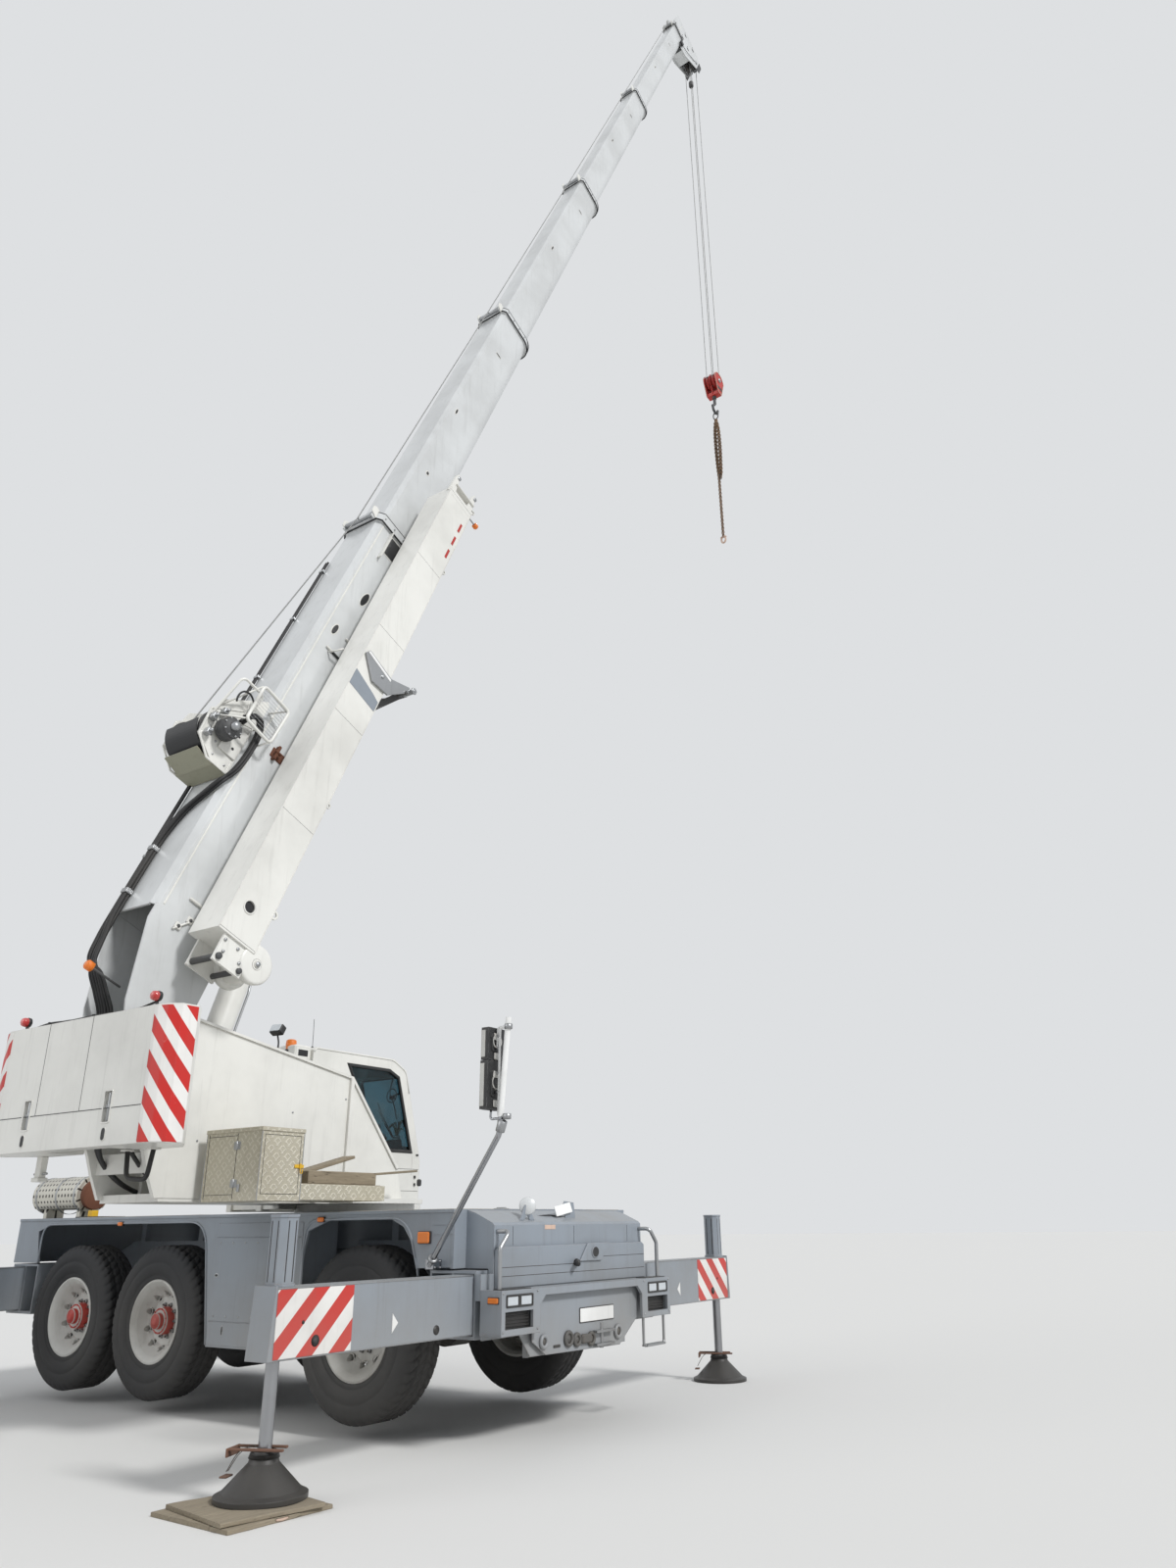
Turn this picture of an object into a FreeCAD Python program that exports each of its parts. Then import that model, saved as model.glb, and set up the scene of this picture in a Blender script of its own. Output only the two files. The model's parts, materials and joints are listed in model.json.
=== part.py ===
import FreeCAD, Part
import math
import os
from FreeCAD import Vector as V

# Mobile crane on three axles, stored as it works: outriggers out, wheels just off the ground, the
# superstructure turned a quarter turn to the left and the boom run out and raised.
# Frame: origin on the ground under the slew axis, +X to the carrier's front, +Y to its left, +Z up.
# All sizes in millimetres.

# Driving sizes of the carrier
AXLES = {"1": 1320.0, "2": -1360.0, "3": -2755.0}
WHEEL_Z = 759.0
TYRE_R, TYRE_W, RIM_R = 664.0, 385.0, 360.0
TYRE_Y, KING = 1070.0, 200.0
HALF_W = 1252.0
DECK_Z, DECK_T = 1689.0, 26.0
REAR_X, FENDER_X, NOSE_X = -3930.0, 2367.0, 2650.0
BUMPER_X0, BUMPER_X1, BUMPER_Z0, BUMPER_Z1 = 2652.0, 2860.0, 790.0, 1105.0
NOSE_W, NOSE_Z = 1100.0, 1585.0
ARCH_R, ARCH_TOP = 690.0, 1629.0
SKIRT_T, SKIRT_Z0 = 25.0, 583.0
FRAME_Y, FRAME_Z0, FRAME_Z1 = 430.0, 925.0, 1450.0
FIT, REST = 0.05, 0.3

# Outriggers: centre x of the beam, side (-1 right, +1 left), jack y, inner end y, foot height
BEAM_W, BEAM_Z0, BEAM_Z1 = 200.0, 792.0, 1212.0
GAP = 6.0
HOUSE_F1 = 2592.0
BEAMS = {
    "front_right": (2470.0, -1, 3070.0, 700.0, 50.0),
    "front_left": (2245.0, 1, 3300.0, 900.0, 0.0),
    "rear_right": (-3805.0, -1, 3070.0, 700.0, 0.0),
    "rear_left": (-3580.0, 1, 3070.0, 700.0, 0.0),
}
TUBE_R, TUBE_IN, TUBE_TOP = 70.0, 50.0, 1644.0
ROD_R, PAD_R = 42.5, 282.0

# Superstructure, in its own frame: a forward, b to its left, z up
SLEW, SLEW_BORE = 90.0, 470.0
PIVOT_A, PIVOT_Z = -2895.0, 2755.0
ELEV = 67.08
SIDE_B, SIDE_T = 400.0, 40.0
CW_Z0, CW_Z1, CW_B, CW_A = 2155.0, 3178.0, 1216.0, -3270.0
CAB_B0, CAB_B1, CAB_Z0, CAB_Z1 = 424.0, 1216.0, 1800.0, 3335.0

# Boom sections: half width, top, bottom, all measured from the pivot's line
SECTIONS = [
    (300.0, 628.0, -220.0),
    (260.0, 575.0, -165.0),
    (225.0, 540.0, -105.0),
    (190.0, 515.0, -50.0),
    (160.0, 490.0, 0.0),
]
BASE_END, STEP, OVERLAP, WALL = 7246.0, 5856.0, 720.0, 12.0
CYL_U, CYL_T, CYL_A, CYL_Z = 3100.0, -445.0, -2300.0, 2000.0
JIB_D, JIB_END, JIB_HANG = 1180.0, 8000.0, (3350.0, 5200.0)
WINCH_D, WINCH_T, DRUM_R = 3150.0, 900.0, 170.0
HEAD_D = BASE_END + 4 * STEP
SHEAVE_D, SHEAVE_T, SHEAVE_R = HEAD_D + 285.0, -612.0, 200.0
ROPE_R, ROPE_A = 8.0, 186.0
ROPE_SEAT = ROPE_A - ROPE_R - REST
HOOK_DROP = 11200.0

os.makedirs("parts", exist_ok=True)


def box(x0, x1, y0, y1, z0, z1):
    return Part.makeBox(x1 - x0, y1 - y0, z1 - z0, V(x0, y0, z0))


def cyl(r, p, q):
    d = V(*q).sub(V(*p))
    return Part.makeCylinder(r, d.Length, V(*p), d)


def ring(r0, r1, p, q):
    return cyl(r1, p, q).cut(cyl(r0, p, q))


def prism_xz(points, y0, y1):
    wire = Part.makePolygon([V(x, y0, z) for x, z in points + points[:1]])
    return Part.Face(wire).extrude(V(0, y1 - y0, 0))


def prism_xy(points, z0, z1):
    wire = Part.makePolygon([V(x, y, z0) for x, y in points + points[:1]])
    return Part.Face(wire).extrude(V(0, 0, z1 - z0))


def prism_yz(points, x0, x1):
    wire = Part.makePolygon([V(x0, y, z) for y, z in points + points[:1]])
    return Part.Face(wire).extrude(V(x1 - x0, 0, 0))


def pipe(points, r, bend):
    """Round bar or hose along a path of straight runs with rounded corners."""
    pts = [V(*p) for p in points]
    edges, last = [], pts[0]
    for i in range(1, len(pts) - 1):
        a = pts[i - 1].sub(pts[i]).normalize()
        b = pts[i + 1].sub(pts[i]).normalize()
        half = a.getAngle(b) / 2.0
        cut = bend / math.tan(half)
        p, q = pts[i].add(a * cut), pts[i].add(b * cut)
        mid = a.add(b).normalize()
        m = pts[i].add(mid * (bend / math.sin(half) - bend))
        edges += [Part.makeLine(last, p), Part.Arc(p, m, q).toShape()]
        last = q
    edges.append(Part.makeLine(last, pts[-1]))
    path = Part.Wire(edges)
    start = pts[1].sub(pts[0])
    return path.makePipeShell([Part.Wire(Part.makeCircle(r, pts[0], start))], True, True)


def fuse(*shapes):
    """One solid from overlapping ones."""
    first, rest = shapes[0], list(shapes[1:])
    return first.fuse(rest).removeSplitter() if rest else first


def upper(shape):
    """Superstructure frame to crane frame."""
    s = shape.copy()
    s.rotate(V(0, 0, 0), V(0, 0, 1), SLEW)
    return s


def boom(shape):
    """Boom frame (+X along the boom, +Z its top, origin at the pivot) to crane frame."""
    s = shape.copy()
    s.rotate(V(0, 0, 0), V(0, 1, 0), -ELEV)
    s.translate(V(PIVOT_A, 0, PIVOT_Z))
    return upper(s)


def boom_point(d, t, b=0.0):
    """A boom-frame point in the superstructure frame."""
    e = math.radians(ELEV)
    return (PIVOT_A + d * math.cos(e) - t * math.sin(e), b, PIVOT_Z + d * math.sin(e) + t * math.cos(e))


def save(name, shape):
    shape.exportStep("parts/%s.step" % name)
    print(name, len(shape.Solids), round(shape.Volume / 1e9, 4))


# Wheels: tyre with rounded shoulders, dished rim, knuckle with kingpin lugs
def tyre_profile(cx, cy, side):
    w = TYRE_W / 2.0
    pts = [(RIM_R - 25, -w + 55), (RIM_R + 30, -w + 12), (TYRE_R - 160, -w), (TYRE_R - 45, -w + 4), (TYRE_R, -w + 60),
           (TYRE_R, w - 60), (TYRE_R - 45, w - 4), (TYRE_R - 160, w), (RIM_R + 30, w - 12), (RIM_R - 25, w - 55)]
    wire = Part.makePolygon([V(cx, cy + y, WHEEL_Z + r) for r, y in pts + pts[:1]])
    return Part.Face(wire).revolve(V(cx, cy, WHEEL_Z), V(0, 1, 0), 360)


def rim(cx, cy, side, hub):
    w = TYRE_W / 2.0
    barrel = [(RIM_R - 25.3, -w + 54.6), (RIM_R - 25.3, w - 54.6), (RIM_R + 2, w - 33), (RIM_R + 2, w - 24), (RIM_R - 14, w - 20),
              (RIM_R - 40, w - 40), (RIM_R - 60, w - 60), (250, 60), (215, 20), (120, 20), (120, -8), (225, -8),
              (265, 25), (RIM_R - 62, 60), (RIM_R - 45, 20), (RIM_R - 45, -w + 54.6), (RIM_R - 20, -w + 22), (RIM_R + 2, -w + 24),
              (RIM_R + 2, -w + 33)]
    wire = Part.makePolygon([V(cx, cy + side * y, WHEEL_Z + r) for r, y in barrel + barrel[:1]])
    s = Part.Face(wire).revolve(V(cx, cy, WHEEL_Z), V(0, 1, 0), 360)
    holes = []
    for i in range(10):
        a = math.radians(36 * i + 18)
        p = (cx + 238 * math.cos(a), cy + side * -30, WHEEL_Z + 238 * math.sin(a))
        q = (cx + 238 * math.cos(a), cy + side * 90, WHEEL_Z + 238 * math.sin(a))
        holes.append(cyl(26, p, q))
    s = s.cut(holes)
    drum = cyl(160, (cx, cy + side * 12, WHEEL_Z), (cx, cy - side * 8, WHEEL_Z))
    cap = cyl(118, (cx, cy, WHEEL_Z), (cx, cy + side * (105 if hub else 60), WHEEL_Z))
    nose = cyl(70, (cx, cy, WHEEL_Z), (cx, cy + side * (150 if hub else 85), WHEEL_Z))
    return fuse(s, drum, cap, nose).cut(cyl(60 + FIT, (cx, cy - side * 20, WHEEL_Z), (cx, cy + side * 36, WHEEL_Z)))


def knuckle(cx, side):
    y = TYRE_Y * side
    brake = cyl(205, (cx, y - side * 15, WHEEL_Z), (cx, y - side * 120, WHEEL_Z))
    spindle = cyl(60, (cx, y - side * 16, WHEEL_Z), (cx, y + side * 34, WHEEL_Z))
    yp = y - side * KING
    lugs = [box(cx - 65, cx + 65, *sorted((y - side * 118, yp - side * 65)), z, z + 45)
            for z in (WHEEL_Z - 155, WHEEL_Z + 110)]
    arm = box(cx - 190, cx - 40, *sorted((y - side * 118, yp)), WHEEL_Z - 140, WHEEL_Z - 112)
    return fuse(brake, spindle, arm, *lugs).cut(cyl(52 + FIT, (cx, yp, WHEEL_Z - 200), (cx, yp, WHEEL_Z + 200)))


def axle(cx):
    """Drop housing: centre differential, tapered tubes and kingpin ends."""
    centre = cyl(190, (cx, -130, WHEEL_Z), (cx, 130, WHEEL_Z))
    nose = cyl(110, (cx, 0, WHEEL_Z), (cx + 260, 0, WHEEL_Z))
    parts = [centre, nose]
    for s in (-1, 1):
        parts.append(Part.makeCone(150, 85, 480, V(cx, s * 120, WHEEL_Z), V(0, s, 0)))
        parts.append(cyl(85, (cx, s * 590, WHEEL_Z), (cx, s * 760, WHEEL_Z)))
        yp = s * (TYRE_Y - KING)
        parts.append(cyl(52, (cx, yp, WHEEL_Z - 152), (cx, yp, WHEEL_Z + 152)))
        parts.append(box(cx - 45, cx + 45, min(s * 700, yp), max(s * 700, yp), WHEEL_Z - 70, WHEEL_Z + 70))
        parts.append(box(cx - 70, cx + 70, s * 400 - 55, s * 400 + 55, WHEEL_Z + 60, FRAME_Z0 - 25 - REST))
    return fuse(*parts)


# Carrier
def housing(x0, x1):
    """Outrigger box across the carrier with one bay for each beam."""
    s = box(x0, x1, -HALF_W + 12, HALF_W - 12, BEAM_Z0 - GAP - 26, BEAM_Z1 + GAP + 22)
    for cx, side, yj, yi, foot in BEAMS.values():
        if x0 < cx < x1:
            s = s.cut(box(cx - BEAM_W / 2 - GAP, cx + BEAM_W / 2 + GAP, -HALF_W - 50, HALF_W + 50, BEAM_Z0 - GAP, BEAM_Z1 + GAP))
            for y in (side * 1180, side * 960):
                s = s.fuse(box(cx - 90, cx + 90, y - 50, y + 50, BEAM_Z0 - GAP - 1, BEAM_Z0 - FIT))
                s = s.fuse(box(cx - 90, cx + 90, y - 50, y + 50, BEAM_Z1 + FIT, BEAM_Z1 + GAP + 1))
    return s


def chassis_frame():
    prof = [(-3470, FRAME_Z0), (-3470, 1240), (-3000, FRAME_Z1), (1700, FRAME_Z1), (2130, 1240), (2130, FRAME_Z0),
            (1950, 900), (-3300, 900)]
    rails = [prism_xz(prof, s * FRAME_Y - (60 if s > 0 else 0), s * FRAME_Y + (0 if s > 0 else 60)) for s in (-1, 1)]
    cross = [box(x, x + 120, -FRAME_Y + 50, FRAME_Y - 50, 960, 1200) for x in (-3300, -2120, -1000, 300, 1760)]
    seat = cyl(640, (0, 0, 1380), (0, 0, DECK_Z + 8)).cut(cyl(SLEW_BORE, (0, 0, 1300), (0, 0, 1800)))
    plate = box(-700, 700, -FRAME_Y + 5, FRAME_Y - 5, 1360, 1400)
    posts = [box(x, x + 80, *sorted((s * (FRAME_Y - 60), s * FRAME_Y)), 1440, DECK_Z - DECK_T - REST)
             for s in (-1, 1) for x in (-2900, -1900, -900, 900, 1600)]
    front = housing(2121.0, HOUSE_F1)
    rear = housing(REAR_X, -3458.0)
    return fuse(*(rails + cross + posts + [plate, seat, front, rear]))


def side_profile():
    """Side skirt from the rear end to the fender's front edge, with both wheel openings cut."""
    f = AXLES["1"]
    r0, r1 = AXLES["3"], AXLES["2"]
    out = [(REAR_X, 1252), (REAR_X, DECK_Z), (FENDER_X, DECK_Z), (FENDER_X, 1262), (f + ARCH_R - 20, 1252), (f + ARCH_R - 20, 1190)]
    arch = [(f + ARCH_R - 60, 1400), (f + ARCH_R - 190, 1560), (f + ARCH_R - 350, ARCH_TOP), (f - ARCH_R + 330, ARCH_TOP),
            (f - ARCH_R + 60, 1540), (f - ARCH_R, 1300), (f - ARCH_R, SKIRT_Z0)]
    mid = [(r1 + ARCH_R + 130, SKIRT_Z0), (r1 + ARCH_R - 30, 1500), (r1 + ARCH_R - 180, ARCH_TOP),
           (r0 - ARCH_R + 130, ARCH_TOP), (r0 - ARCH_R - 95, 1560), (r0 - ARCH_R - 15, 1252)]
    return out + arch + mid


def deck_body():
    prof = side_profile()
    parts = []
    for s in (-1, 1):
        y0, y1 = sorted((s * HALF_W, s * (HALF_W - SKIRT_T)))
        parts.append(prism_xz(prof, y0, y1))
    top = box(REAR_X, FENDER_X, -HALF_W, HALF_W, DECK_Z - DECK_T, DECK_Z).cut(cyl(646, (0, 0, 1500), (0, 0, 1800)))
    parts.append(top)
    for x in (REAR_X, FENDER_X - 30):
        parts.append(box(x, x + 30, -HALF_W, HALF_W, 1252, DECK_Z))
    # mudguards over the tyres and the bulkheads that close the wheel bays
    for s in (-1, 1):
        y0, y1 = sorted((s * 780, s * (HALF_W - 10)))
        parts.append(box(AXLES["1"] - 400, AXLES["1"] + 400, y0, y1, ARCH_TOP, ARCH_TOP + 12))
        parts.append(box(AXLES["3"] - 560, AXLES["2"] + 510, y0, y1, ARCH_TOP, ARCH_TOP + 12))
        for x in (AXLES["1"] - 780, AXLES["2"] + ARCH_R + 125):
            parts.append(box(x, x + 18, y0, y1, SKIRT_Z0 + 40, DECK_Z - 10))
        parts.append(box(AXLES["2"] + ARCH_R + 120, AXLES["1"] - 770, y0, y1, SKIRT_Z0 + 30, SKIRT_Z0 + 50))
    return fuse(*parts)


def nose_cowl():
    """Stepped front body between the fenders and the bumper."""
    prof = [(FENDER_X + REST, 1250), (FENDER_X + REST, DECK_Z - 6), (FENDER_X + 90, DECK_Z - 30), (NOSE_X - 20, NOSE_Z), (NOSE_X, NOSE_Z - 20),
            (NOSE_X, 1120), (2600, 1120), (2600, 1250)]
    s = prism_xz(prof, -NOSE_W, NOSE_W)
    s = s.cut(prism_xz([(x + (22 if x < 2500 else -22), z + (22 if z < 1300 else -22)) for x, z in prof], -NOSE_W + 22, NOSE_W - 22))
    for s0 in (-1, 1):
        y0, y1 = sorted((s0 * (NOSE_W - 10), s0 * HALF_W))
        s = s.fuse(box(2600, NOSE_X + 2, y0, y1, 1030, 1215))
    s = s.cut(cyl(55, (2560, 290, 1300), (2700, 290, 1300)))
    return s.removeSplitter()


def bumper():
    s = box(BUMPER_X0, BUMPER_X1, -HALF_W, HALF_W, BUMPER_Z0, BUMPER_Z1)
    s = s.cut(box(BUMPER_X0 - 5, BUMPER_X1 - 26, -HALF_W + 26, HALF_W - 26, BUMPER_Z0 - 10, BUMPER_Z1 - 26))
    mouth = prism_yz([(-760, 700), (-760, 985), (-690, 1050), (690, 1050), (760, 985), (760, 700)], BUMPER_X1 - 60, BUMPER_X1 + 10)
    s = s.cut(mouth)
    for sd in (-1, 1):
        y0, y1 = sorted((sd * 1195, sd * 865))
        s = s.cut(box(BUMPER_X1 - 60, BUMPER_X1 + 10, y0, y1, 985, 1072))
        y0, y1 = sorted((sd * 1205, sd * 855))
        s = s.cut(box(BUMPER_X1 - 60, BUMPER_X1 + 10, y0, y1, 835, 955))
    back = box(BUMPER_X0, BUMPER_X0 + 22, -HALF_W + 10, HALF_W - 10, 760, BUMPER_Z1 - 10)
    skirt = box(BUMPER_X0, BUMPER_X0 + 40, -720, 720, 600, 780)
    stays = [box(HOUSE_F1 + REST, BUMPER_X0 + 5, sd * 600 - 60, sd * 600 + 60, 800, 1050) for sd in (-1, 1)]
    return fuse(s, back, skirt, *stays)


def lamps():
    parts = []
    for sd in (-1, 1):
        for y in (1115.0, 945.0):
            parts.append(box(BUMPER_X1 - 95, BUMPER_X1 - 6, sd * y - 72, sd * y + 72, 990, 1067))
            parts.append(box(BUMPER_X0 + 22 + REST, BUMPER_X1 - 95, sd * y - 30, sd * y + 30, 1000, 1040))
    return parts


def tow_coupling():
    x = BUMPER_X0 + 40 + REST
    jaw = fuse(box(x, x + 150, 60, 330, 620, 640), box(x, x + 150, 60, 330, 720, 740), box(x, x + 40, 90, 300, 605, 775))
    return fuse(jaw, cyl(18, (x + 100, 195, 600), (x + 100, 195, 790)))


def front_fittings():
    """Grab rails at both nose corners and the step below the left end of the bumper."""
    parts, xs = [], BUMPER_X1 - 26 - 12 - REST
    for sd in (-1, 1):
        y = sd * 1175
        parts.append(pipe([(NOSE_X + REST, sd * 1060, 1520), (2775, sd * 1060, 1520), (2775, y, 1400), (2775, y, BUMPER_Z1 + REST)], 17, 45))
    step = pipe([(xs, 830, 832), (xs, 830, 560), (xs, 1180, 560), (xs, 1180, 832)], 12, 30)
    return parts + [fuse(step, box(xs - 30, xs + 30, 850, 1160, 552, 570))]


def mirror():
    arm = pipe([(2205, -1345, 1280), (3286, -1850, 2181), (3355, -1850, 3019)], 22, 60)
    foot = box(2165, 2245, -1350, -HALF_W - REST, 1250, 1320)
    stays = pipe([(3290, -1845, 2290), (3190, -1840, 2290), (3250, -1840, 2955), (3350, -1845, 2955)], 9, 20)
    parts = [arm, foot, stays]
    for z, h, w in ((2830.0, 120.0, 95.0), (2530.0, 175.0, 100.0)):
        parts.append(box(3165, 3235, -1840 - w, -1840 + w, z - h, z + h))
    return fuse(*parts)


def silencer():
    drum = cyl(150, (-3860, -1010, 1925), (-2960, -1010, 1925))
    shield = ring(180, 190, (-3870, -1010, 1925), (-3020, -1010, 1925))
    shield = shield.cut(box(-4000, -2900, -1300, -700, 1700, 1790))
    ends = [ring(148, 182, (x, -1010, 1925), (x + 12, -1010, 1925)) for x in (-3868, -3034)]
    feet = [box(x, x + 60, -1110, -910, DECK_Z + 0.3, 1800) for x in (-3750, -3120)]
    stack = cyl(45, (-3600, -1010, 1925), (-3600, -700, 1925))
    return fuse(drum, shield, stack, *(ends + feet))


def mat():
    """Timber mat of four sleepers under the right front foot."""
    cx, cy = 2470, -3190
    parts = [box(cx - 400 + i * 200 + 2, cx - 400 + (i + 1) * 200 - 2, cy - 400, cy + 400, 0, 50) for i in range(4)]
    cross = [box(cx - 390, cx + 390, cy + d - 8, cy + d + 8, 15, 35) for d in (-250, 250)]
    return fuse(*(parts + cross))


# Outriggers
def beam(cx, side, yj, yi, foot):
    outer = yj + 100
    y0, y1 = sorted((side * yi, side * outer))
    s = box(cx - BEAM_W / 2, cx + BEAM_W / 2, y0, y1, BEAM_Z0, BEAM_Z1)
    s = s.cut(box(cx - BEAM_W / 2 + 14, cx + BEAM_W / 2 - 14, *sorted((side * (yi - 10), side * (yj - TUBE_R - 20))), BEAM_Z0 + 14, BEAM_Z1 - 14))
    tube = cyl(TUBE_R, (cx, side * yj, BEAM_Z0), (cx, side * yj, TUBE_TOP))
    cap = cyl(TUBE_R + 8, (cx, side * yj, TUBE_TOP - 30), (cx, side * yj, TUBE_TOP))
    s = fuse(s, tube, cap)
    s = s.cut(cyl(TUBE_IN, (cx, side * yj, BEAM_Z0 + 45), (cx, side * yj, TUBE_TOP - 20)))
    return s.cut(cyl(ROD_R + FIT, (cx, side * yj, BEAM_Z0 - 5), (cx, side * yj, BEAM_Z0 + 50)))


def jack(cx, side, yj, yi, foot):
    y = side * yj
    rod = cyl(ROD_R, (cx, y, foot + 200), (cx, y, 1110))
    prof = [(0, 0), (PAD_R, 0), (PAD_R, 28), (PAD_R - 40, 46), (95, 190), (78, 245), (0, 245)]
    wire = Part.makePolygon([V(cx + r, y, foot + z) for r, z in prof + prof[:1]])
    pad = Part.Face(wire).revolve(V(cx, y, 0), V(0, 0, 1), 360)
    return fuse(rod, pad)


# Superstructure
SIDE = [(-3050, 2640), (-3050, 2860), (-2960, 3060), (-2850, 3230), (-2494, 3262), (-580, 2937), (123, 2110), (205, 1797),
        (-2640, 1797), (-2730, 1983), (-2790, 2140)]


def turntable():
    right = prism_xz(SIDE, -SIDE_B, -SIDE_B + SIDE_T)
    left = prism_xz([(a if a < -500 else min(a, 205), z) for a, z in SIDE], SIDE_B - SIDE_T, SIDE_B)
    floor = box(-2600, 190, -SIDE_B + 5, SIDE_B - 5, 1770, 1835)
    base = fuse(ring(420, 620, (0, 0, DECK_Z + 14), (0, 0, 1784)), ring(420, SLEW_BORE - FIT, (0, 0, 1600), (0, 0, 1800)))
    wide = box(-760, 180, -700, SIDE_B, 1770, 1812)
    cross = [box(a, a + 40, -SIDE_B + 5, SIDE_B - 5, z0, z1) for a, z0, z1 in ((-2700, 1990, 2150), (-1300, 1800, 2000))]
    flange = []
    for s in (-1, 1):
        b0, b1 = sorted((s * (SIDE_B - 5), s * (SIDE_B + 18)))
        flange.append(prism_xz([(-2494, 3240), (-2494, 3262), (-580, 2937), (123, 2110), (90, 2100), (-596, 2914)], b0, b1))
    pins = [ring(46, 105, (PIVOT_A, s * 330, PIVOT_Z), (PIVOT_A, s * 425, PIVOT_Z)) for s in (-1, 1)]
    ears = []
    for s in (-1, 1):
        ears.append(box(CYL_A - 90, CYL_A + 90, *sorted((s * 150, s * 190)), 1830, CYL_Z + 90))
    rails = [box(-760, 1250, b, b + 70, 1720, 1790) for b in (560, 1010)]
    links = [box(a, a + 90, 370, 1080, 1735, 1786) for a in (-740, -100)] + [box(-760, 190, 300, 395, 1735, 1800)]
    s = fuse(right, left, floor, base, wide, *(cross + flange + ears + rails + links))
    pin = cyl(45, (PIVOT_A, -425, PIVOT_Z), (PIVOT_A, 425, PIVOT_Z))
    lower = cyl(45, (CYL_A, -195, CYL_Z), (CYL_A, 195, CYL_Z))
    return fuse(s, pin, lower)


def counterweight():
    plan = [(CW_A, -1040), (CW_A, 1040), (CW_A + 25, 1130), (CW_A + 90, CW_B), (-3030, CW_B), (-2960, 1150), (-2790, 900), (-2790, 430),
            (-3110, 430), (-3110, -430), (-2790, -430), (-2790, -900), (-2960, -1150), (-3030, -CW_B), (CW_A + 90, -CW_B), (CW_A + 25, -1130)]
    s = prism_xy(plan, CW_Z0, CW_Z1)
    for b in (-560, 560):
        s = s.cut(box(CW_A - 10, CW_A + 45, b - 45, b + 45, 2330, 2560))
    s = s.cut(box(-3215, -3000, -345, 345, 2740, CW_Z1 + 10))
    ledge = [box(-3110, PIVOT_A - 110, *sorted((sd * (SIDE_B + REST), sd * 432)), 2680, 2850) for sd in (-1, 1)]
    return fuse(s, *ledge)


def toolbox():
    a0, a1, b0, b1, z0, z1 = -2280.0, -1840.0, -1200.0, -510.0, 1765.0, 2322.0
    s = box(a0, a1, b0, b1, z0, z1).cut(box(a0 + 12, a1 - 12, b0 + 12, b1 - 12, z0 + 12, z1 - 12))
    tray = box(a1, -865, b0, -560, z0 + 10, 1900).cut(box(a1 + 12, -877, b0 + 12, -572, z0 + 40, 1950))
    arms = [box(a, a + 60, -560, -SIDE_B - 0.3, 1800, 1840) for a in (-1700, -1000)] + [box(-2100, -2040, -560, -SIDE_B - 0.3, 1800, 1900)]
    wood = [box(a1 + 30, -890, -1170 + i * 150, -1040 + i * 150, z0 + 40 + REST, z0 + 130) for i in range(3)]
    return fuse(s, tray, *(arms + wood))


CAB_SIDE = [(-380, CAB_Z0), (-380, 3300), (-340, CAB_Z1), (830, CAB_Z1), (1040, 3225), (1290, 2400), (1330, 2250), (1330, CAB_Z0)]


def cab_shell():
    body = prism_xz(CAB_SIDE, CAB_B0, CAB_B1)
    hollow = [(-340, CAB_Z0 + 60), (-340, 3290), (820, 3290), (1005, 3195), (1252, 2390), (1290, 2250), (1290, CAB_Z0 + 60)]
    s = body.cut(prism_xz(hollow, CAB_B0 + 36, CAB_B1 - 36))
    side = [(110, 3220), (770, 3220), (930, 3150), (1200, 2330), (640, 2330)]
    s = s.cut(prism_xz(side, CAB_B0 - 10, CAB_B0 + 50))
    front = box(900, 1500, CAB_B0 + 70, CAB_B1 - 70, 2400, 3160)
    s = s.cut(front)
    s = s.cut(box(-10, 760, CAB_B0 + 90, CAB_B1 - 90, 3250, 3400))
    s = s.cut(box(-500, -300, CAB_B0 + 110, CAB_B1 - 110, 2500, 3150))
    s = s.cut(prism_xz(DOOR, CAB_B1 - 60, CAB_B1 + 20))
    shoe = [box(-340, 1280, b, b + 70, 1790 + FIT, CAB_Z0 + 2) for b in (560, 1010)]
    pins = []
    for z in HINGE_Z:
        pins += [box(HINGE_A - 60, HINGE_A + 5, CAB_B1 - 2, HINGE_B + 6, z, z + 28), cyl(9, (HINGE_A, HINGE_B, z), (HINGE_A, HINGE_B, z + 90))]
    return fuse(s, *(shoe + pins))


HINGE_A, HINGE_B, HINGE_Z = -250.0, CAB_B1 + 18.0, (1990.0, 3060.0)
DOOR = [(-250, 1880), (-250, 3230), (770, 3230), (925, 3150), (1165, 2400), (1190, 2250), (1190, 1880)]
DOOR_IN = [(-244, 1886), (-244, 3224), (768, 3224), (920, 3146), (1159, 2399), (1184, 2250), (1184, 1886)]


def cab_door():
    s = prism_xz(DOOR_IN, CAB_B1 - 36, CAB_B1)
    s = s.cut(prism_xz([(-150, 2350), (-150, 3130), (740, 3130), (850, 3075), (1060, 2400), (1060, 2350)], CAB_B1 - 50, CAB_B1 + 10))
    glass = prism_xz([(-152, 2348), (-152, 3132), (741, 3132), (852, 3077), (1062, 2400), (1062, 2348)], CAB_B1 - 22, CAB_B1 - 16)
    handle = pipe([(-120, CAB_B1 - 2, 2250), (-120, CAB_B1 + 45, 2250), (60, CAB_B1 + 45, 2250), (60, CAB_B1 - 2, 2250)], 9, 14)
    leaf = [fuse(ring(9 + FIT, 17, (HINGE_A, HINGE_B, z + 34), (HINGE_A, HINGE_B, z + 84)),
                 box(HINGE_A + 8, HINGE_A + 70, CAB_B1 - 2, CAB_B1 + 12, z + 34, z + 84)) for z in HINGE_Z]
    return fuse(s, glass, handle, *leaf)


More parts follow.
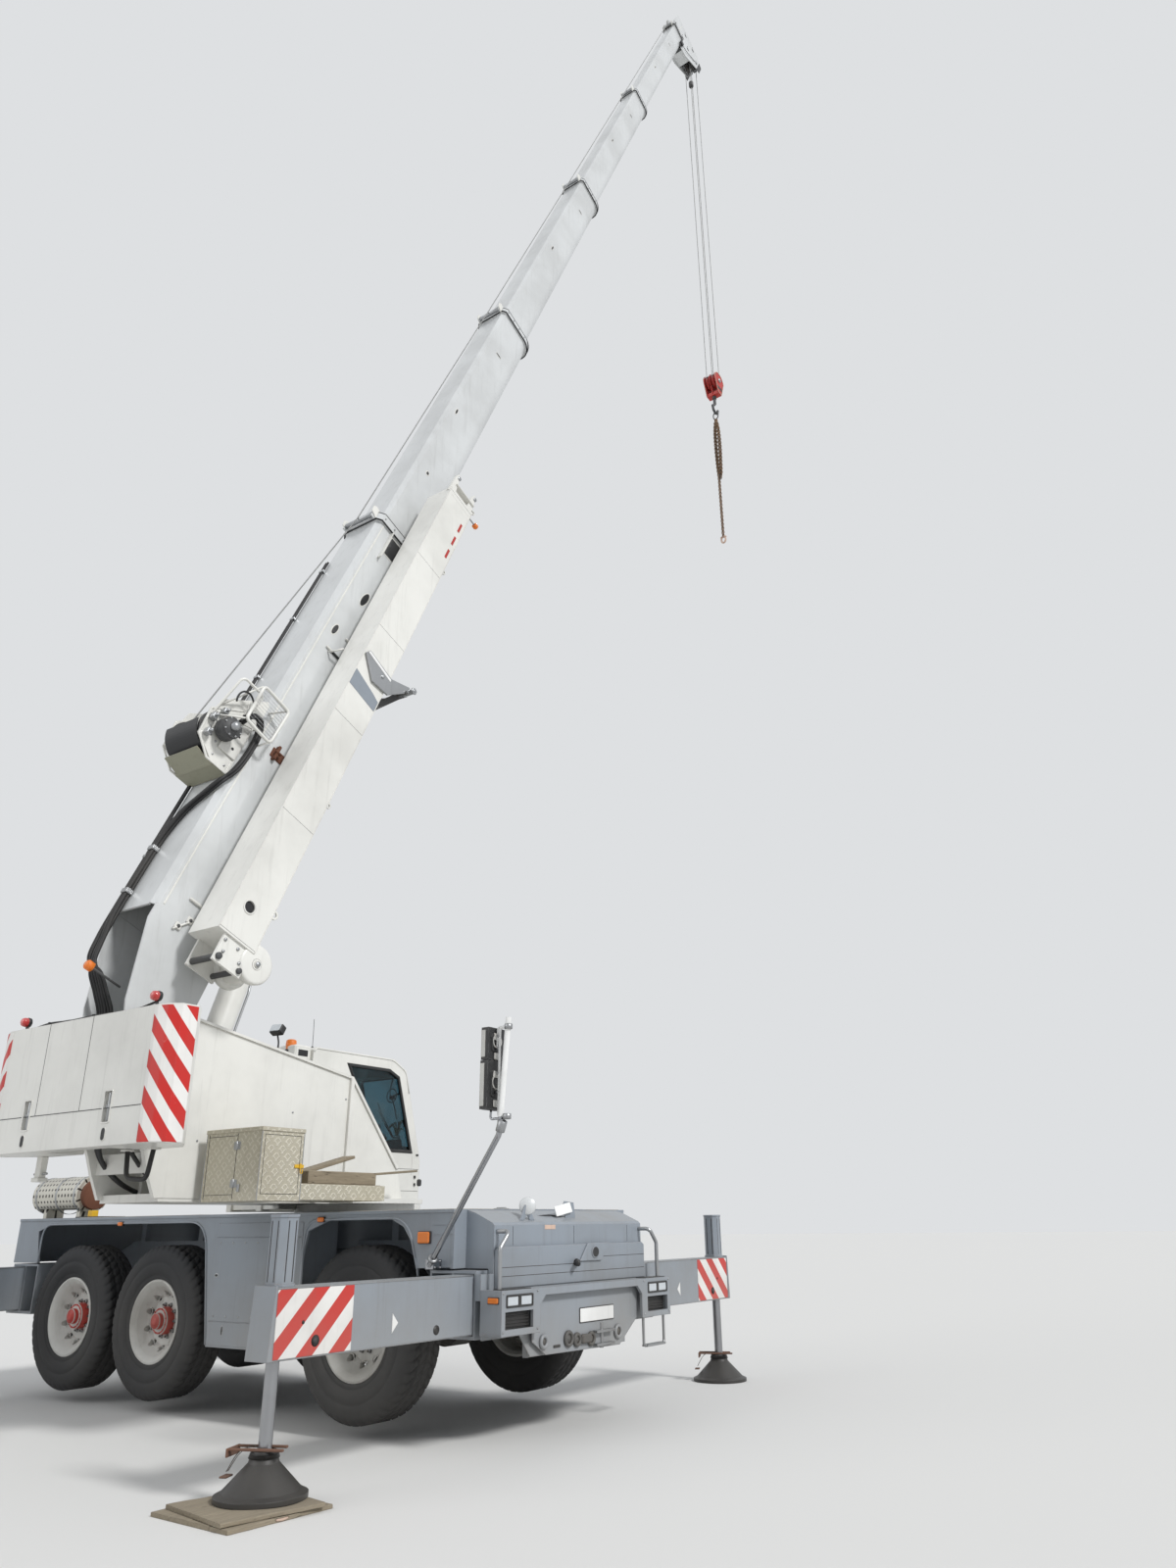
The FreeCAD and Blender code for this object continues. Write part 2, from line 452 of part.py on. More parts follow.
def cab_glass():
    e = REST
    right = prism_xz([(110 + e, 3220 - e), (770 - e, 3220 - e), (930 - 2 * e, 3150 - e), (1200 - 2 * e, 2330 + e), (640 + 2 * e, 2330 + e)],
                     CAB_B0 + 14, CAB_B0 + 20)
    front = prism_xz([(1039.8, 3160 - e), (1045.8, 3160 - e), (1275.9, 2400 + e), (1269.9, 2400 + e)], CAB_B0 + 70 + e, CAB_B1 - 70 - e)
    roof = box(-10 + e, 760 - e, CAB_B0 + 90 + e, CAB_B1 - 90 - e, 3310, 3318)
    rear = box(-366, -360, CAB_B0 + 110 + e, CAB_B1 - 110 - e, 2500 + e, 3150 - e)
    return [right, front, roof, rear]


def cab_seat():
    b = (CAB_B0 + CAB_B1) / 2
    base = box(100, 480, b - 150, b + 150, CAB_Z0 + 60 + REST, 2180)
    cushion = box(60, 560, b - 240, b + 240, 2180, 2300)
    back = prism_xz([(60, 2290), (-60, 2900), (30, 2920), (160, 2300)], b - 230, b + 230)
    head = prism_xz([(-60, 2930), (-80, 3080), (-10, 3090), (10, 2930)], b - 120, b + 120)
    neck = box(-45, 0, b - 40, b + 40, 2890, 2940)
    dash = prism_xz([(860, 2450), (1080, 2480), (1180, 2200), (1180, CAB_Z0 + 60 + REST), (1080, CAB_Z0 + 60 + REST), (1080, 2300), (860, 2400)], CAB_B0 + 60, CAB_B1 - 60)
    wheel = Part.makeTorus(190, 14, V(800, b, 2560), V(-0.5, 0, 1))
    column = cyl(28, (800, b, 2560), (980, b, 2420))
    spoke = [box(615, 985, b - 14, b + 14, 2550, 2570)]
    spoke[0].rotate(V(800, b, 2560), V(0, 1, 0), -26.57)
    return [fuse(base, cushion, back, head, neck), fuse(dash, column, wheel, spoke[0])]


# Boom
def section_face(x, w, top, bot, grow=0.0):
    """Flat top with chamfered corners, upright sides and a rounded belly."""
    w, top, bot = w + grow, top + grow, bot - grow
    r = w * 0.86
    c = w * 0.18
    p = [V(x, -w + c, top), V(x, w - c, top), V(x, w, top - c), V(x, w, bot + r), V(x, w - r * 0.30, bot + r * 0.30),
         V(x, w * 0.30, bot), V(x, -w * 0.30, bot), V(x, -w + r * 0.30, bot + r * 0.30), V(x, -w, bot + r), V(x, -w, top - c)]
    edges = [Part.makeLine(p[0], p[1]), Part.makeLine(p[1], p[2]), Part.makeLine(p[2], p[3]), Part.Arc(p[3], p[4], p[5]).toShape(),
             Part.makeLine(p[5], p[6]), Part.Arc(p[6], p[7], p[8]).toShape(), Part.makeLine(p[8], p[9]), Part.makeLine(p[9], p[0])]
    return Part.Face(Part.Wire(edges))


def shell(x0, x1, w, top, bot, grow=0.0, wall=WALL):
    outer = section_face(x0, w, top, bot, grow).extrude(V(x1 - x0, 0, 0))
    inner = section_face(x0 - 5, w - wall, top - wall, bot + wall).extrude(V(x1 - x0 + 10, 0, 0))
    return outer.cut(inner)


def collar(x1, k, length):
    """Stiff ring at a section's end with two rope guide lugs and the slide pads for the next section."""
    w, top, bot = SECTIONS[k]
    outer = section_face(x1 - length, w, top, bot, 30.0).extrude(V(length, 0, 0))
    inner = section_face(x1 - length - 5, w - WALL, top - WALL, bot + WALL).extrude(V(length + 10, 0, 0))
    lugs = [box(x1 - length, x1, s * (w - 60) - 8, s * (w - 60) + 8, top + 20, top + 95) for s in (-1, 1)]
    bar = cyl(20, (x1 - 60, -w + 50, top + 72), (x1 - 60, w - 50, top + 72))
    pads = []
    if k < 4:
        nw, ntop, nbot = SECTIONS[k + 1]
        pads = [box(x1 - length + 10, x1 - 10, -0.27 * nw, 0.27 * nw, bot + WALL - 2, nbot - FIT),
                box(x1 - length + 10, x1 - 10, -0.7 * nw, 0.7 * nw, ntop + FIT, top - WALL + 2)]
    return fuse(outer.cut(inner), bar, *(lugs + pads))


def boom_base():
    w, top, bot = SECTIONS[0]
    tube = shell(1300, BASE_END - 100, w, top, bot)
    cheek = [(1310, top - 30), (1310, bot + 16), (760, bot + 16), (300, -160), (60, -150), (-100, -120), (-150, 0), (-110, 105),
             (450, 400), (1160, top - 30)]
    cheeks = [prism_xz(cheek, *sorted((s * (w - 16), s * w))) for s in (-1, 1)]
    tail = box(1290, 1420, -w + 60, w - 60, top - 20, top)
    sole = box(770, 1330, -w + 10, w - 10, bot + 2, bot + 24)
    boss = [ring(45 + FIT, 115, (0, s * (w - 30), 0), (0, s * (w + 28), 0)) for s in (-1, 1)]
    end = collar(BASE_END, 0, 120)
    ear = []
    for s in (-1, 1):
        prof = [(CYL_U - 260, bot + 20), (CYL_U + 260, bot + 20), (CYL_U + 70, CYL_T - 70), (CYL_U - 70, CYL_T - 70)]
        e = prism_xz(prof, *sorted((s * 95, s * 125))).fuse(cyl(85, (CYL_U, s * 95, CYL_T), (CYL_U, s * 140, CYL_T)))
        ear.append(e.cut(cyl(50, (CYL_U, -150, CYL_T), (CYL_U, 150, CYL_T))))
    hang = [box(d, d + 60, -w - 150, -w + 15, 60, 110) for d in JIB_HANG]
    body = fuse(tube, tail, sole, end, *(cheeks + ear + hang + boss))
    return body.cut(cyl(45 + FIT, (0, -w - 50, 0), (0, w + 50, 0)))


def boom_section(k):
    w, top, bot = SECTIONS[k]
    x0 = BASE_END + (k - 1) * STEP - OVERLAP
    x1 = BASE_END + k * STEP
    if k < 4:
        return fuse(shell(x0, x1 - 60, w, top, bot), collar(x1, k, 90))
    tube = shell(x0, x1 - 40, w, top, bot)
    cap = collar(x1, 4, 60)
    # head: two cheeks from the top pulley down to the main sheaves, closed by a front plate
    front = SHEAVE_D + 400
    prof = [(x1 - 60, top - 40), (x1 + 20, top + 90), (front - 60, top + 60), (front, top), (front, SHEAVE_T + 60), (SHEAVE_D + 230, SHEAVE_T - 150),
            (SHEAVE_D - 120, SHEAVE_T - 170), (SHEAVE_D - 240, SHEAVE_T - 60), (x1 - 420, bot - 230), (x1 - 480, bot + 10), (x1 - 60, bot + 40)]
    cheeks = [prism_xz(prof, *sorted((s * w, s * (w + 14)))) for s in (-1, 1)]
    plate = box(x1 - 60, x1 - 30, -w, w, bot, top)
    face = box(front - 30, front - 12, -w - 2, w + 2, SHEAVE_T + 30, top - 40)
    web = prism_xz([(x1 - 440, bot - 60), (x1 - 420, bot - 70), (x1 - 150, -420), (x1 - 170, -410)], -w - 2, w + 2)
    top_pin = cyl(22, (x1 + 90, -w - 4, top + 10), (x1 + 90, w + 4, top + 10))
    top_wheel = ring(20, 140, (x1 + 90, -28, top + 10), (x1 + 90, 28, top + 10))
    axle_pin = cyl(30, (SHEAVE_D, -w - 16, SHEAVE_T), (SHEAVE_D, w + 16, SHEAVE_T))
    return fuse(tube, cap, plate, face, web, top_pin, top_wheel, axle_pin, *cheeks)


def head_sheaves():
    """Two grooved sheaves side by side, one revolved profile each, on the head's pin."""
    parts = []
    for b in (-70.0, 70.0):
        prof = [(30 + FIT, -45), (70, -45), (80, -18), (SHEAVE_R - 40, -18), (SHEAVE_R, -32), (SHEAVE_R, -18),
                (ROPE_SEAT, -9), (ROPE_SEAT, 9), (SHEAVE_R, 18), (SHEAVE_R, 32), (SHEAVE_R - 40, 18),
                (80, 18), (70, 45), (30 + FIT, 45)]
        wire = Part.makePolygon([V(SHEAVE_D, b + y, SHEAVE_T + r) for r, y in prof + prof[:1]])
        parts.append(Part.Face(wire).revolve(V(SHEAVE_D, b, SHEAVE_T), V(0, 1, 0), 360))
    return Part.makeCompound(parts)


def winch_frame():
    w, top, bot = SECTIONS[0]
    d, t = WINCH_D, WINCH_T
    prof = [(d - 330, top + 0.3), (d - 330, t - 60), (d - 170, t + 190), (d + 140, t + 210), (d + 420, top + 130), (d + 420, top + 0.3)]
    sides = [prism_xz(prof, *sorted((s * (w - 60), s * (w - 32)))).cut(cyl(54 + FIT, (d, -400, t), (d, 400, t))) for s in (-1, 1)]
    back = box(d - 330, d - 306, -w + 34, w - 34, top + 0.3, t - 70)
    foot = box(d - 330, d + 420, -w + 34, w - 34, top + 0.3, top + 16)
    cage = pipe([(d + 120, -w + 40, t + 170), (d + 560, -w - 130, t + 170), (d + 560, -w - 130, t - 120), (d + 160, -w + 40, t - 120)], 14, 60)
    return fuse(sides[0], sides[1], back, foot, cage)


def winch_drum():
    w = SECTIONS[0][0]
    d, t = WINCH_D, WINCH_T
    core = cyl(DRUM_R, (d, -w + 75, t), (d, w - 75, t))
    flanges = [cyl(DRUM_R + 55, (d, s * (w - 92), t), (d, s * (w - 68), t)) for s in (-1, 1)]
    shaft = cyl(54, (d, -w - 10, t), (d, w + 10, t))
    motor = cyl(105, (d, -w - 10, t), (d, -w - 150, t))
    return fuse(core, shaft, motor, *flanges)


def jib():
    """Swing-away extension folded along the boom's right side: box girder, fork end, foot sheave and hinges."""
    d0, d1 = JIB_D, JIB_END
    b0, b1 = -860.0, -450.0
    t0, t1 = -165.0, 275.0
    body = box(d0, d1, b0, b1, t0, t1).cut(box(d0 + 20, d1 - 20, b0 + 12, b1 - 12, t0 + 12, t1 - 12))
    body = body.cut(cyl(55, (d0 + 330, b0 - 5, 90), (d0 + 330, b0 + 30, 90)))
    fork = []
    for t in (t0 + 40, t1 - 60):
        fork.append(prism_xz([(d1 - 60, t - 50), (d1 + 260, t - 5), (d1 + 330, t + 30), (d1 + 260, t + 60), (d1 - 60, t + 70)], b0 + 20, b0 + 55))
    foot = [box(d0 - 260, d0 + 30, b, b + 26, t0 + 20, t1 - 100) for b in (b0 + 20, b1 - 46)]
    wheel = cyl(140, (d0 - 60, b0 + 60, t0 - 70), (d0 - 60, b1 - 60, t0 - 70))
    pin = cyl(28, (d0 - 60, b0 - 8, t0 - 70), (d0 - 60, b1 + 8, t0 - 70))
    cheek = [prism_xz([(d0 - 190, t0 + 40), (d0 - 150, t0 - 130), (d0 + 20, t0 - 140), (d0 + 160, t0 + 20)], b, b + 22) for b in (b0 + 20, b1 - 46)]
    hinge = []
    for d in JIB_HANG:
        hinge.append(box(d + 5, d + 55, b1 - 10, -SECTIONS[0][0] - 20, 110 + REST, 150))
        hinge.append(box(d + 5, d + 55, b1 - 10, -SECTIONS[0][0] - 20, 20, 60 - REST))
    return fuse(body, wheel, pin, *(fork + foot + cheek + hinge))


def cyl_axis():
    """Lower and upper eye of the lifting cylinder in the superstructure frame, and the unit vector between."""
    p = V(CYL_A, 0, CYL_Z)
    q = V(*boom_point(CYL_U, CYL_T))
    return p, q, q.sub(p).normalize()


def cylinder_barrel():
    p, q, u = cyl_axis()
    eye = cyl(100, (p.x, -85, p.z), (p.x, 85, p.z))
    tube = Part.makeCylinder(125, 2000, p.add(u * 80), u).cut(Part.makeCylinder(100, 2000, p.add(u * 140), u))
    gland = Part.makeCylinder(140, 90, p.add(u * 2010), u).cut(Part.makeCylinder(75 + FIT, 120, p.add(u * 2000), u))
    return fuse(eye, gland, tube).cut(cyl(45 + FIT, (p.x, -90, p.z), (p.x, 90, p.z)))


def cylinder_rod():
    p, q, u = cyl_axis()
    eye = cyl(95, (q.x, -85, q.z), (q.x, 85, q.z))
    n = q.sub(p).Length
    rod = Part.makeCylinder(75, n - 60 - 1620, p.add(u * 1620), u)
    piston = Part.makeCylinder(94, 90, p.add(u * 1620), u)
    return fuse(rod, piston, eye, cyl(45, (q.x, -90, q.z), (q.x, 90, q.z)))


# Hoist: rope falls, block and hook hang upright from the head's pin
def hang_point():
    a, b, z = boom_point(SHEAVE_D, SHEAVE_T)
    return a, z


def hoist_ropes():
    a, z = hang_point()
    parts = []
    for b in (-70.0, 70.0):
        for s in (-1, 1):
            x = a + s * ROPE_A
            parts.append(cyl(ROPE_R, (x, b, z - HOOK_DROP), (x, b, z)))
    return parts


def hook_block():
    a, z = hang_point()
    zc = z - HOOK_DROP
    r = 215.0
    cheeks = [fuse(cyl(r, (a, b, zc), (a, b + 20, zc)), prism_xz([(a - 190, zc), (a + 190, zc), (a + 80, zc - 380), (a - 80, zc - 380)], b, b + 20))
              for b in (-150.0, -10.0, 130.0)]
    wheels = []
    for b in (-70.0, 70.0):
        wheels.append(cyl(ROPE_SEAT, (a, b - 28, zc), (a, b + 28, zc)))
        wheels += [cyl(SHEAVE_R - 4, (a, b + d, zc), (a, b + d + 19, zc)) for d in (-28.0, 9.0)]
    pin = cyl(35, (a, -160, zc), (a, 160, zc))
    cross = box(a - 75, a + 75, -150, 150, zc - 400, zc - 310)
    s = fuse(pin, cross, *(cheeks + wheels))
    s = s.cut(cyl(35 + FIT, (a, 0, zc - 420), (a, 0, zc - 300)))
    return s.cut(cyl(60, (a, 0, zc - 310), (a, 0, zc - 255)))


def hook():
    a, z = hang_point()
    zc = z - HOOK_DROP
    shank = cyl(35, (a, 0, zc - 620), (a, 0, zc - 300))
    nut = cyl(52, (a, 0, zc - 310 + FIT), (a, 0, zc - 270))
    ball = cyl(48, (a, 0, zc - 470), (a, 0, zc - 401))
    zc -= 760
    path = [(a, 0, zc + 150), (a - 20, 0, zc + 110), (a - 120, 0, zc + 20), (a - 95, 0, zc - 85), (a, 0, zc - 125), (a + 100, 0, zc - 70), (a + 125, 0, zc + 25)]
    parts = [shank, nut, ball]
    for (p, q) in zip(path[:-1], path[1:]):
        parts.append(cyl(30, p, q))
        parts.append(Part.makeSphere(30, V(*q)))
    return fuse(*parts)


def engine():
    feet = [box(-700, -600, *sorted((s * 290, s * (FRAME_Y - 60 - REST))), 1100, 1200) for s in (-1, 1)]
    return fuse(box(-860, -200, -300, 300, 1000, 1330), *feet)


def main():
    for n, cx in AXLES.items():
        save("axle_" + n, axle(cx))
        for nm, s in (("right", -1), ("left", 1)):
            tag = "%s_%s" % (n, nm)
            save("tyre_" + tag, tyre_profile(cx, s * TYRE_Y, s))
            save("rim_" + tag, rim(cx, s * TYRE_Y, s, n != "1"))
            save("knuckle_" + tag, knuckle(cx, s))
    save("chassis_frame", chassis_frame())
    save("deck_body", deck_body())
    save("nose_cowl", nose_cowl())
    save("front_bumper", bumper())
    save("head_lamps", Part.makeCompound(lamps()))
    save("front_fittings", Part.makeCompound(front_fittings() + [tow_coupling()]))
    save("mirror_arm", mirror())
    save("silencer", silencer())
    save("engine_block", engine())
    save("timber_mat", mat())
    for n, row in BEAMS.items():
        save("outrigger_beam_" + n, beam(*row))
        save("outrigger_jack_" + n, jack(*row))
    save("turntable_frame", upper(turntable()))
    save("counterweight", upper(counterweight()))
    save("toolbox", upper(toolbox()))
    save("cab_shell", upper(cab_shell()))
    save("cab_door", upper(cab_door()))
    save("cab_glass", upper(Part.makeCompound(cab_glass())))
    save("cab_seat", upper(Part.makeCompound(cab_seat())))
    save("boom_base", boom(boom_base()))
    for k in (1, 2, 3, 4):
        save("boom_section_%d" % k, boom(boom_section(k)))
    save("head_sheaves", boom(head_sheaves()))
    save("winch_frame", boom(winch_frame()))
    save("winch_drum", boom(winch_drum()))
    save("jib", boom(jib()))
    save("lift_cylinder", upper(cylinder_barrel()))
    save("lift_rod", upper(cylinder_rod()))
    save("hoist_ropes", upper(Part.makeCompound(hoist_ropes())))
    save("hook_block", upper(hook_block()))
    save("hook", upper(hook()))


main()
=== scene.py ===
"""Looks of the mobile crane: materials, lights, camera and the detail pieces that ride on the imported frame.

All positions are metres in the frame of the solids: origin on the ground under the slew axis, +X to the
carrier's front, +Y to its left, +Z up. The superstructure frame (a forward, b left, z up) and the boom frame
(d along the boom, b left, t towards its top) are reached with one matrix each.
"""

import json
import logging
import math
from dataclasses import dataclass
from enum import Enum
from functools import cache
from typing import Callable, Iterable, Optional, Sequence

import bpy
import numpy as np
from mathutils import Matrix

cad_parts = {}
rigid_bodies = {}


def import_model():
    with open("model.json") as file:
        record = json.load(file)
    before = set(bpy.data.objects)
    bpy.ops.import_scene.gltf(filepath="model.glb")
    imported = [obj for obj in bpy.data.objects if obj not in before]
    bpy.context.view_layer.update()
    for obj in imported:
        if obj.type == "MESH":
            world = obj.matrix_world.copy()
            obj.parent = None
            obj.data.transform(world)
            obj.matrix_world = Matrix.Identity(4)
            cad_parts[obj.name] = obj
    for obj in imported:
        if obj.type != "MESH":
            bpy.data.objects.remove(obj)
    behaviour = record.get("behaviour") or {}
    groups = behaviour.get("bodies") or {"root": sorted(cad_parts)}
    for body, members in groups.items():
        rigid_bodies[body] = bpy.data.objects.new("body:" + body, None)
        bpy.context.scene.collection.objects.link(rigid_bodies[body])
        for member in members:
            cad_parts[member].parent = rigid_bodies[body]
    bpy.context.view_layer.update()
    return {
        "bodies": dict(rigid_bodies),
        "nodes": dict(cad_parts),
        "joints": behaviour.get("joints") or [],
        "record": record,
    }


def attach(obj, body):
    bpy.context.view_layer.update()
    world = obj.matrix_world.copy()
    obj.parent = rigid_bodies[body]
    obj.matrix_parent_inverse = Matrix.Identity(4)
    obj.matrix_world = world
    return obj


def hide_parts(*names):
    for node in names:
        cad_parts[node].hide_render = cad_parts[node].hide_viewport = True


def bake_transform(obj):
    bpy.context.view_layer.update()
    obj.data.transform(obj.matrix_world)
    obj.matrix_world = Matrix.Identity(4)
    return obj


LOG = logging.getLogger("crane")
Vec = Sequence[float]


def srgb(red: float, green: float, blue: float) -> tuple[float, float, float, float]:
    """Linear colour of a display colour.

    Args:
        red, green, blue: channels from 0 to 255.
    Returns:
        Linear red, green, blue and an alpha of 1.
    """
    c = np.array([red, green, blue]) / 255.0
    lin = np.where(c <= 0.04045, c / 12.92, ((c + 0.055) / 1.055) ** 2.4)
    return (float(lin[0]), float(lin[1]), float(lin[2]), 1.0)


def rotation(axis: int, degrees: float) -> np.ndarray:
    """4x4 turn about x (0), y (1) or z (2).

    Args:
        axis: index of the axis.
        degrees: right-handed angle.
    Returns:
        The matrix: cosine on the two other diagonal places, sine off it.
    """
    c, s = math.cos(math.radians(degrees)), math.sin(math.radians(degrees))
    i, j = (axis + 1) % 3, (axis + 2) % 3
    m = np.eye(4)
    m[i, i] = m[j, j] = c
    m[j, i], m[i, j] = s, -s
    return m


def shift(x: float, y: float, z: float) -> np.ndarray:
    """4x4 move by x, y, z.

    Args:
        x, y, z: distances in metres.
    Returns:
        The matrix.
    """
    m = np.eye(4)
    m[:3, 3] = (x, y, z)
    return m


@dataclass(frozen=True)
class CraneSizes:
    """Sizes shared with the solids, in metres and degrees.

    sections: half width, top and bottom of each boom section; sheave: the head's lower pulleys, along the boom from
    its end and across it.
    """

    elevation: float = 67.08
    pivot_a: float = -2.895
    pivot_z: float = 2.755
    sections: tuple = (
        (0.300, 0.628, -0.220), (0.260, 0.575, -0.165), (0.225, 0.540, -0.105), (0.190, 0.515, -0.050), (0.160, 0.490, 0.000))
    base_end: float = 7.246
    step: float = 5.856
    axles: tuple = (1.320, -1.360, -2.755)
    wheel_z: float = 0.759
    tyre_r: float = 0.664
    tyre_w: float = 0.385
    tyre_y: float = 1.070
    half_w: float = 1.252
    deck_z: float = 1.689
    hook_drop: float = 11.2
    sheave: tuple = (0.285, -0.612)
    silencer_yz: tuple = (-1.010, 1.925)

    @property
    def head_d(self) -> float:
        """Distance of the last section's end from the pivot."""
        return self.base_end + 4 * self.step


SIZE = CraneSizes()
CARRIER = HERE = np.eye(4)
UPPER = rotation(2, 90.0)
BOOM = UPPER @ shift(SIZE.pivot_a, 0.0, SIZE.pivot_z) @ rotation(1, -SIZE.elevation)
AHEAD = (1, 0, 0)
BACK = (-1, 0, 0)
UP = (0, 0, 1)
TURN = 2 * math.pi


class Body(str, Enum):
    """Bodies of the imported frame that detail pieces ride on."""

    CARRIER = "carrier"
    UPPER = "superstructure"
    CAB = "cab"
    DOOR = "door"
    BOOM = "boom"
    WINCH = "winch"
    BARREL = "lift_barrel"
    ROPES = "rope_hang"
    BLOCK = "block"
    HOOK = "hook_swivel_body"


class Shape:
    """Collects vertices and faces of one detail piece in its own frame and turns them into one mesh."""

    def __init__(self, name: str, frame: np.ndarray = CARRIER) -> None:
        """Starts an empty piece.

        Args:
            name: object name.
            frame: 4x4 matrix from the piece's frame to the crane's.
        """
        self.name = name
        self.frame = frame
        self.local = np.eye(4)
        self.verts: list[np.ndarray] = []
        self.faces: list[tuple[int, ...]] = []
        self.slots: list[int] = []
        self.flat: list[bool] = []
        self.count = 0
        self.slot = 0

    def at(self, matrix: np.ndarray) -> "Shape":
        """Sets the place of what is added next.

        Args:
            matrix: 4x4 matrix inside the piece's frame.
        Returns:
            The shape itself.
        """
        self.local = matrix
        return self

    def use(self, slot: int) -> "Shape":
        """Sets the material slot of what is added next.

        Args:
            slot: index into the materials given to finish.
        Returns:
            The shape itself.
        """
        self.slot = slot
        return self

    def add(self, verts: np.ndarray, faces: Iterable[Sequence[int]], smooth: bool = False) -> "Shape":
        """Adds raw vertices and faces.

        Args:
            verts: n x 3 array in the local frame.
            faces: corner indices counted from the first of these vertices.
            smooth: True for faces shaded smooth.
        Returns:
            The shape itself.
        """
        v = np.asarray(verts, float).reshape(-1, 3)
        m = self.frame @ self.local
        self.verts.append(v @ m[:3, :3].T + m[:3, 3])
        new = [tuple(int(i) + self.count for i in f) for f in faces]
        self.faces += new
        self.slots += [self.slot] * len(new)
        self.flat += [smooth] * len(new)
        self.count += len(v)
        return self

    def grid(self, points: np.ndarray, wrap_u: bool = False, wrap_v: bool = False, smooth: bool = True) -> "Shape":
        """Adds a sheet of quads over a grid of points.

        Args:
            points: u x v x 3 array.
            wrap_u, wrap_v: True where the last row or column joins the first.
            smooth: True for smooth shading.
        Returns:
            The shape itself.
        """
        nu, nv = points.shape[:2]
        index = np.arange(nu * nv).reshape(nu, nv)
        rows = np.arange(nu if wrap_u else nu - 1)
        cols = np.arange(nv if wrap_v else nv - 1)
        r, c = np.meshgrid(rows, cols, indexing="ij")
        r2, c2 = (r + 1) % nu, (c + 1) % nv
        quads = np.stack([index[r, c], index[r2, c], index[r2, c2], index[r, c2]], -1).reshape(-1, 4)
        return self.add(points.reshape(-1, 3), quads.tolist(), smooth)

    def lathe(self, profile: Sequence[Vec], centre: Vec, axis: Vec, steps: int = 32, smooth: bool = True) -> "Shape":
        """Adds a turned form: each profile point (r, h) runs round the axis at radius r and height h.

        Args:
            profile: radius and height pairs in metres.
            centre: point of height 0 on the axis.
            axis: direction of the axis.
            steps: divisions round it.
            smooth: True for smooth shading.
        Returns:
            The shape itself.
        """
        n, u, w = frame_of(axis)
        p = np.asarray(profile, float)
        a = np.linspace(0, TURN, steps, endpoint=False)
        ring = np.cos(a)[:, None] * u + np.sin(a)[:, None] * w
        pts = np.asarray(centre, float) + p[None, :, 0, None] * ring[:, None, :] + p[None, :, 1, None] * n
        return self.grid(pts, wrap_u=True, smooth=smooth)

    def rod(self, p: Vec, q: Vec, r: float, steps: int = 12) -> "Shape":
        """Adds a round bar with chamfered ends between two points.

        Args:
            p, q: end points.
            r: radius.
            steps: divisions round it; from nine on it is shaded smooth.
        Returns:
            The shape itself.
        """
        d = np.subtract(q, p)
        h = float(np.linalg.norm(d))
        c = min(0.12 * r, 0.2 * h)
        prof = [(0.0005, 0.0), (r - c, 0.0), (r, c), (r, h - c), (r - c, h), (0.0005, h)]
        return self.lathe(prof, p, d, steps, smooth=steps > 8)

    def tube(self, path: np.ndarray, r: float, steps: int = 10, closed: bool = False, ends: bool = True) -> "Shape":
        """Sweeps a circle of radius r along a path, turning its frame by the least turn from point to point.

        Args:
            path: n x 3 points.
            r: radius.
            steps: divisions round it.
            closed: True for a ring.
            ends: True to close both ends with small domes.
        Returns:
            The shape itself.
        """
        p = np.asarray(path, float)
        t = np.gradient(p, axis=0) if not closed else np.roll(p, -1, 0) - np.roll(p, 1, 0)
        t /= np.maximum(np.linalg.norm(t, axis=1, keepdims=True), 1e-9)
        _, u, _ = frame_of(t[0])
        us = []
        for d in t:
            u = u - d * (u @ d)
            u = u / max(np.linalg.norm(u), 1e-9)
            us.append(u)
        us = np.array(us)
        ws = np.cross(t, us)
        a = np.linspace(0, TURN, steps, endpoint=False)
        off = np.cos(a)[None, :, None] * us[:, None] + np.sin(a)[None, :, None] * ws[:, None]
        pts = p[:, None] + r * off
        if ends and not closed:
            head = p[0] + (pts[0] - p[0]) * 0.02 - t[0] * r * 0.25
            tail = p[-1] + (pts[-1] - p[-1]) * 0.02 + t[-1] * r * 0.25
            pts = np.concatenate([head[None], pts, tail[None]])
        return self.grid(pts, wrap_u=closed, wrap_v=True)

    def slab(self, outline: Sequence[Vec], lo: float, hi: float, axis: int = 2, bevel: float = 0.0) -> "Shape":
        """Extrudes an outline along one axis, with its rims drawn in by a bevel.

        Args:
            outline: points in the two other axes, in cyclic order after the axis.
            lo, hi: ends along the axis, in either order.
            axis: 0, 1 or 2.
            bevel: width of the chamfer round both ends.
        Returns:
            The shape itself.
        """
        o, (lo, hi) = anticlockwise(outline), sorted((lo, hi))
        levels = [(lo, bevel), (lo + bevel, 0.0), (hi - bevel, 0.0), (hi, bevel)] if bevel else [(lo, 0.0), (hi, 0.0)]
        rings = [lifted(inset_outline(o, inset), axis, h) for h, inset in levels]
        n = len(o)
        faces = [(k * n + i, k * n + (i + 1) % n, (k + 1) * n + (i + 1) % n, (k + 1) * n + i)
                 for k in range(len(rings) - 1) for i in range(n)]
        top = (len(rings) - 1) * n
        faces += [tuple(range(n))[::-1], tuple(range(top, top + n))]
        return self.add(np.concatenate(rings), faces)

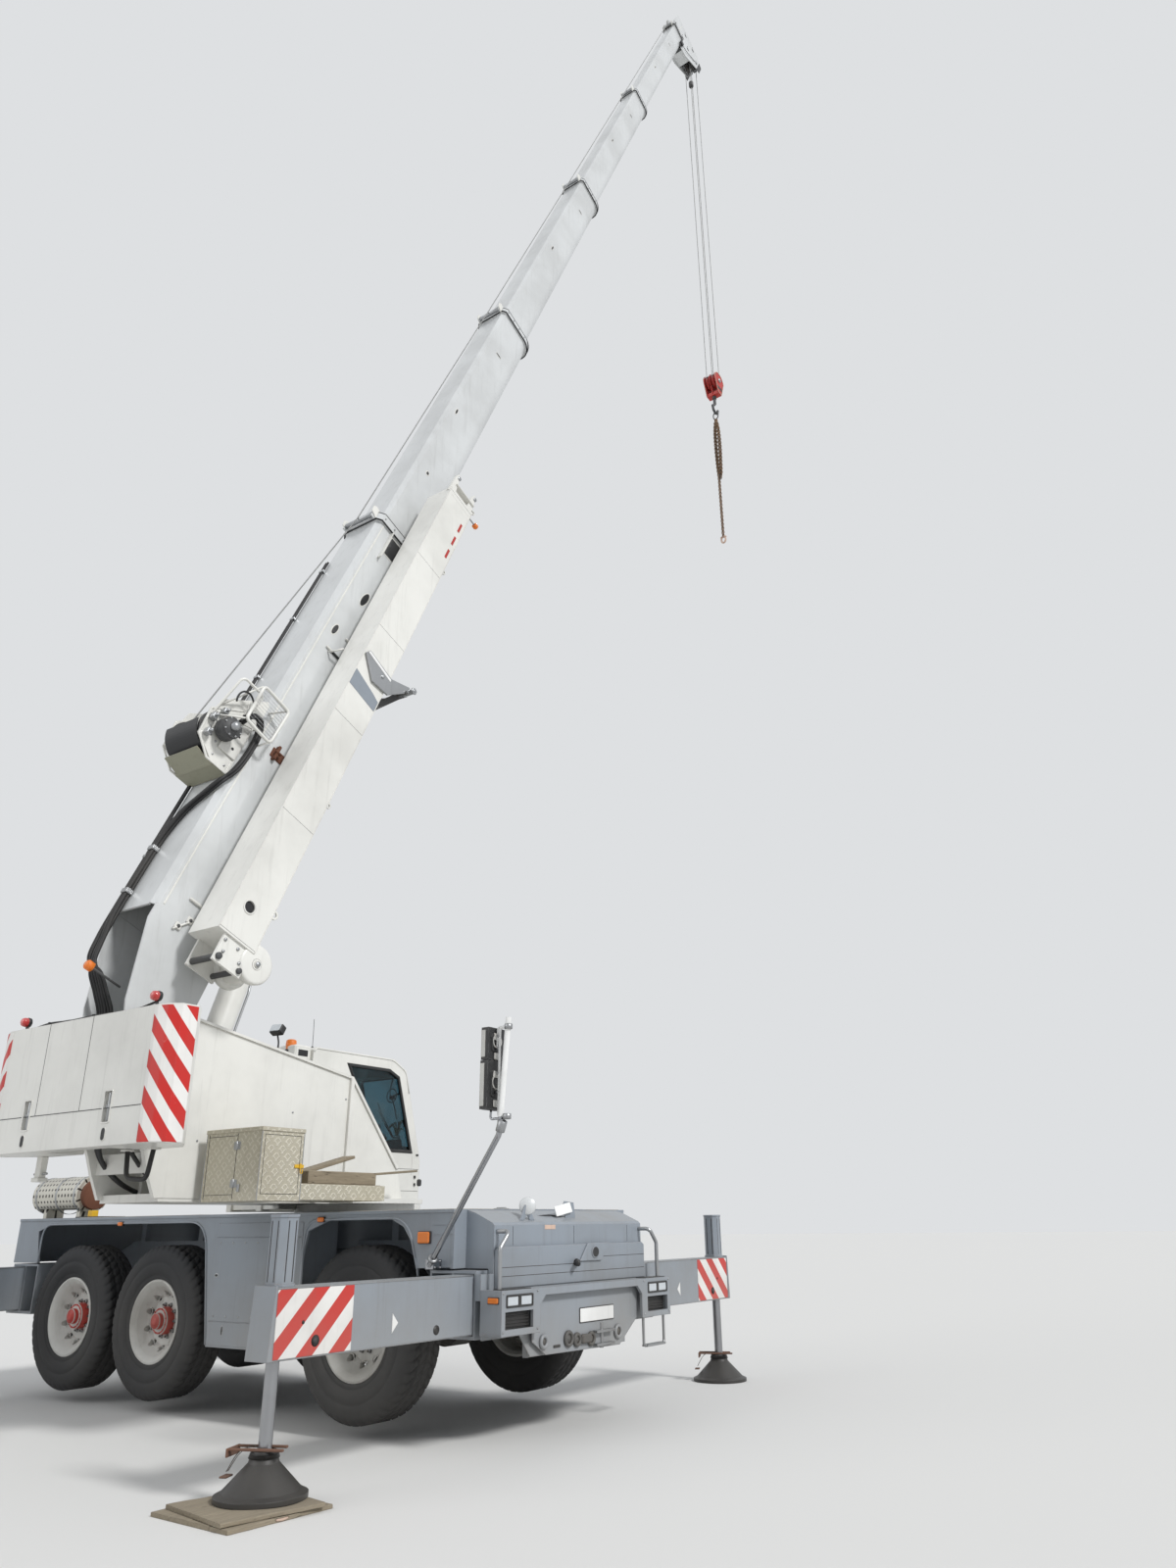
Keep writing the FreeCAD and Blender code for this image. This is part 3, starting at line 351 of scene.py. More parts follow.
    def band(self, outline: Sequence[Vec], width: float, lo: float, hi: float, axis: int = 2) -> "Shape":
        """Adds a flat ring between an outline and the same outline drawn in, such as a window's frame.

        Args:
            outline: outer points in the two other axes, in cyclic order after the axis.
            width: width of the ring.
            lo, hi: ends along the axis, in either order.
            axis: 0, 1 or 2.
        Returns:
            The shape itself.
        """
        o, (lo, hi) = anticlockwise(outline), sorted((lo, hi))
        inner = inset_outline(o, width)
        rings = [lifted(p, axis, h) for p, h in ((o, lo), (o, hi), (inner, hi), (inner, lo))]
        return self.grid(np.array(rings).swapaxes(0, 1), wrap_u=True, wrap_v=True, smooth=False)

    def block(self, lo: Vec, hi: Vec, bevel: float = 0.003) -> "Shape":
        """Adds a block with chamfered edges.

        Args:
            lo, hi: opposite corners.
            bevel: chamfer width.
        Returns:
            The shape itself.
        """
        (x0, y0, z0), (x1, y1, z1) = np.minimum(lo, hi), np.maximum(lo, hi)
        b = min(bevel, 0.45 * min(x1 - x0, y1 - y0, z1 - z0))
        o = [(x0 + b, y0), (x1 - b, y0), (x1, y0 + b), (x1, y1 - b), (x1 - b, y1), (x0 + b, y1), (x0, y1 - b),
             (x0, y0 + b)]
        return self.slab(o, z0, z1, 2, b)

    def nut(self, centre: Vec, axis: Vec, r: float, h: float) -> "Shape":
        """Adds a six-sided nut or bolt head with a domed top.

        Args:
            centre: middle of its seat.
            axis: outward direction.
            r, h: radius over corners and height.
        Returns:
            The shape itself.
        """
        return self.lathe([(r, 0.0), (r, 0.75 * h), (0.8 * r, h), (0.45 * r, h), (0.4 * r, 1.25 * h), (0.001, 1.3 * h)],
                          centre, axis, 6, smooth=False)

    def bolts(self, centre: Vec, axis: Vec, ring: float, count: int, r: float, h: float, first: float = 0.0) -> "Shape":
        """Adds equally spaced nuts on a circle.

        Args:
            centre: the circle's middle.
            axis: outward direction, along y or z.
            ring: the circle's radius.
            count: number of nuts.
            r, h: radius over corners and height of each nut.
            first: angle of the first nut from x, in degrees.
        Returns:
            The shape itself.
        """
        across = 1 if axis[2] else 2
        for c, s in spokes(count, first):
            place = list(centre)
            place[0] += ring * c
            place[across] += ring * s
            self.nut(place, axis, r, h)
        return self

    def done(self, materials: Sequence[bpy.types.Material], body: str, replaces: Sequence[str] = (),
             slot: str = "") -> bpy.types.Object:
        """Makes the object, gives it its materials and lets it ride on a body.

        Args:
            materials: one for each slot used.
            body: name of the body that carries it.
            replaces: nodes that it stands for.
            slot: not used.
        Returns:
            The new object.
        """
        mesh = bpy.data.meshes.new(self.name)
        mesh.from_pydata(np.concatenate(self.verts), [], self.faces)
        mesh.polygons.foreach_set("use_smooth", self.flat)
        mesh.polygons.foreach_set("material_index", self.slots)
        for m in materials:
            mesh.materials.append(m)
        mesh.validate()
        mesh.update()
        obj = bpy.data.objects.new(self.name, mesh)
        bpy.context.scene.collection.objects.link(obj)
        if body:
            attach(obj, body)
        if replaces:
            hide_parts(*replaces)
        return obj


def unit(vector: Vec) -> np.ndarray:
    """Vector of length 1 in the same direction."""
    v = np.asarray(vector, float)
    return v / np.linalg.norm(v)


def spokes(count: int, first: float = 0.0) -> list[tuple[float, float]]:
    """Cosine and sine of equally spaced angles, for what sits on a circle.

    Args:
        count: number of angles in a full turn.
        first: first angle in degrees.
    Returns:
        One pair for each angle.
    """
    return [(math.cos(a), math.sin(a)) for a in np.radians(np.arange(count) * 360.0 / count + first)]


def hoop(centre: Vec, u: Vec, w: Vec, steps: int) -> np.ndarray:
    """Closed ellipse in space: centre + u cos + w sin.

    Args:
        centre: its middle.
        u, w: half axes.
        steps: number of points.
    Returns:
        The points.
    """
    a = np.linspace(0, TURN, steps, endpoint=False)[:, None]
    return np.asarray(centre, float) + np.cos(a) * np.asarray(u, float) + np.sin(a) * np.asarray(w, float)


def lifted(points: np.ndarray, axis: int, height: float) -> np.ndarray:
    """Puts flat points at a height along an axis.

    Args:
        points: n x 2 points in the two other axes, in cyclic order after the axis.
        axis: 0, 1 or 2.
        height: place along the axis.
    Returns:
        n x 3 points.
    """
    v = np.zeros((len(points), 3))
    v[:, (axis + 1) % 3], v[:, (axis + 2) % 3], v[:, axis] = points[:, 0], points[:, 1], height
    return v


def anticlockwise(outline: Sequence[Vec]) -> np.ndarray:
    """Outline as an array, turned round where its signed area is not positive.

    Args:
        outline: n x 2 points.
    Returns:
        The points.
    """
    o = np.asarray(outline, float)
    x, y = o.T
    return o if np.sum(x * np.roll(y, -1) - np.roll(x, -1) * y) > 0 else o[::-1]


def upright(points: Sequence[Vec]) -> list[tuple[float, float]]:
    """Turns (along, up) points into the (up, along) order that a slab or band across y takes."""
    return [(up, along) for along, up in points]


def frame_of(axis: Vec) -> tuple[np.ndarray, np.ndarray, np.ndarray]:
    """Unit vector along an axis and two across it.

    Args:
        axis: direction.
    Returns:
        The axis, and two unit vectors square to it and to each other.
    """
    n = unit(axis)
    u = unit(np.cross(UP if abs(n[2]) < 0.9 else AHEAD, n))
    return n, u, np.cross(n, u)


def inset_outline(outline: np.ndarray, inset: float) -> np.ndarray:
    """Draws a closed outline in by a distance: each corner moves along the sum of its two edge normals.

    Args:
        outline: n x 2 points, counter-clockwise.
        inset: distance in metres.
    Returns:
        The drawn-in points.
    """
    if not inset:
        return outline
    a = outline - np.roll(outline, 1, 0)
    b = np.roll(outline, -1, 0) - outline
    a, b = (v / np.maximum(np.linalg.norm(v, axis=1, keepdims=True), 1e-9) for v in (a, b))
    na, nb = np.stack([-a[:, 1], a[:, 0]], 1), np.stack([-b[:, 1], b[:, 0]], 1)
    mid = (na + nb) / np.maximum(1.0 + np.sum(na * nb, 1, keepdims=True), 0.3)
    return outline + inset * mid


def smooth_path(points: Sequence[Vec], per: int = 8) -> np.ndarray:
    """Catmull-Rom curve through points, for hoses and bent bars that are part of the machine.

    Args:
        points: points to pass through.
        per: samples for each run.
    Returns:
        Sampled points.
    """
    p = np.asarray(points, float)
    p = np.concatenate([2 * p[:1] - p[1:2], p, 2 * p[-1:] - p[-2:-1]])
    t = np.linspace(0, 1, per, endpoint=False)[:, None]
    out = [0.5 * (2 * b + (c - a) * t + (2 * a - 5 * b + 4 * c - d) * t**2 + (3 * b - a - 3 * c + d) * t**3)
           for a, b, c, d in zip(p[:-3], p[1:-2], p[2:-1], p[3:])]
    return np.concatenate(out + [p[-2:-1]])


def bent_path(points: Sequence[Vec], radius: float, per: int = 5) -> np.ndarray:
    """Straight runs with rounded corners, for bars bent on a former: each corner is a quadratic arc.

    Args:
        points: corner points.
        radius: distance from each corner at which the arc begins.
        per: samples for each arc.
    Returns:
        Sampled points.
    """
    p = np.asarray(points, float)
    out = [p[:1]]
    t = np.linspace(0, 1, per)[:, None]
    for a, b, c in zip(p[:-2], p[1:-1], p[2:]):
        u, w = unit(a - b), unit(c - b)
        r = min(radius, 0.45 * np.linalg.norm(a - b), 0.45 * np.linalg.norm(c - b))
        s, e = b + u * r, b + w * r
        out.append((1 - t) ** 2 * s + 2 * t * (1 - t) * b + t**2 * e)
    return np.concatenate(out + [p[-1:]])


def oval(cx: float, cy: float, rx: float, ry: float, steps: int = 20,
         degrees: float = 0.0) -> list[tuple[float, float]]:
    """Points of an ellipse, or of a circle where both radii are the same.

    Args:
        cx, cy: centre.
        rx, ry: radii.
        steps: number of points.
        degrees: turn of the ellipse in its plane.
    Returns:
        The points.
    """
    a = np.linspace(0, TURN, steps, endpoint=False)
    c, s = math.cos(math.radians(degrees)), math.sin(math.radians(degrees))
    x, y = rx * np.cos(a), ry * np.sin(a)
    return list(zip(cx + x * c - y * s, cy + x * s + y * c))


def rounded(x0: float, x1: float, y0: float, y1: float, r: float, per: int = 4) -> list[tuple[float, float]]:
    """Rectangle with round corners.

    Args:
        x0, x1, y0, y1: sides.
        r: corner radius.
        per: divisions of each corner.
    Returns:
        The points, counter-clockwise.
    """
    pts = []
    for k, (cx, cy) in enumerate(((x1 - r, y0 + r), (x1 - r, y1 - r), (x0 + r, y1 - r), (x0 + r, y0 + r))):
        for a in np.linspace(-90 + 90 * k, 90 * k, per + 1):
            pts.append((cx + r * math.cos(math.radians(a)), cy + r * math.sin(math.radians(a))))
    return pts


class Graph:
    """Short calls for building one node tree."""

    def __init__(self, tree: bpy.types.NodeTree) -> None:
        """Wraps a tree.

        Args:
            tree: node tree of a material or a group.
        """
        self.tree = tree

    def node(self, kind: str, inputs: Optional[dict] = None, **props: object) -> bpy.types.Node:
        """Adds a node.

        Args:
            kind: node type without the ShaderNode prefix.
            inputs: what feed takes.
            props: properties of the node.
        Returns:
            The node.
        """
        node = self.tree.nodes.new(kind if kind.startswith("Node") else "ShaderNode" + kind)
        for key, value in props.items():
            setattr(node, key, value)
        return self.feed(node, inputs or {})

    def feed(self, node: bpy.types.Node, inputs: dict) -> bpy.types.Node:
        """Links sockets to a node and sets constants on its own sockets.

        Args:
            node: the node.
            inputs: socket name or index to a number, colour or another node's socket.
        Returns:
            The node.
        """
        for key, value in inputs.items():
            if isinstance(value, bpy.types.NodeSocket):
                self.tree.links.new(value, node.inputs[key])
            else:
                node.inputs[key].default_value = value
        return node

    def coords(self) -> bpy.types.NodeSocket:
        """Object coordinates, in metres."""
        return self.node("TexCoord").outputs["Object"]

    def math(self, op: str, a: object, b: object = 0.0, clamp: bool = False) -> bpy.types.NodeSocket:
        """Adds a math node and returns its output.

        Args:
            op: operation.
            a, b: numbers or sockets.
            clamp: True to keep the result between 0 and 1.
        Returns:
            The result socket.
        """
        return self.node("Math", {0: a, 1: b}, operation=op, use_clamp=clamp).outputs[0]

    def times(self, a: object, b: object) -> bpy.types.NodeSocket:
        """Product of two numbers or sockets."""
        return self.math("MULTIPLY", a, b)

    def plus(self, a: object, b: object, clamp: bool = False) -> bpy.types.NodeSocket:
        """Sum of two numbers or sockets, kept between 0 and 1 where clamp is True."""
        return self.math("ADD", a, b, clamp)

    def fract(self, a: object) -> bpy.types.NodeSocket:
        """Fractional part of a socket, from 0 to 1."""
        return self.math("FRACT", a)

    def dot(self, a: object, b: object) -> bpy.types.NodeSocket:
        """Dot product of two vectors or sockets."""
        return self.node("VectorMath", {0: a, 1: b}, operation="DOT_PRODUCT").outputs["Value"]

    def mix(self, fac: object, a: object, b: object) -> bpy.types.NodeSocket:
        """Blends two colours.

        Args:
            fac: share of b.
            a, b: colours or colour sockets.
        Returns:
            The blended colour.
        """
        return self.node("Mix", {0: fac, 6: a, 7: b}, data_type="RGBA").outputs[2]

    def noise(self, coords: bpy.types.NodeSocket, scale: float, detail: float = 4.0,
              rough: float = 0.55) -> bpy.types.NodeSocket:
        """Noise between 0 and 1.

        Args:
            coords: coordinates.
            scale: features per metre.
            detail, rough: octaves and their share.
        Returns:
            The value socket.
        """
        inputs = {"Vector": coords, "Scale": scale, "Detail": detail, "Roughness": rough}
        return self.node("TexNoise", inputs).outputs[0]

    def wave(self, coords: bpy.types.NodeSocket, scale: float, distortion: float, direction: str,
             output: str = "Fac") -> bpy.types.NodeSocket:
        """Sine bands between 0 and 1.

        Args:
            coords: coordinates.
            scale: bands per unit.
            distortion: how far they waver.
            direction: X, Y, Z or DIAGONAL.
            output: Fac or Color.
        Returns:
            The output socket.
        """
        inputs = {"Vector": coords, "Scale": scale, "Distortion": distortion}
        return self.node("TexWave", inputs, bands_direction=direction).outputs[output]

    def step(self, value: object, lo: float, hi: float) -> bpy.types.NodeSocket:
        """Smooth ramp from 0 at lo to 1 at hi.

        Args:
            value: input socket.
            lo, hi: ends of the ramp, in either order.
        Returns:
            The value socket.
        """
        inputs = {0: value, 1: lo, 2: hi, 3: 0.0, 4: 1.0}
        return self.node("MapRange", inputs, interpolation_type="SMOOTHSTEP").outputs[0]

    def bump(self, height: object, strength: float, distance: float,
             normal: Optional[bpy.types.NodeSocket] = None) -> bpy.types.NodeSocket:
        """Normal of a relief.

        Args:
            height: relief between 0 and 1.
            strength: share of the effect.
            distance: depth in metres.
            normal: normal that it builds on.
        Returns:
            The normal socket.
        """
        inputs = {"Height": height, "Strength": strength, "Distance": distance}
        return self.node("Bump", inputs if normal is None else {**inputs, "Normal": normal}).outputs[0]


def new_group(name: str, inputs: dict, outputs: dict) -> tuple[bpy.types.NodeTree, Graph, bpy.types.Node]:
    """Starts a node group.

    Args:
        name: its name.
        inputs, outputs: socket name to kind, Float or Vector.
    Returns:
        The group, its graph and its input node.
    """
    tree = bpy.data.node_groups.new(name, "ShaderNodeTree")
    for in_out, sockets in (("INPUT", inputs), ("OUTPUT", outputs)):
        for label, kind in sockets.items():
            tree.interface.new_socket(label, in_out=in_out, socket_type="NodeSocket" + kind)
    g = Graph(tree)
    return tree, g, g.node("NodeGroupInput")


@cache
def weather_group() -> bpy.types.NodeTree:
    """Shared surface effects: large blotches, streaks that run down, edge mask, upward mask, chips and soft normal.

    Returns:
        The group, with an input for the edge radius.
    """
    masks = dict.fromkeys(("Blotch", "Streak", "Edge", "Up", "Low", "Chips"), "Float")
    tree, g, given = new_group("weather", {"Edge radius": "Float"}, {**masks, "Normal": "Vector"})
    coords = g.coords()
    flat = g.node("NewGeometry").outputs["Normal"]
    narrow = g.node("Mapping", {0: coords, 3: (9.0, 9.0, 0.7)}).outputs[0]
    round_edge = g.node("Bevel", {"Radius": given.outputs[0]}, samples=4).outputs[0]
    sharp = g.step(g.dot(round_edge, flat), 0.985, 0.90)
    broken = g.step(g.noise(coords, 14.0, 5.0, 0.7), 0.40, 0.62)
    up = g.node("SeparateXYZ", {0: flat}).outputs[2]
    low = g.node("SeparateXYZ", {0: coords}).outputs[2]
    g.node("NodeGroupOutput", {
        "Blotch": g.noise(coords, 0.9, 5.0, 0.6),
        "Streak": g.step(g.noise(narrow, 1.6, 4.0, 0.65), 0.52, 0.75),
        "Edge": g.times(sharp, broken),
        "Up": g.step(up, 0.55, 0.95),
        "Low": g.step(low, 1.7, 0.5),
        "Chips": g.step(g.noise(coords, 5.5, 8.0, 0.72), 0.66, 0.70),
        "Normal": round_edge,
    })
    return tree


@cache
def box_group() -> bpy.types.NodeTree:
    """Mask of a box: 1 where the object coordinates lie between two corners on all three axes, else 0.

    Returns:
        The group.
    """
    tree, g, given = new_group("inside_box", {"Low": "Vector", "High": "Vector"}, {"Mask": "Float"})
    coords = g.coords()
    total: object = 1.0
    for k, op in ((0, "GREATER_THAN"), (1, "LESS_THAN")):
        here, edge = (g.node("SeparateXYZ", {0: v}).outputs for v in (coords, given.outputs[k]))
        for i in range(3):
            total = g.times(total, g.math(op, here[i], edge[i]))
    g.node("NodeGroupOutput", {"Mask": total})
    return tree


@dataclass(frozen=True)
class Paint:
    """One painted or coated finish."""

    colour: tuple
    dirt: tuple = srgb(96, 92, 84)
    wear: tuple = srgb(120, 84, 62)
    rough: float = 0.42
    metallic: float = 0.0
    coat: float = 0.0
    grime: float = 0.35
    streaks: float = 0.25
    edges: float = 0.35
    chips: float = 0.0
    dust: float = 0.25
    bump: float = 0.04
    grain: float = 220.0


class Style(Enum):
    """Finishes of the crane."""

    CREAM = Paint(srgb(226, 225, 219), grime=0.22, streaks=0.22, edges=0.25, dust=0.3, rough=0.36, coat=0.25)
    GREY = Paint(srgb(137, 145, 154), grime=0.35, streaks=0.3, edges=0.4, dust=0.45, rough=0.45, coat=0.1)
    DECK = Paint(srgb(150, 156, 160), dirt=srgb(92, 88, 80), grime=0.6, streaks=0.2, edges=0.5, chips=0.5, dust=0.5,
                 rough=0.62, bump=0.12)
    RIM = Paint(srgb(205, 205, 200), dirt=srgb(88, 80, 70), grime=0.55, streaks=0.35, edges=0.5, chips=0.25, rough=0.45)
    RED = Paint(srgb(186, 38, 30), dirt=srgb(80, 46, 38), grime=0.4, edges=0.5, chips=0.2, rough=0.42)
    BLACK = Paint(srgb(26, 27, 30), dirt=srgb(62, 60, 56), wear=srgb(92, 92, 94), grime=0.3, streaks=0.2, edges=0.35,
                  rough=0.45, dust=0.12)
    # Greyer, bluer white than the cream: partly the boom's own paint, partly painted shade for the boom's shaded sides.
    BOOM = Paint(srgb(206, 208, 208), grime=0.22, streaks=0.22, edges=0.25, dust=0.3, rough=0.36, coat=0.25)
    CHAIN = Paint(srgb(112, 88, 66), dirt=srgb(66, 52, 42), wear=srgb(160, 140, 118), metallic=0.5, grime=0.5,
                  rough=0.5, dust=0.1)
    DARK = Paint(srgb(72, 73, 74), dirt=srgb(60, 54, 46), grime=0.5, edges=0.4, chips=0.3, rough=0.6, bump=0.12)
    STEEL = Paint(srgb(168, 170, 172), dirt=srgb(90, 84, 76), wear=srgb(210, 210, 210), metallic=0.9, grime=0.35,
                  rough=0.38, dust=0.15)
    CHROME = Paint(srgb(168, 170, 174), dirt=srgb(100, 94, 86), wear=srgb(206, 206, 208), metallic=1.0, grime=0.22,
                   rough=0.16, dust=0.05, bump=0.01)
    RUST = Paint(srgb(110, 70, 52), dirt=srgb(70, 44, 34), wear=srgb(158, 98, 60), metallic=0.1, grime=0.8, rough=0.85,
                 bump=0.4, grain=90.0)
    RUBBER = Paint(srgb(30, 32, 36), dirt=srgb(62, 62, 62), wear=srgb(66, 66, 68), grime=0.35, streaks=0.0, edges=0.4,
                   rough=0.78, dust=0.12, bump=0.25)
    HOSE = Paint(srgb(26, 26, 28), dirt=srgb(80, 76, 70), wear=srgb(70, 70, 70), grime=0.3, streaks=0.0, edges=0.0,
                 rough=0.6)
    PLASTIC = Paint(srgb(30, 31, 33), dirt=srgb(82, 79, 74), wear=srgb(62, 62, 62), grime=0.3, streaks=0.1, edges=0.2,
                    rough=0.48, bump=0.15)
    YELLOW = Paint(srgb(222, 176, 40), dirt=srgb(98, 84, 50), grime=0.35, rough=0.5)
    OLIVE = Paint(srgb(146, 145, 126), dirt=srgb(86, 82, 66), grime=0.45, rough=0.5)
    PATCH = Paint(srgb(206, 178, 160), dirt=srgb(120, 100, 88), grime=0.4, rough=0.6)
    WHITE = Paint(srgb(236, 236, 234), grime=0.2, streaks=0.15, edges=0.15, rough=0.4)


class Lens(Enum):
    """Lamp glasses and other glossy tints: colour and strength of their own light."""

    CLEAR_LENS = (srgb(222, 228, 232), 0.0)
    AMBER_LENS = (srgb(226, 120, 18), 0.15)
    RED_LENS = (srgb(190, 18, 16), 0.1)
    DARK_SCREEN = (srgb(24, 34, 40), 0.0)
    DARK_WINDOW = (srgb(34, 52, 60), 0.0)
    LEAF_GREEN = (srgb(96, 138, 44), 0.0)


class Materials:
    """Makes each material once and hands it out."""

    DUST = srgb(158, 150, 136)
    EDGE_RADIUS = 0.007
    RELIEF = 0.004
    COAT_ROUGH = 0.25
    PLATE_NET = 17.0
    FAR = 500.0

    def start(self, name: str) -> tuple[bpy.types.Material, Graph, bpy.types.Node]:
        """Starts a material.

        Args:
            name: its name.
        Returns:
            The material, its graph and its Principled shader, already linked to the output.
        """
        mat = bpy.data.materials.new(name)
        mat.use_nodes = True
        mat.node_tree.nodes.clear()
        g = Graph(mat.node_tree)
        shader = g.node("BsdfPrincipled")
        g.node("OutputMaterial", {"Surface": shader.outputs[0]})
        return mat, g, shader

    @cache
    def paint(self, style: Style) -> bpy.types.Material:
        """Weathered finish of a style.

        Args:
            style: the finish.
        Returns:
            The material.
        """
        mat, g, shader = self.start(style.name.lower())
        g.feed(shader, self.weathered(g, style.value, style.value.colour))
        return mat

    def weathered(self, g: Graph, p: Paint, base: object) -> dict:
        """Lays blotches, streaks, dust, edge wear and chips over a base colour.

        Args:
            g: graph of the material.
            p: finish.
            base: colour or colour socket.
        Returns:
            What the shader takes: colour, roughness and normal sockets and the constants of the finish.
        """
        o = g.node("Group", {0: self.EDGE_RADIUS}, node_tree=weather_group()).outputs
        colour = g.mix(g.times(g.step(o["Blotch"], 0.35, 0.75), p.grime), base, p.dirt)
        colour = g.mix(g.times(o["Streak"], p.streaks * 0.6), colour, p.dirt)
        dust = g.times(g.math("MAXIMUM", o["Up"], o["Low"]), g.times(o["Blotch"], p.dust * 1.2))
        colour = g.mix(dust, colour, self.DUST)
        if p.chips:
            colour = g.mix(g.times(o["Chips"], p.chips), colour, p.wear)
        colour = g.mix(g.times(o["Edge"], p.edges), colour, p.wear)
        fine = g.plus(g.noise(g.coords(), p.grain, 2.0, 0.6), o["Blotch"])
        return {
            "Base Color": colour,
            "Roughness": g.plus(g.times(o["Blotch"], 0.18), p.rough - 0.09, clamp=True),
            "Normal": g.bump(fine, p.bump, self.RELIEF, o["Normal"]),
            "Metallic": p.metallic,
            "Coat Weight": p.coat,
            "Coat Roughness": self.COAT_ROUGH,
        }

    def zoned(self, name: str, base: Style, zones: Sequence[tuple]) -> bpy.types.Material:
        """A base finish with other colours inside boxes, for one solid that carries several finishes.

        Args:
            name: material name.
            base: finish outside all boxes.
            zones: (low corner, high corner, style) of each box in crane coordinates.
        Returns:
            The material.
        """
        mat, g, shader = self.start(name)
        colour: object = base.value.colour
        rough: object = base.value.rough
        metal: object = base.value.metallic
        for lo, hi, style in zones:
            corners = {0: tuple(np.minimum(lo, hi)), 1: tuple(np.maximum(lo, hi))}
            mask = g.node("Group", corners, node_tree=box_group()).outputs[0]
            rest = g.math("SUBTRACT", 1.0, mask)
            colour = g.mix(mask, colour, style.value.colour)
            rough = g.plus(g.times(rest, rough), g.times(mask, style.value.rough))
            metal = g.plus(g.times(rest, metal), g.times(mask, style.value.metallic))
        looks = self.weathered(g, base.value, colour)
        looks["Roughness"] = g.times(g.plus(looks["Roughness"], rough), 0.5)
        looks["Metallic"] = metal
        g.feed(shader, looks)
        return mat

    def stripes(self, name: str, direction: Vec, pitch: float, offset: float) -> bpy.types.Material:
        """Red and white warning bands: the position along a direction, divided by the pitch, is red in its first half.

        Args:
            name: material name.
            direction: direction across the bands in crane coordinates.
            pitch: distance from one red band to the next.
            offset: shift of the pattern in metres.
        Returns:
            The material.
        """
        mat, g, shader = self.start(name)
        place = g.plus(g.dot(g.coords(), tuple(direction)), offset + 100 * pitch)
        phase = g.fract(g.math("DIVIDE", place, pitch))
        red = g.times(g.step(phase, 0.0, 0.012), g.step(phase, 0.512, 0.5))
        base = g.mix(red, srgb(232, 230, 226), srgb(196, 34, 28))
        p = Paint(srgb(230, 230, 230), grime=0.25, streaks=0.2, edges=0.1, rough=0.4, chips=0.12,
                  wear=srgb(200, 190, 180))
        g.feed(shader, self.weathered(g, p, base))
        return mat

    @cache
    def lens(self, lens: Lens) -> bpy.types.Material:
        """Ribbed lamp glass.

        Args:
            lens: its tint and light.
        Returns:
            The material.
        """
        colour, glow = lens.value
        mat, g, shader = self.start(lens.name.lower())
        coords = g.coords()
        spots = g.noise(coords, 40.0)
        shade = tuple(0.55 * c for c in colour[:3]) + (1.0,)
        g.feed(shader, {
            "Base Color": g.mix(g.times(spots, 0.35), colour, shade),
            "Normal": g.bump(g.wave(coords, 60.0, 0.4, "X", "Color"), 0.35, 0.002),
            "Roughness": g.math("MULTIPLY_ADD", spots, 0.12),
            "Transmission Weight": 0.25,
            "Coat Weight": 0.6,
            "Emission Color": colour,
            "Emission Strength": glow,
        })
        return mat

    @cache
    def glass(self) -> bpy.types.Material:
        """Tinted window glass with a little dirt in noise patches.

        Returns:
            The material.
        """
        mat, g, shader = self.start("cab_glass")
        dirt = g.step(g.noise(g.coords(), 3.0, 6.0, 0.7), 0.45, 0.9)
        g.feed(shader, {
            "Base Color": g.mix(g.times(dirt, 0.5), srgb(118, 150, 160), srgb(104, 108, 106)),
            "Roughness": g.times(dirt, 0.35),
            "Transmission Weight": g.math("SUBTRACT", 1.0, g.times(dirt, 0.25)),
            "IOR": 1.1,
            "Coat Weight": 0.5,
        })
        return mat

    @cache
    def chequer(self) -> bpy.types.Material:
        """Aluminium tread plate: short raised bars in two slanted directions on a net, on the faces across each axis.

        Returns:
            The material.
        """
        mat, g, shader = self.start("tread_plate")
        coords = g.coords()
        normal = g.node("NewGeometry").outputs["Normal"]
        unit = np.eye(3)
        height: object = 0.0
        for i, j, across in ((0, 1, 2), (0, 2, 1), (1, 2, 0)):
            facing = g.step(g.math("ABSOLUTE", g.dot(normal, tuple(unit[across]))), 0.7, 0.9)
            for turn in (1.0, -1.0):
                away = self.FAR + 0.25 * turn
                pu, pv = (g.dot(coords, tuple(self.PLATE_NET * (unit[i] + s * turn * unit[j]))) for s in (1, -1))
                fu, fv = (g.math("ABSOLUTE", g.math("SUBTRACT", g.fract(g.plus(v, away)), 0.5))
                          for v in (pu, g.times(pv, 0.5)))
                bar = g.times(g.step(fu, 0.13, 0.07), g.step(fv, 0.31, 0.25))
                height = g.math("MAXIMUM", height, g.times(bar, facing))
        p = Paint(srgb(196, 190, 172), dirt=srgb(126, 114, 92), grime=0.35, streaks=0.25, metallic=0.35, rough=0.42,
                  dust=0.25)
        looks = self.weathered(g, p, g.mix(height, srgb(190, 184, 166), srgb(214, 209, 194)))
        looks["Normal"] = g.bump(height, 0.8, 0.0025, looks["Normal"])
        g.feed(shader, looks)
        return mat

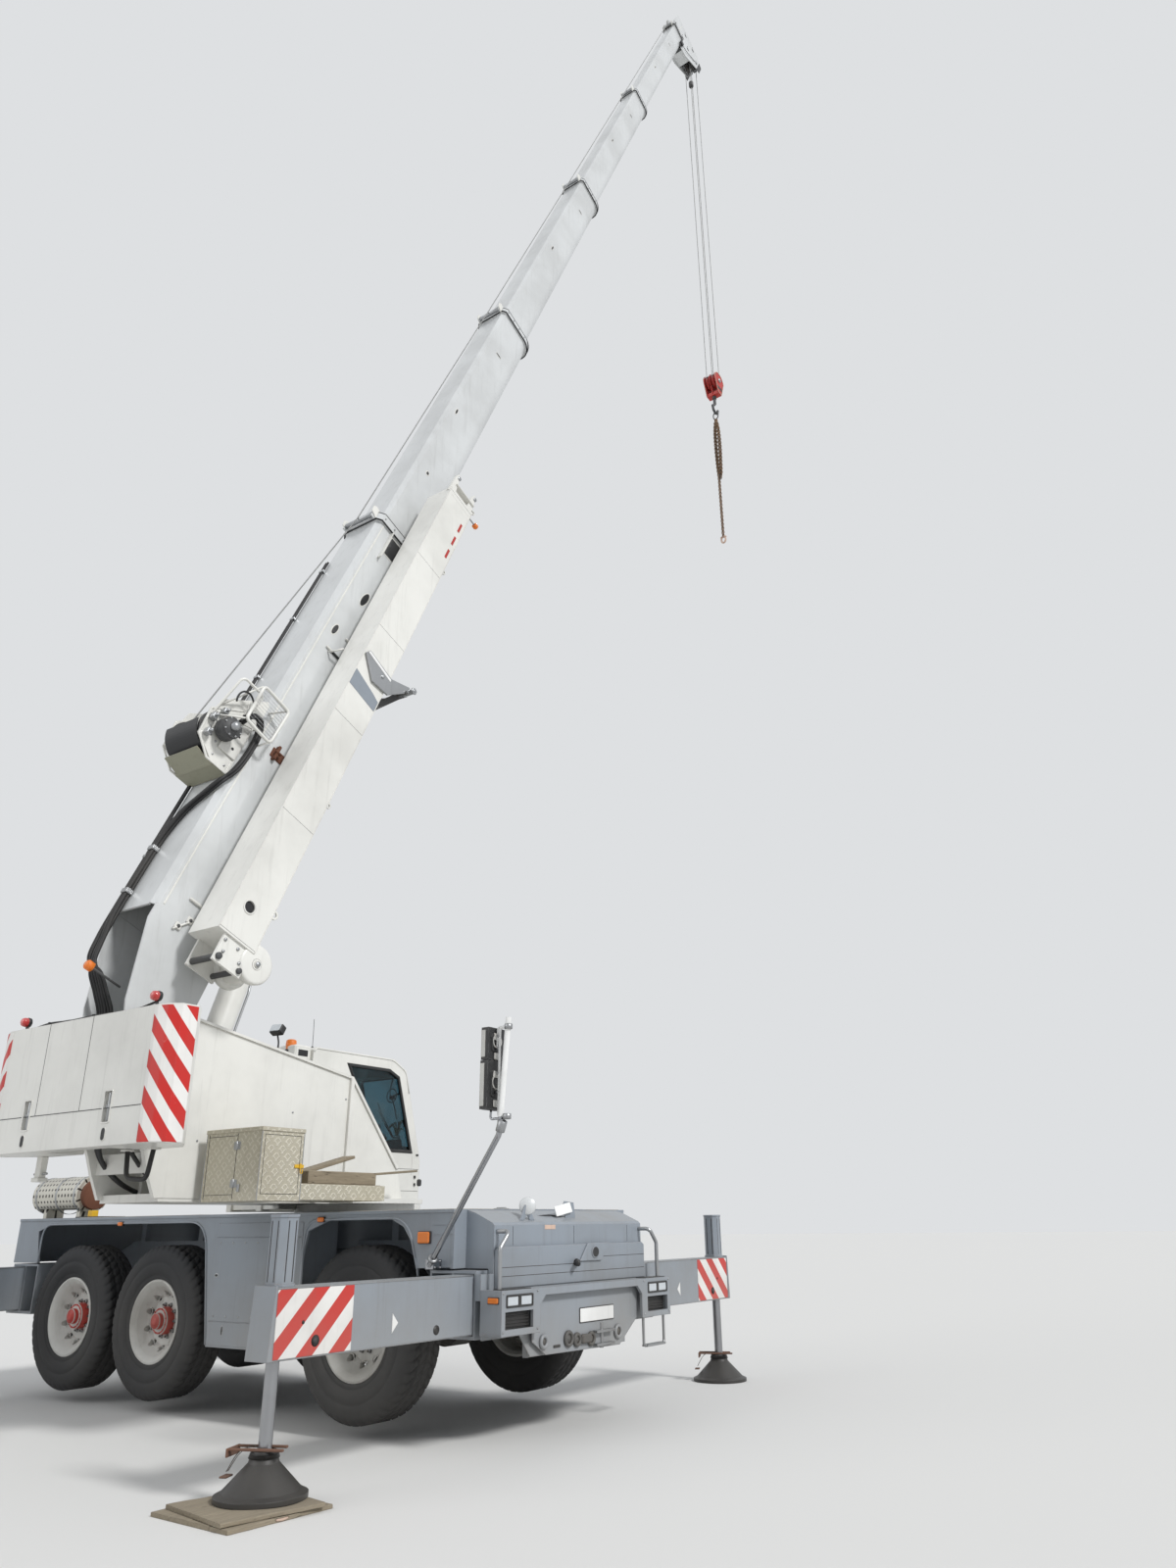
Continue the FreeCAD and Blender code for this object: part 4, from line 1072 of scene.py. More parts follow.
    @cache
    def perforated(self) -> bpy.types.Material:
        """Bright sheet with staggered rows of round holes, 60 mm apart along x and round the drum's axis; the holes are
        painted near black as the shade inside them.

        Returns:
            The material.
        """
        mat, g, shader = self.start("perforated")
        x, y, z = g.node("SeparateXYZ", {0: g.coords()}).outputs
        axis_y, axis_z = SIZE.silencer_yz
        angle = g.math("ARCTAN2", g.math("SUBTRACT", z, axis_z), g.math("SUBTRACT", y, axis_y))
        row = g.times(g.plus(angle, 7.0), 3.2)
        along = g.plus(g.times(g.plus(x, 50.0), 16.5), g.times(g.math("FLOOR", row), 0.5))
        u, v = (g.math("SUBTRACT", g.fract(place), 0.5) for place in (along, row))
        hole_shade = g.step(g.math("SQRT", g.plus(g.times(u, u), g.times(v, v))), 0.25, 0.20)
        p = Paint(srgb(206, 203, 192), dirt=srgb(126, 116, 98), metallic=0.45, grime=0.3, rough=0.35)
        # Near-black dots: the holes, painted dark as the shade inside them.
        g.feed(shader, self.weathered(g, p, g.mix(hole_shade, srgb(210, 207, 196), srgb(40, 38, 36))))
        return mat

    @cache
    def timber(self) -> bpy.types.Material:
        """Worn sawn timber: long grain along y from stretched noise, dark cracks and pale abrasion.

        Returns:
            The material.
        """
        mat, g, shader = self.start("timber")
        long = g.node("Mapping", {0: g.coords(), 2: (0, 0, math.radians(-11)), 3: (16.0, 1.2, 16.0)}).outputs[0]
        ring = g.noise(long, 3.0, 6.0, 0.7)
        crack = g.step(g.noise(long, 7.0, 3.0, 0.5), 0.66, 0.72)
        base = g.mix(crack, g.mix(ring, srgb(104, 92, 74), srgb(166, 154, 132)), srgb(48, 38, 28))
        p = Paint(srgb(140, 128, 108), dirt=srgb(76, 68, 56), wear=srgb(182, 172, 150), grime=0.4, streaks=0.0,
                  rough=0.88, dust=0.3)
        looks = self.weathered(g, p, base)
        looks["Normal"] = g.bump(g.math("SUBTRACT", ring, crack), 0.5, self.RELIEF, looks["Normal"])
        g.feed(shader, looks)
        return mat

    @cache
    def fabric(self) -> bpy.types.Material:
        """Woven seat cover: fine crossed waves with a soft sheen.

        Returns:
            The material.
        """
        mat, g, shader = self.start("seat_cloth")
        coords = g.coords()
        across, up, along = (g.wave(coords, 160.0, 0.6, d) for d in ("X", "Z", "Y"))
        weave = g.plus(g.plus(across, up), along)
        tint = g.mix(g.noise(coords, 6.0), srgb(46, 48, 54), srgb(72, 74, 80))
        g.feed(shader, {
            "Base Color": g.mix(g.times(weave, 0.2), tint, srgb(96, 98, 104)),
            "Normal": g.bump(weave, 0.4, 0.001),
            "Roughness": g.plus(g.times(weave, 0.05), 0.75),
            "Sheen Weight": 0.35,
        })
        return mat

    @cache
    def rope(self) -> bpy.types.Material:
        """Wire rope: slanted strands from the sum of height and angle, darker in the grooves.

        Returns:
            The material.
        """
        mat, g, shader = self.start("wire_rope")
        strand = g.wave(g.coords(), 40.0, 0.5, "DIAGONAL")
        g.feed(shader, {
            "Base Color": g.mix(strand, srgb(92, 92, 92), srgb(186, 186, 184)),
            "Normal": g.bump(strand, 0.7, 0.003),
            "Roughness": g.math("SUBTRACT", 0.65, g.times(strand, 0.2)),
            "Metallic": 0.6,
        })
        return mat


@dataclass
class Assembly:
    """Base of the sub-assemblies: the loaded frame and the material maker."""

    frame: dict
    mats: Materials

    def finish(self, shape: Shape, body: str, *finishes: object, replaces: Sequence[str] = (),
               slot: str = "") -> bpy.types.Object:
        """Dresses a shape and lets it ride.

        Args:
            shape: the collected piece.
            body: body that carries it.
            finishes: a Style, a Lens or a ready material for each slot used.
            replaces: nodes that it stands for.
            slot: material slot of the record.
        Returns:
            The new object.
        """
        makers = {Style: self.mats.paint, Lens: self.mats.lens}
        ready = [makers[type(f)](f) if type(f) in makers else f for f in finishes]
        return shape.done(ready, body, replaces, slot)


@dataclass
class Carrier(Assembly):
    """Side panels, arch lips, deck plates, nose step, bumper fittings, lamps and drive shafts of the carrier."""

    panel_x: tuple = (-0.535, 0.625)
    panel_z: tuple = ((0.600, 0.787), (0.793, 1.487), (1.493, 1.612))
    bolt_z: tuple = (1.445, 0.835)
    arch_front: tuple = ((0.63, 0.60), (0.63, 1.30), (0.66, 1.629), (1.86, 1.629), (1.99, 1.25))
    arch_rear: tuple = ((-0.54, 0.60), (-0.72, 1.629), (-3.46, 1.629), (-3.46, 1.262))
    markers: tuple = ((0.85, 1.628, 0.038, 0.018), (-2.06, 1.622, 0.036, 0.017), (2.06, 1.480, 0.062, 0.042))
    nose_x: float = 2.650
    step_z: tuple = (1.125, 1.405)
    lamp_y: tuple = (1.115, 0.945)
    bumper_x: float = 2.860
    lens_z: tuple = (0.990, 1.067)
    tail_x: float = -3.930

    def build(self) -> None:
        """Builds the carrier's details."""
        for job in (self.sides, self.deck, self.nose, self.bumper, self.lamps, self.rear, self.shafts):
            job()

    def sides(self) -> None:
        """Panels between the axles with bolt rows and a latch, lips round the arches, a rail along the deck's edge."""
        y = SIZE.half_w
        shape = Shape("side_panels")
        for side in (-1, 1):
            for z0, z1 in self.panel_z:
                shape.use(0).block((self.panel_x[0], side * (y - 0.002), z0), (self.panel_x[1], side * (y + 0.004), z1),
                                   0.002)
            for z in self.bolt_z:
                for x in np.arange(-0.47, 0.60, 0.172):
                    shape.use(1).nut((x, side * (y + 0.004), z), (0, side, 0), 0.009, 0.005)
            for arch in (self.arch_front, self.arch_rear):
                path = bent_path([(x, side * y, z) for x, z in arch], 0.24, 9)
                shape.use(0).tube(path, 0.011, 8)
            shape.block((self.tail_x, side * (y - 0.002), 1.662), (2.367, side * (y + 0.009), 1.690), 0.003)
            for x, z, rx, rz in ((-0.33, 0.72, 0.010, 0.036), (-0.485, 1.17, 0.018, 0.010)):
                edge = side * (y + 0.004)
                shape.use(1).slab(upright(oval(x, z, rx + 0.008, rz + 0.008, 20)), edge, edge + side * 0.002, 1)
                shape.use(2).slab(upright(oval(x, z, rx, rz, 20)), edge, edge + side * 0.003, 1)
            for z in (1.50, 1.57):
                shape.use(0).block((2.15, side * (y - 0.002), z), (2.36, side * (y + 0.003), z + 0.004), 0.001)
        self.finish(shape, Body.CARRIER, Style.GREY, Style.STEEL, Style.BLACK, slot="carrier_paint")

    def deck(self) -> None:
        """Tread plates over the deck, tie rings and the lid of the tank."""
        plates = Shape("deck_tread_plates")
        z = SIZE.deck_z
        for x0, x1 in ((0.82, 1.56), (1.575, 2.33), (-1.95, -0.86), (-2.86, -1.965)):
            for side in (-1, 1):
                plates.block((x0, side * 0.70, z - 0.001), (x1, side * 1.225, z + 0.004), 0.002)
        plates.block((-3.90, -0.70, z - 0.001), (-2.05, 0.685, z + 0.004), 0.002)
        plates.block((-3.90, 0.70, z - 0.001), (-2.875, 1.225, z + 0.004), 0.002)
        self.finish(plates, Body.CARRIER, self.mats.chequer())
        shape = Shape("deck_fittings")
        for x, y in ((2.20, 0.45), (2.20, -0.45), (1.15, 0.0)):
            shape.use(0).lathe([(0.001, 0.0), (0.075, 0.0), (0.075, 0.006), (0.060, 0.012), (0.001, 0.012)], (x, y, z),
                               UP, 28)
            shape.use(1).rod((x - 0.05, y, z + 0.014), (x + 0.05, y, z + 0.014), 0.006, 8)
        for x0, x1, y0, y1 in ((1.62, 2.30, -0.66, -0.05), (1.62, 2.30, 0.05, 0.66)):
            shape.use(0).block((x0, y0, z - 0.001), (x1, y1, z + 0.005), 0.003)
            for y in (y0 + 0.08, y1 - 0.08):
                shape.use(1).rod((x0 - 0.004, y - 0.03, z + 0.006), (x0 - 0.004, y + 0.03, z + 0.006), 0.006, 8)
        self.finish(shape, Body.CARRIER, Style.DECK, Style.STEEL)

    def nose(self) -> None:
        """Step on the nose's face with its slanted boss and an opening drawn as a black disc of painted shade, seams,
        air connector, plates on the top edge.
        """
        x = self.nose_x
        z0, z1 = self.step_z
        shape = Shape("nose_step")
        shape.use(0).slab([(-1.09, z0 - 0.018), (1.09, z0 - 0.018), (1.09, z1 - 0.02), (1.06, z1), (0.50, z1),
                           (0.50, z1 + 0.002), (-1.06, z1), (-1.09, z1 - 0.02)], x, x + 0.042, 0, 0.006)
        shape.slab([(0.016, 1.270), (0.345, 1.268), (0.485, 1.412), (0.140, 1.412)], x + 0.042, x + 0.058, 0, 0.004)
        shape.slab(oval(0.245, 1.340, 0.058, 0.052, 24), x + 0.058, x + 0.064, 0, 0.002)
        # Black disc on the boss: painted shade for the dark inside of the opening.
        shape.use(1).slab(oval(0.245, 1.340, 0.046, 0.040, 24), x + 0.060, x + 0.066, 0)
        for y0, y1, z in ((-1.08, -0.02, 1.254), (-1.08, 1.08, 1.190), (0.36, 1.08, 1.300)):
            shape.use(2).block((x + 0.0415, y0, z), (x + 0.0428, y1, z + 0.004), 0.0004)
        for y in (-0.86, 0.0, 0.86):
            shape.block((x - 0.001, y, z1 + 0.01), (x + 0.0012, y + 0.004, 1.555), 0.0004)
        shape.use(1).rod((x + 0.040, -0.02, 1.266), (x + 0.125, -0.115, 1.255), 0.021, 16)
        shape.rod((x + 0.045, -0.025, 1.266), (x + 0.065, -0.047, 1.263), 0.029, 16)
        shape.use(3).block((x - 0.004, -0.425, 1.528), (x + 0.0015, -0.274, 1.563), 0.001)
        shape.use(4).lathe([(0.001, 0.0), (0.069, 0.0), (0.071, 0.004), (0.067, 0.009), (0.001, 0.009)],
                           (2.600, -0.600, 1.712), (0.60, -0.78, 0.12), 32)
        shape.use(0)
        gusset = [(-0.700, 1.600), (-0.635, 1.600), (-0.600, 1.650), (-0.560, 1.600), (-0.495, 1.600), (-0.580, 1.720),
                  (-0.625, 1.720)]
        shape.slab(gusset, 2.586, 2.596, 0, 0.002)
        tilt = shift(2.560, -0.03, 1.685) @ rotation(0, 9) @ rotation(1, -14)
        shape.use(5).at(tilt).slab(rounded(-0.125, 0.115, -0.040, 0.045, 0.008), 0.0, 0.008, 0, 0.002)
        shape.use(0).at(HERE).slab([(0.02, 1.60), (0.17, 1.60), (0.14, 1.745), (0.0, 1.756), (-0.02, 1.730)], 2.543,
                                   2.552, 0, 0.002)
        shape.use(2).tube(smooth_path([(2.50, -0.36, 1.632), (2.52, -0.18, 1.640), (2.53, 0.05, 1.622),
                                       (2.50, 0.30, 1.632)]), 0.006, 6)
        self.finish(shape, Body.CARRIER, Style.GREY, Style.BLACK, Style.HOSE, Style.PATCH, Style.BOOM, Style.WHITE,
                    slot="carrier_paint")

    def bumper(self) -> None:
        """Recess panel behind the bumper's arch, blank plate, coupling rings, louvres in the pockets and bolts."""
        x = self.bumper_x
        shape = Shape("bumper_fittings")
        shape.use(0).slab([(-0.60, 0.615), (0.48, 0.600), (0.78, 0.80), (0.78, 1.066), (-0.78, 1.066), (-0.78, 0.72)],
                          x - 0.075, x - 0.066, 0, 0.002)
        shape.slab([(-0.76, 0.615), (-0.60, 0.612), (-0.78, 0.80), (-0.92, 0.80)], x - 0.110, x - 0.100, 0, 0.002)
        shape.use(1).slab(rounded(-0.135, 0.385, 0.806, 0.922, 0.010), x - 0.066, x - 0.060, 0, 0.001)
        shape.use(2).slab(rounded(-0.128, 0.378, 0.813, 0.915, 0.008), x - 0.061, x - 0.0585, 0, 0.0005)
        for y, z, big, style in ((-0.640, 0.712, 0.040, 0), (-0.300, 0.706, 0.048, 3), (0.440, 0.706, 0.044, 0),
                                 (-0.180, 0.690, 0.040, 3), (0.025, 0.682, 0.042, 3)):
            shape.use(style).tube(hoop((x - 0.055, y, z), (0, big, 0), (0, 0, big), 24), 0.015, 10, closed=True)
            shape.use(3).lathe([(0.001, 0.0), (big - 0.012, 0.0), (big - 0.012, 0.012), (0.001, 0.014)],
                               (x - 0.066, y, z), AHEAD, 20)
        shape.use(3).block((x - 0.066, -0.13, 0.655), (x - 0.030, 0.01, 0.725), 0.012)
        shape.use(1).block((x - 0.066, -0.50, 0.655), (x - 0.060, -0.41, 0.675), 0.001)
        for side in (-1, 1):
            y0, y1 = side * 0.856, side * 1.204
            shape.use(1).block((x - 0.052, y0, 0.836), (x - 0.048, y1, 0.954), 0.001)
            shape.block((x - 0.125, y0, 1.104), (x - 0.020, y1, 1.111), 0.002)
            for z in np.arange(0.850, 0.95, 0.022):
                shape.block((x - 0.048, y0, z), (x - 0.036, y1, z + 0.006), 0.002)
            for y in (0.80, 1.23):
                for z in (0.82, 1.085):
                    shape.use(4).nut((x, side * y, z), AHEAD, 0.009, 0.006)
            shape.use(0).block((x - 0.19, side * 1.252, 0.80), (x - 0.004, side * 1.257, 0.812), 0.002)
        self.finish(shape, Body.CARRIER, Style.GREY, Style.BLACK, Style.WHITE, Style.DARK, Style.STEEL)

    def lamps(self) -> None:
        """Ribbed head lamp glasses in black frames, with amber turn and side lamps."""
        x = self.bumper_x
        z0, z1 = self.lens_z
        shape = Shape("lamp_glasses")
        for side in (-1, 1):
            for y in self.lamp_y:
                c = side * y
                shape.use(0).slab(rounded(c - 0.066, c + 0.066, z0 + 0.004, z1 - 0.003, 0.012), x - 0.0065, x + 0.003,
                                  0, 0.003)
                shape.use(3).lathe([(0.016, 0.0), (0.026, 0.001), (0.034, 0.0025), (0.0345, 0.0)],
                                   (x + 0.0005, c, 0.5 * (z0 + z1)), AHEAD, 24)
            o0, o1 = sorted((side * 0.862, side * 1.198))
            shape.use(1).band(rounded(o0, o1, z0 - 0.006, z1 + 0.006, 0.010), 0.014, x - 0.004, x + 0.007, 0)
            mid = side * 1.030
            shape.block((x - 0.004, mid - 0.018, z0), (x + 0.006, mid + 0.018, z1), 0.002)
            shape.use(2).block((x - 0.130, side * 1.252, 1.016), (x - 0.030, side * 1.266, 1.054), 0.006)
            shape.use(1).block((x - 0.136, side * 1.250, 1.010), (x - 0.024, side * 1.257, 1.060), 0.003)
            for cx, cz, rx, rz in self.markers:
                y = SIZE.half_w
                shape.use(1).block((cx - rx - 0.006, side * (y - 0.002), cz - rz - 0.005),
                                   (cx + rx + 0.006, side * (y + 0.012), cz + rz + 0.005), 0.003)
                shape.use(2).block((cx - rx, side * (y + 0.010), cz - rz), (cx + rx, side * (y + 0.030), cz + rz),
                                   0.008)
        self.finish(shape, Body.CARRIER, Lens.CLEAR_LENS, Style.BLACK, Lens.AMBER_LENS, Style.CHROME)

    def rear(self) -> None:
        """Tail lamp clusters, blank plate, reflectors and towing eye on the rear cross panel."""
        x, width = self.tail_x, 0.115
        shape = Shape("tail_lamps")
        for side in (-1, 1):
            y0, y1 = sorted((side * 0.74, side * 1.14))
            shape.use(0).slab(rounded(y0, y1, 1.345, 1.475, 0.015), x - 0.022, x + 0.002, 0, 0.003)
            for k in range(3):
                c = side * (1.072 - 0.128 * k)
                glass = rounded(c - width / 2, c + width / 2, 1.357, 1.463, 0.012)
                shape.use(k + 1).slab(glass, x - 0.032, x - 0.021, 0, 0.004)
            for y in (0.55, 1.19):
                shape.use(1).lathe([(0.001, 0.008), (0.030, 0.007), (0.034, 0.0)], (x, side * y, 1.60), BACK, 20)
        shape.use(0).slab(rounded(-0.26, 0.26, 1.345, 1.461, 0.010), x - 0.006, x + 0.002, 0, 0.001)
        shape.use(3).slab(rounded(-0.252, 0.252, 1.352, 1.454, 0.008), x - 0.008, x - 0.005, 0, 0.0005)
        shape.use(0).tube(bent_path([(x, -0.10, 1.56), (x - 0.09, -0.07, 1.56), (x - 0.09, 0.07, 1.56),
                                     (x, 0.10, 1.56)], 0.04), 0.014, 10)
        self.finish(shape, Body.CARRIER, Style.BLACK, Lens.RED_LENS, Lens.AMBER_LENS, Style.WHITE)

    def shafts(self) -> None:
        """Drive shafts with their joint crosses between the axles and the engine."""
        z = SIZE.wheel_z
        shape = Shape("drive_shafts")
        for p, q in (((-2.49, 0, z), (-1.56, 0, z)), ((-1.09, 0, z + 0.01), (-0.87, 0, 0.985)),
                     ((-0.19, 0, 0.985), (1.12, 0, z + 0.02))):
            p, q = np.array(p), np.array(q)
            u = unit(q - p)
            shape.use(0).rod(p + u * 0.05, q - u * 0.05, 0.042, 16)
            for e, s in ((p, 1.0), (q, -1.0)):
                shape.lathe([(0.001, 0.0), (0.070, 0.0), (0.070, 0.014), (0.045, 0.020), (0.040, 0.060),
                             (0.001, 0.060)], e, u * s, 20)
                cross = e + u * s * 0.04
                shape.use(1).rod(cross - (0, 0.06, 0), cross + (0, 0.06, 0), 0.014, 10).use(0)
        self.finish(shape, Body.CARRIER, Style.DARK, Style.STEEL)


@dataclass
class Wheels(Assembly):
    """Treaded tyres that stand for the plain ones, wheel nuts, red hubs and valve stems."""

    def build(self) -> None:
        """Builds the six wheels."""
        for number, x in enumerate(SIZE.axles, 1):
            for side, label in ((1, "left"), (-1, "right")):
                tag = f"{number}_{label}"
                self.tyre(tag, x, side)
                self.hub(tag, x, side, number > 1)

    def tyre(self, tag: str, x: float, side: int) -> None:
        """Tyre of one wheel.

        The section is a closed loop of radius and width. Where it is tread, the radius drops by the groove
        depth: three grooves run round in a zigzag (a triangle wave of the angle) and cross grooves slant
        from the middle to both shoulders every 1/48 of a turn.

        Args:
            tag: wheel name.
            x: axle place.
            side: 1 left, -1 right.
        """
        s = SIZE
        half, crown = s.tyre_w / 2, s.tyre_r
        wall = [(0.336, 0.138), (0.345, 0.152), (0.392, 0.182), (0.400, 0.176), (0.408, 0.186), (0.470, 0.1925), (0.505, 0.1925), (0.512, 0.188),
                (0.520, 0.1925), (0.560, 0.191), (0.600, 0.186), (0.632, 0.172), (0.655, 0.150)]
        across = np.linspace(0.135, -0.135, 28)
        ring = wall + [(crown, w) for w in across] + [(r, -w) for r, w in wall[::-1]] + [(0.330, -0.12), (0.330, 0.0),
                (0.330, 0.12)]
        prof = np.array(ring)
        steps = 336
        a = np.linspace(0, TURN, steps, endpoint=False)[:, None]
        r, w = np.broadcast_to(prof[:, 0], (steps, len(prof))).copy(), np.broadcast_to(prof[:, 1], (steps, len(prof)))
        saw = np.abs((a * 48 / TURN) % 1.0 - 0.5) * 2.0
        lane = np.minimum.reduce([np.abs(w - c - 0.014 * (saw - 0.5)) for c in (-0.075, 0.0, 0.075)])
        cross = ((a * 48 / TURN + 1.6 * np.abs(w) / half) % 1.0) < 0.22
        tread = (r > 0.648)
        shoulder = (r > 0.625) & (np.abs(w) > 0.10)
        depth = np.where(tread & (lane < 0.0075), 0.014, 0.0)
        depth = np.maximum(depth, np.where(tread & cross & (np.abs(w) > 0.082), 0.016, 0.0))
        depth = np.maximum(depth, np.where(shoulder & cross, 0.010, 0.0))
        depth = np.maximum(depth, np.where(tread & cross & (np.abs(w) < 0.065), 0.006, 0.0))
        r = r - depth
        pts = np.stack([x + r * np.cos(a), side * (s.tyre_y + w), s.wheel_z + r * np.sin(a)], -1)
        shape = Shape(f"tyre_tread_{tag}").grid(pts, wrap_u=True, wrap_v=True)
        self.finish(shape, f"wheel_{tag}", Style.RUBBER, replaces=[f"tyre_{tag}"], slot="tyre")

    def hub(self, tag: str, x: float, side: int, driven: bool) -> None:
        """Wheel nuts on a ring, the hub's drum with its bolts, and the valve.

        Args:
            tag: wheel name.
            x: axle place.
            side: 1 left, -1 right.
            driven: True for the two rear axles, whose planetary hubs are red.
        """
        s = SIZE
        out = (0.0, float(side), 0.0)
        face = side * (s.tyre_y + 0.020)
        shape = Shape(f"wheel_fittings_{tag}")
        for cos, sin in spokes(10):
            c = (x + 0.1425 * cos, face, s.wheel_z + 0.1425 * sin)
            shape.use(0).lathe([(0.021, 0.0), (0.021, 0.004), (0.017, 0.004)], c, out, 12)
            shape.nut(c, out, 0.017, 0.024)
            shape.use(2).rod(c, (c[0], c[1] + side * 0.036, c[2]), 0.009, 8)
        depth = 0.105 if driven else 0.060
        y0 = side * s.tyre_y
        drum = [(0.119, 0.02), (0.119, depth - 0.012), (0.112, depth + 0.001), (0.098, depth + 0.003),
                (0.094, depth - 0.002), (0.073, depth - 0.002)]
        shape.use(1).lathe(drum, (x, y0, s.wheel_z), out, 40)
        shape.bolts((x, y0 + side * (depth + 0.002), s.wheel_z), out, 0.1045, 12, 0.0075, 0.007, 15.0)
        tip = 0.150 if driven else 0.085
        cap = [(0.071, depth - 0.004), (0.071, tip - 0.010), (0.066, tip + 0.001), (0.040, tip + 0.004),
               (0.038, tip + 0.012), (0.020, tip + 0.014), (0.001, tip + 0.014)]
        shape.lathe(cap, (x, y0, s.wheel_z), out, 32)
        rim = [(0.3625, 0.158), (0.3640, 0.166), (0.3560, 0.172), (0.3500, 0.166), (0.3460, 0.158)]
        shape.use(3).lathe(rim, (x, y0, s.wheel_z), out, 64)
        for cos, sin in spokes(10, 18.0):
            c = (x + 0.238 * cos, y0 + side * 0.05, s.wheel_z + 0.238 * sin)
            loop = hoop(c, (0.030 * cos, 0, 0.030 * sin), (-0.036 * sin, 0, 0.036 * cos), 20)
            shape.tube(loop, 0.0045, 6, closed=True)
        shape.use(2).tube(smooth_path([(x + 0.20, y0 + side * 0.03, s.wheel_z + 0.21), (x + 0.215, y0 + side * 0.09, s.wheel_z + 0.225),
                                       (x + 0.205, y0 + side * 0.14, s.wheel_z + 0.215)]), 0.006, 8)
        hub = Style.RED if driven else Style.RIM
        self.finish(shape, f"wheel_{tag}", Style.STEEL, hub, Style.DARK, Style.RIM, slot="rim_paint")


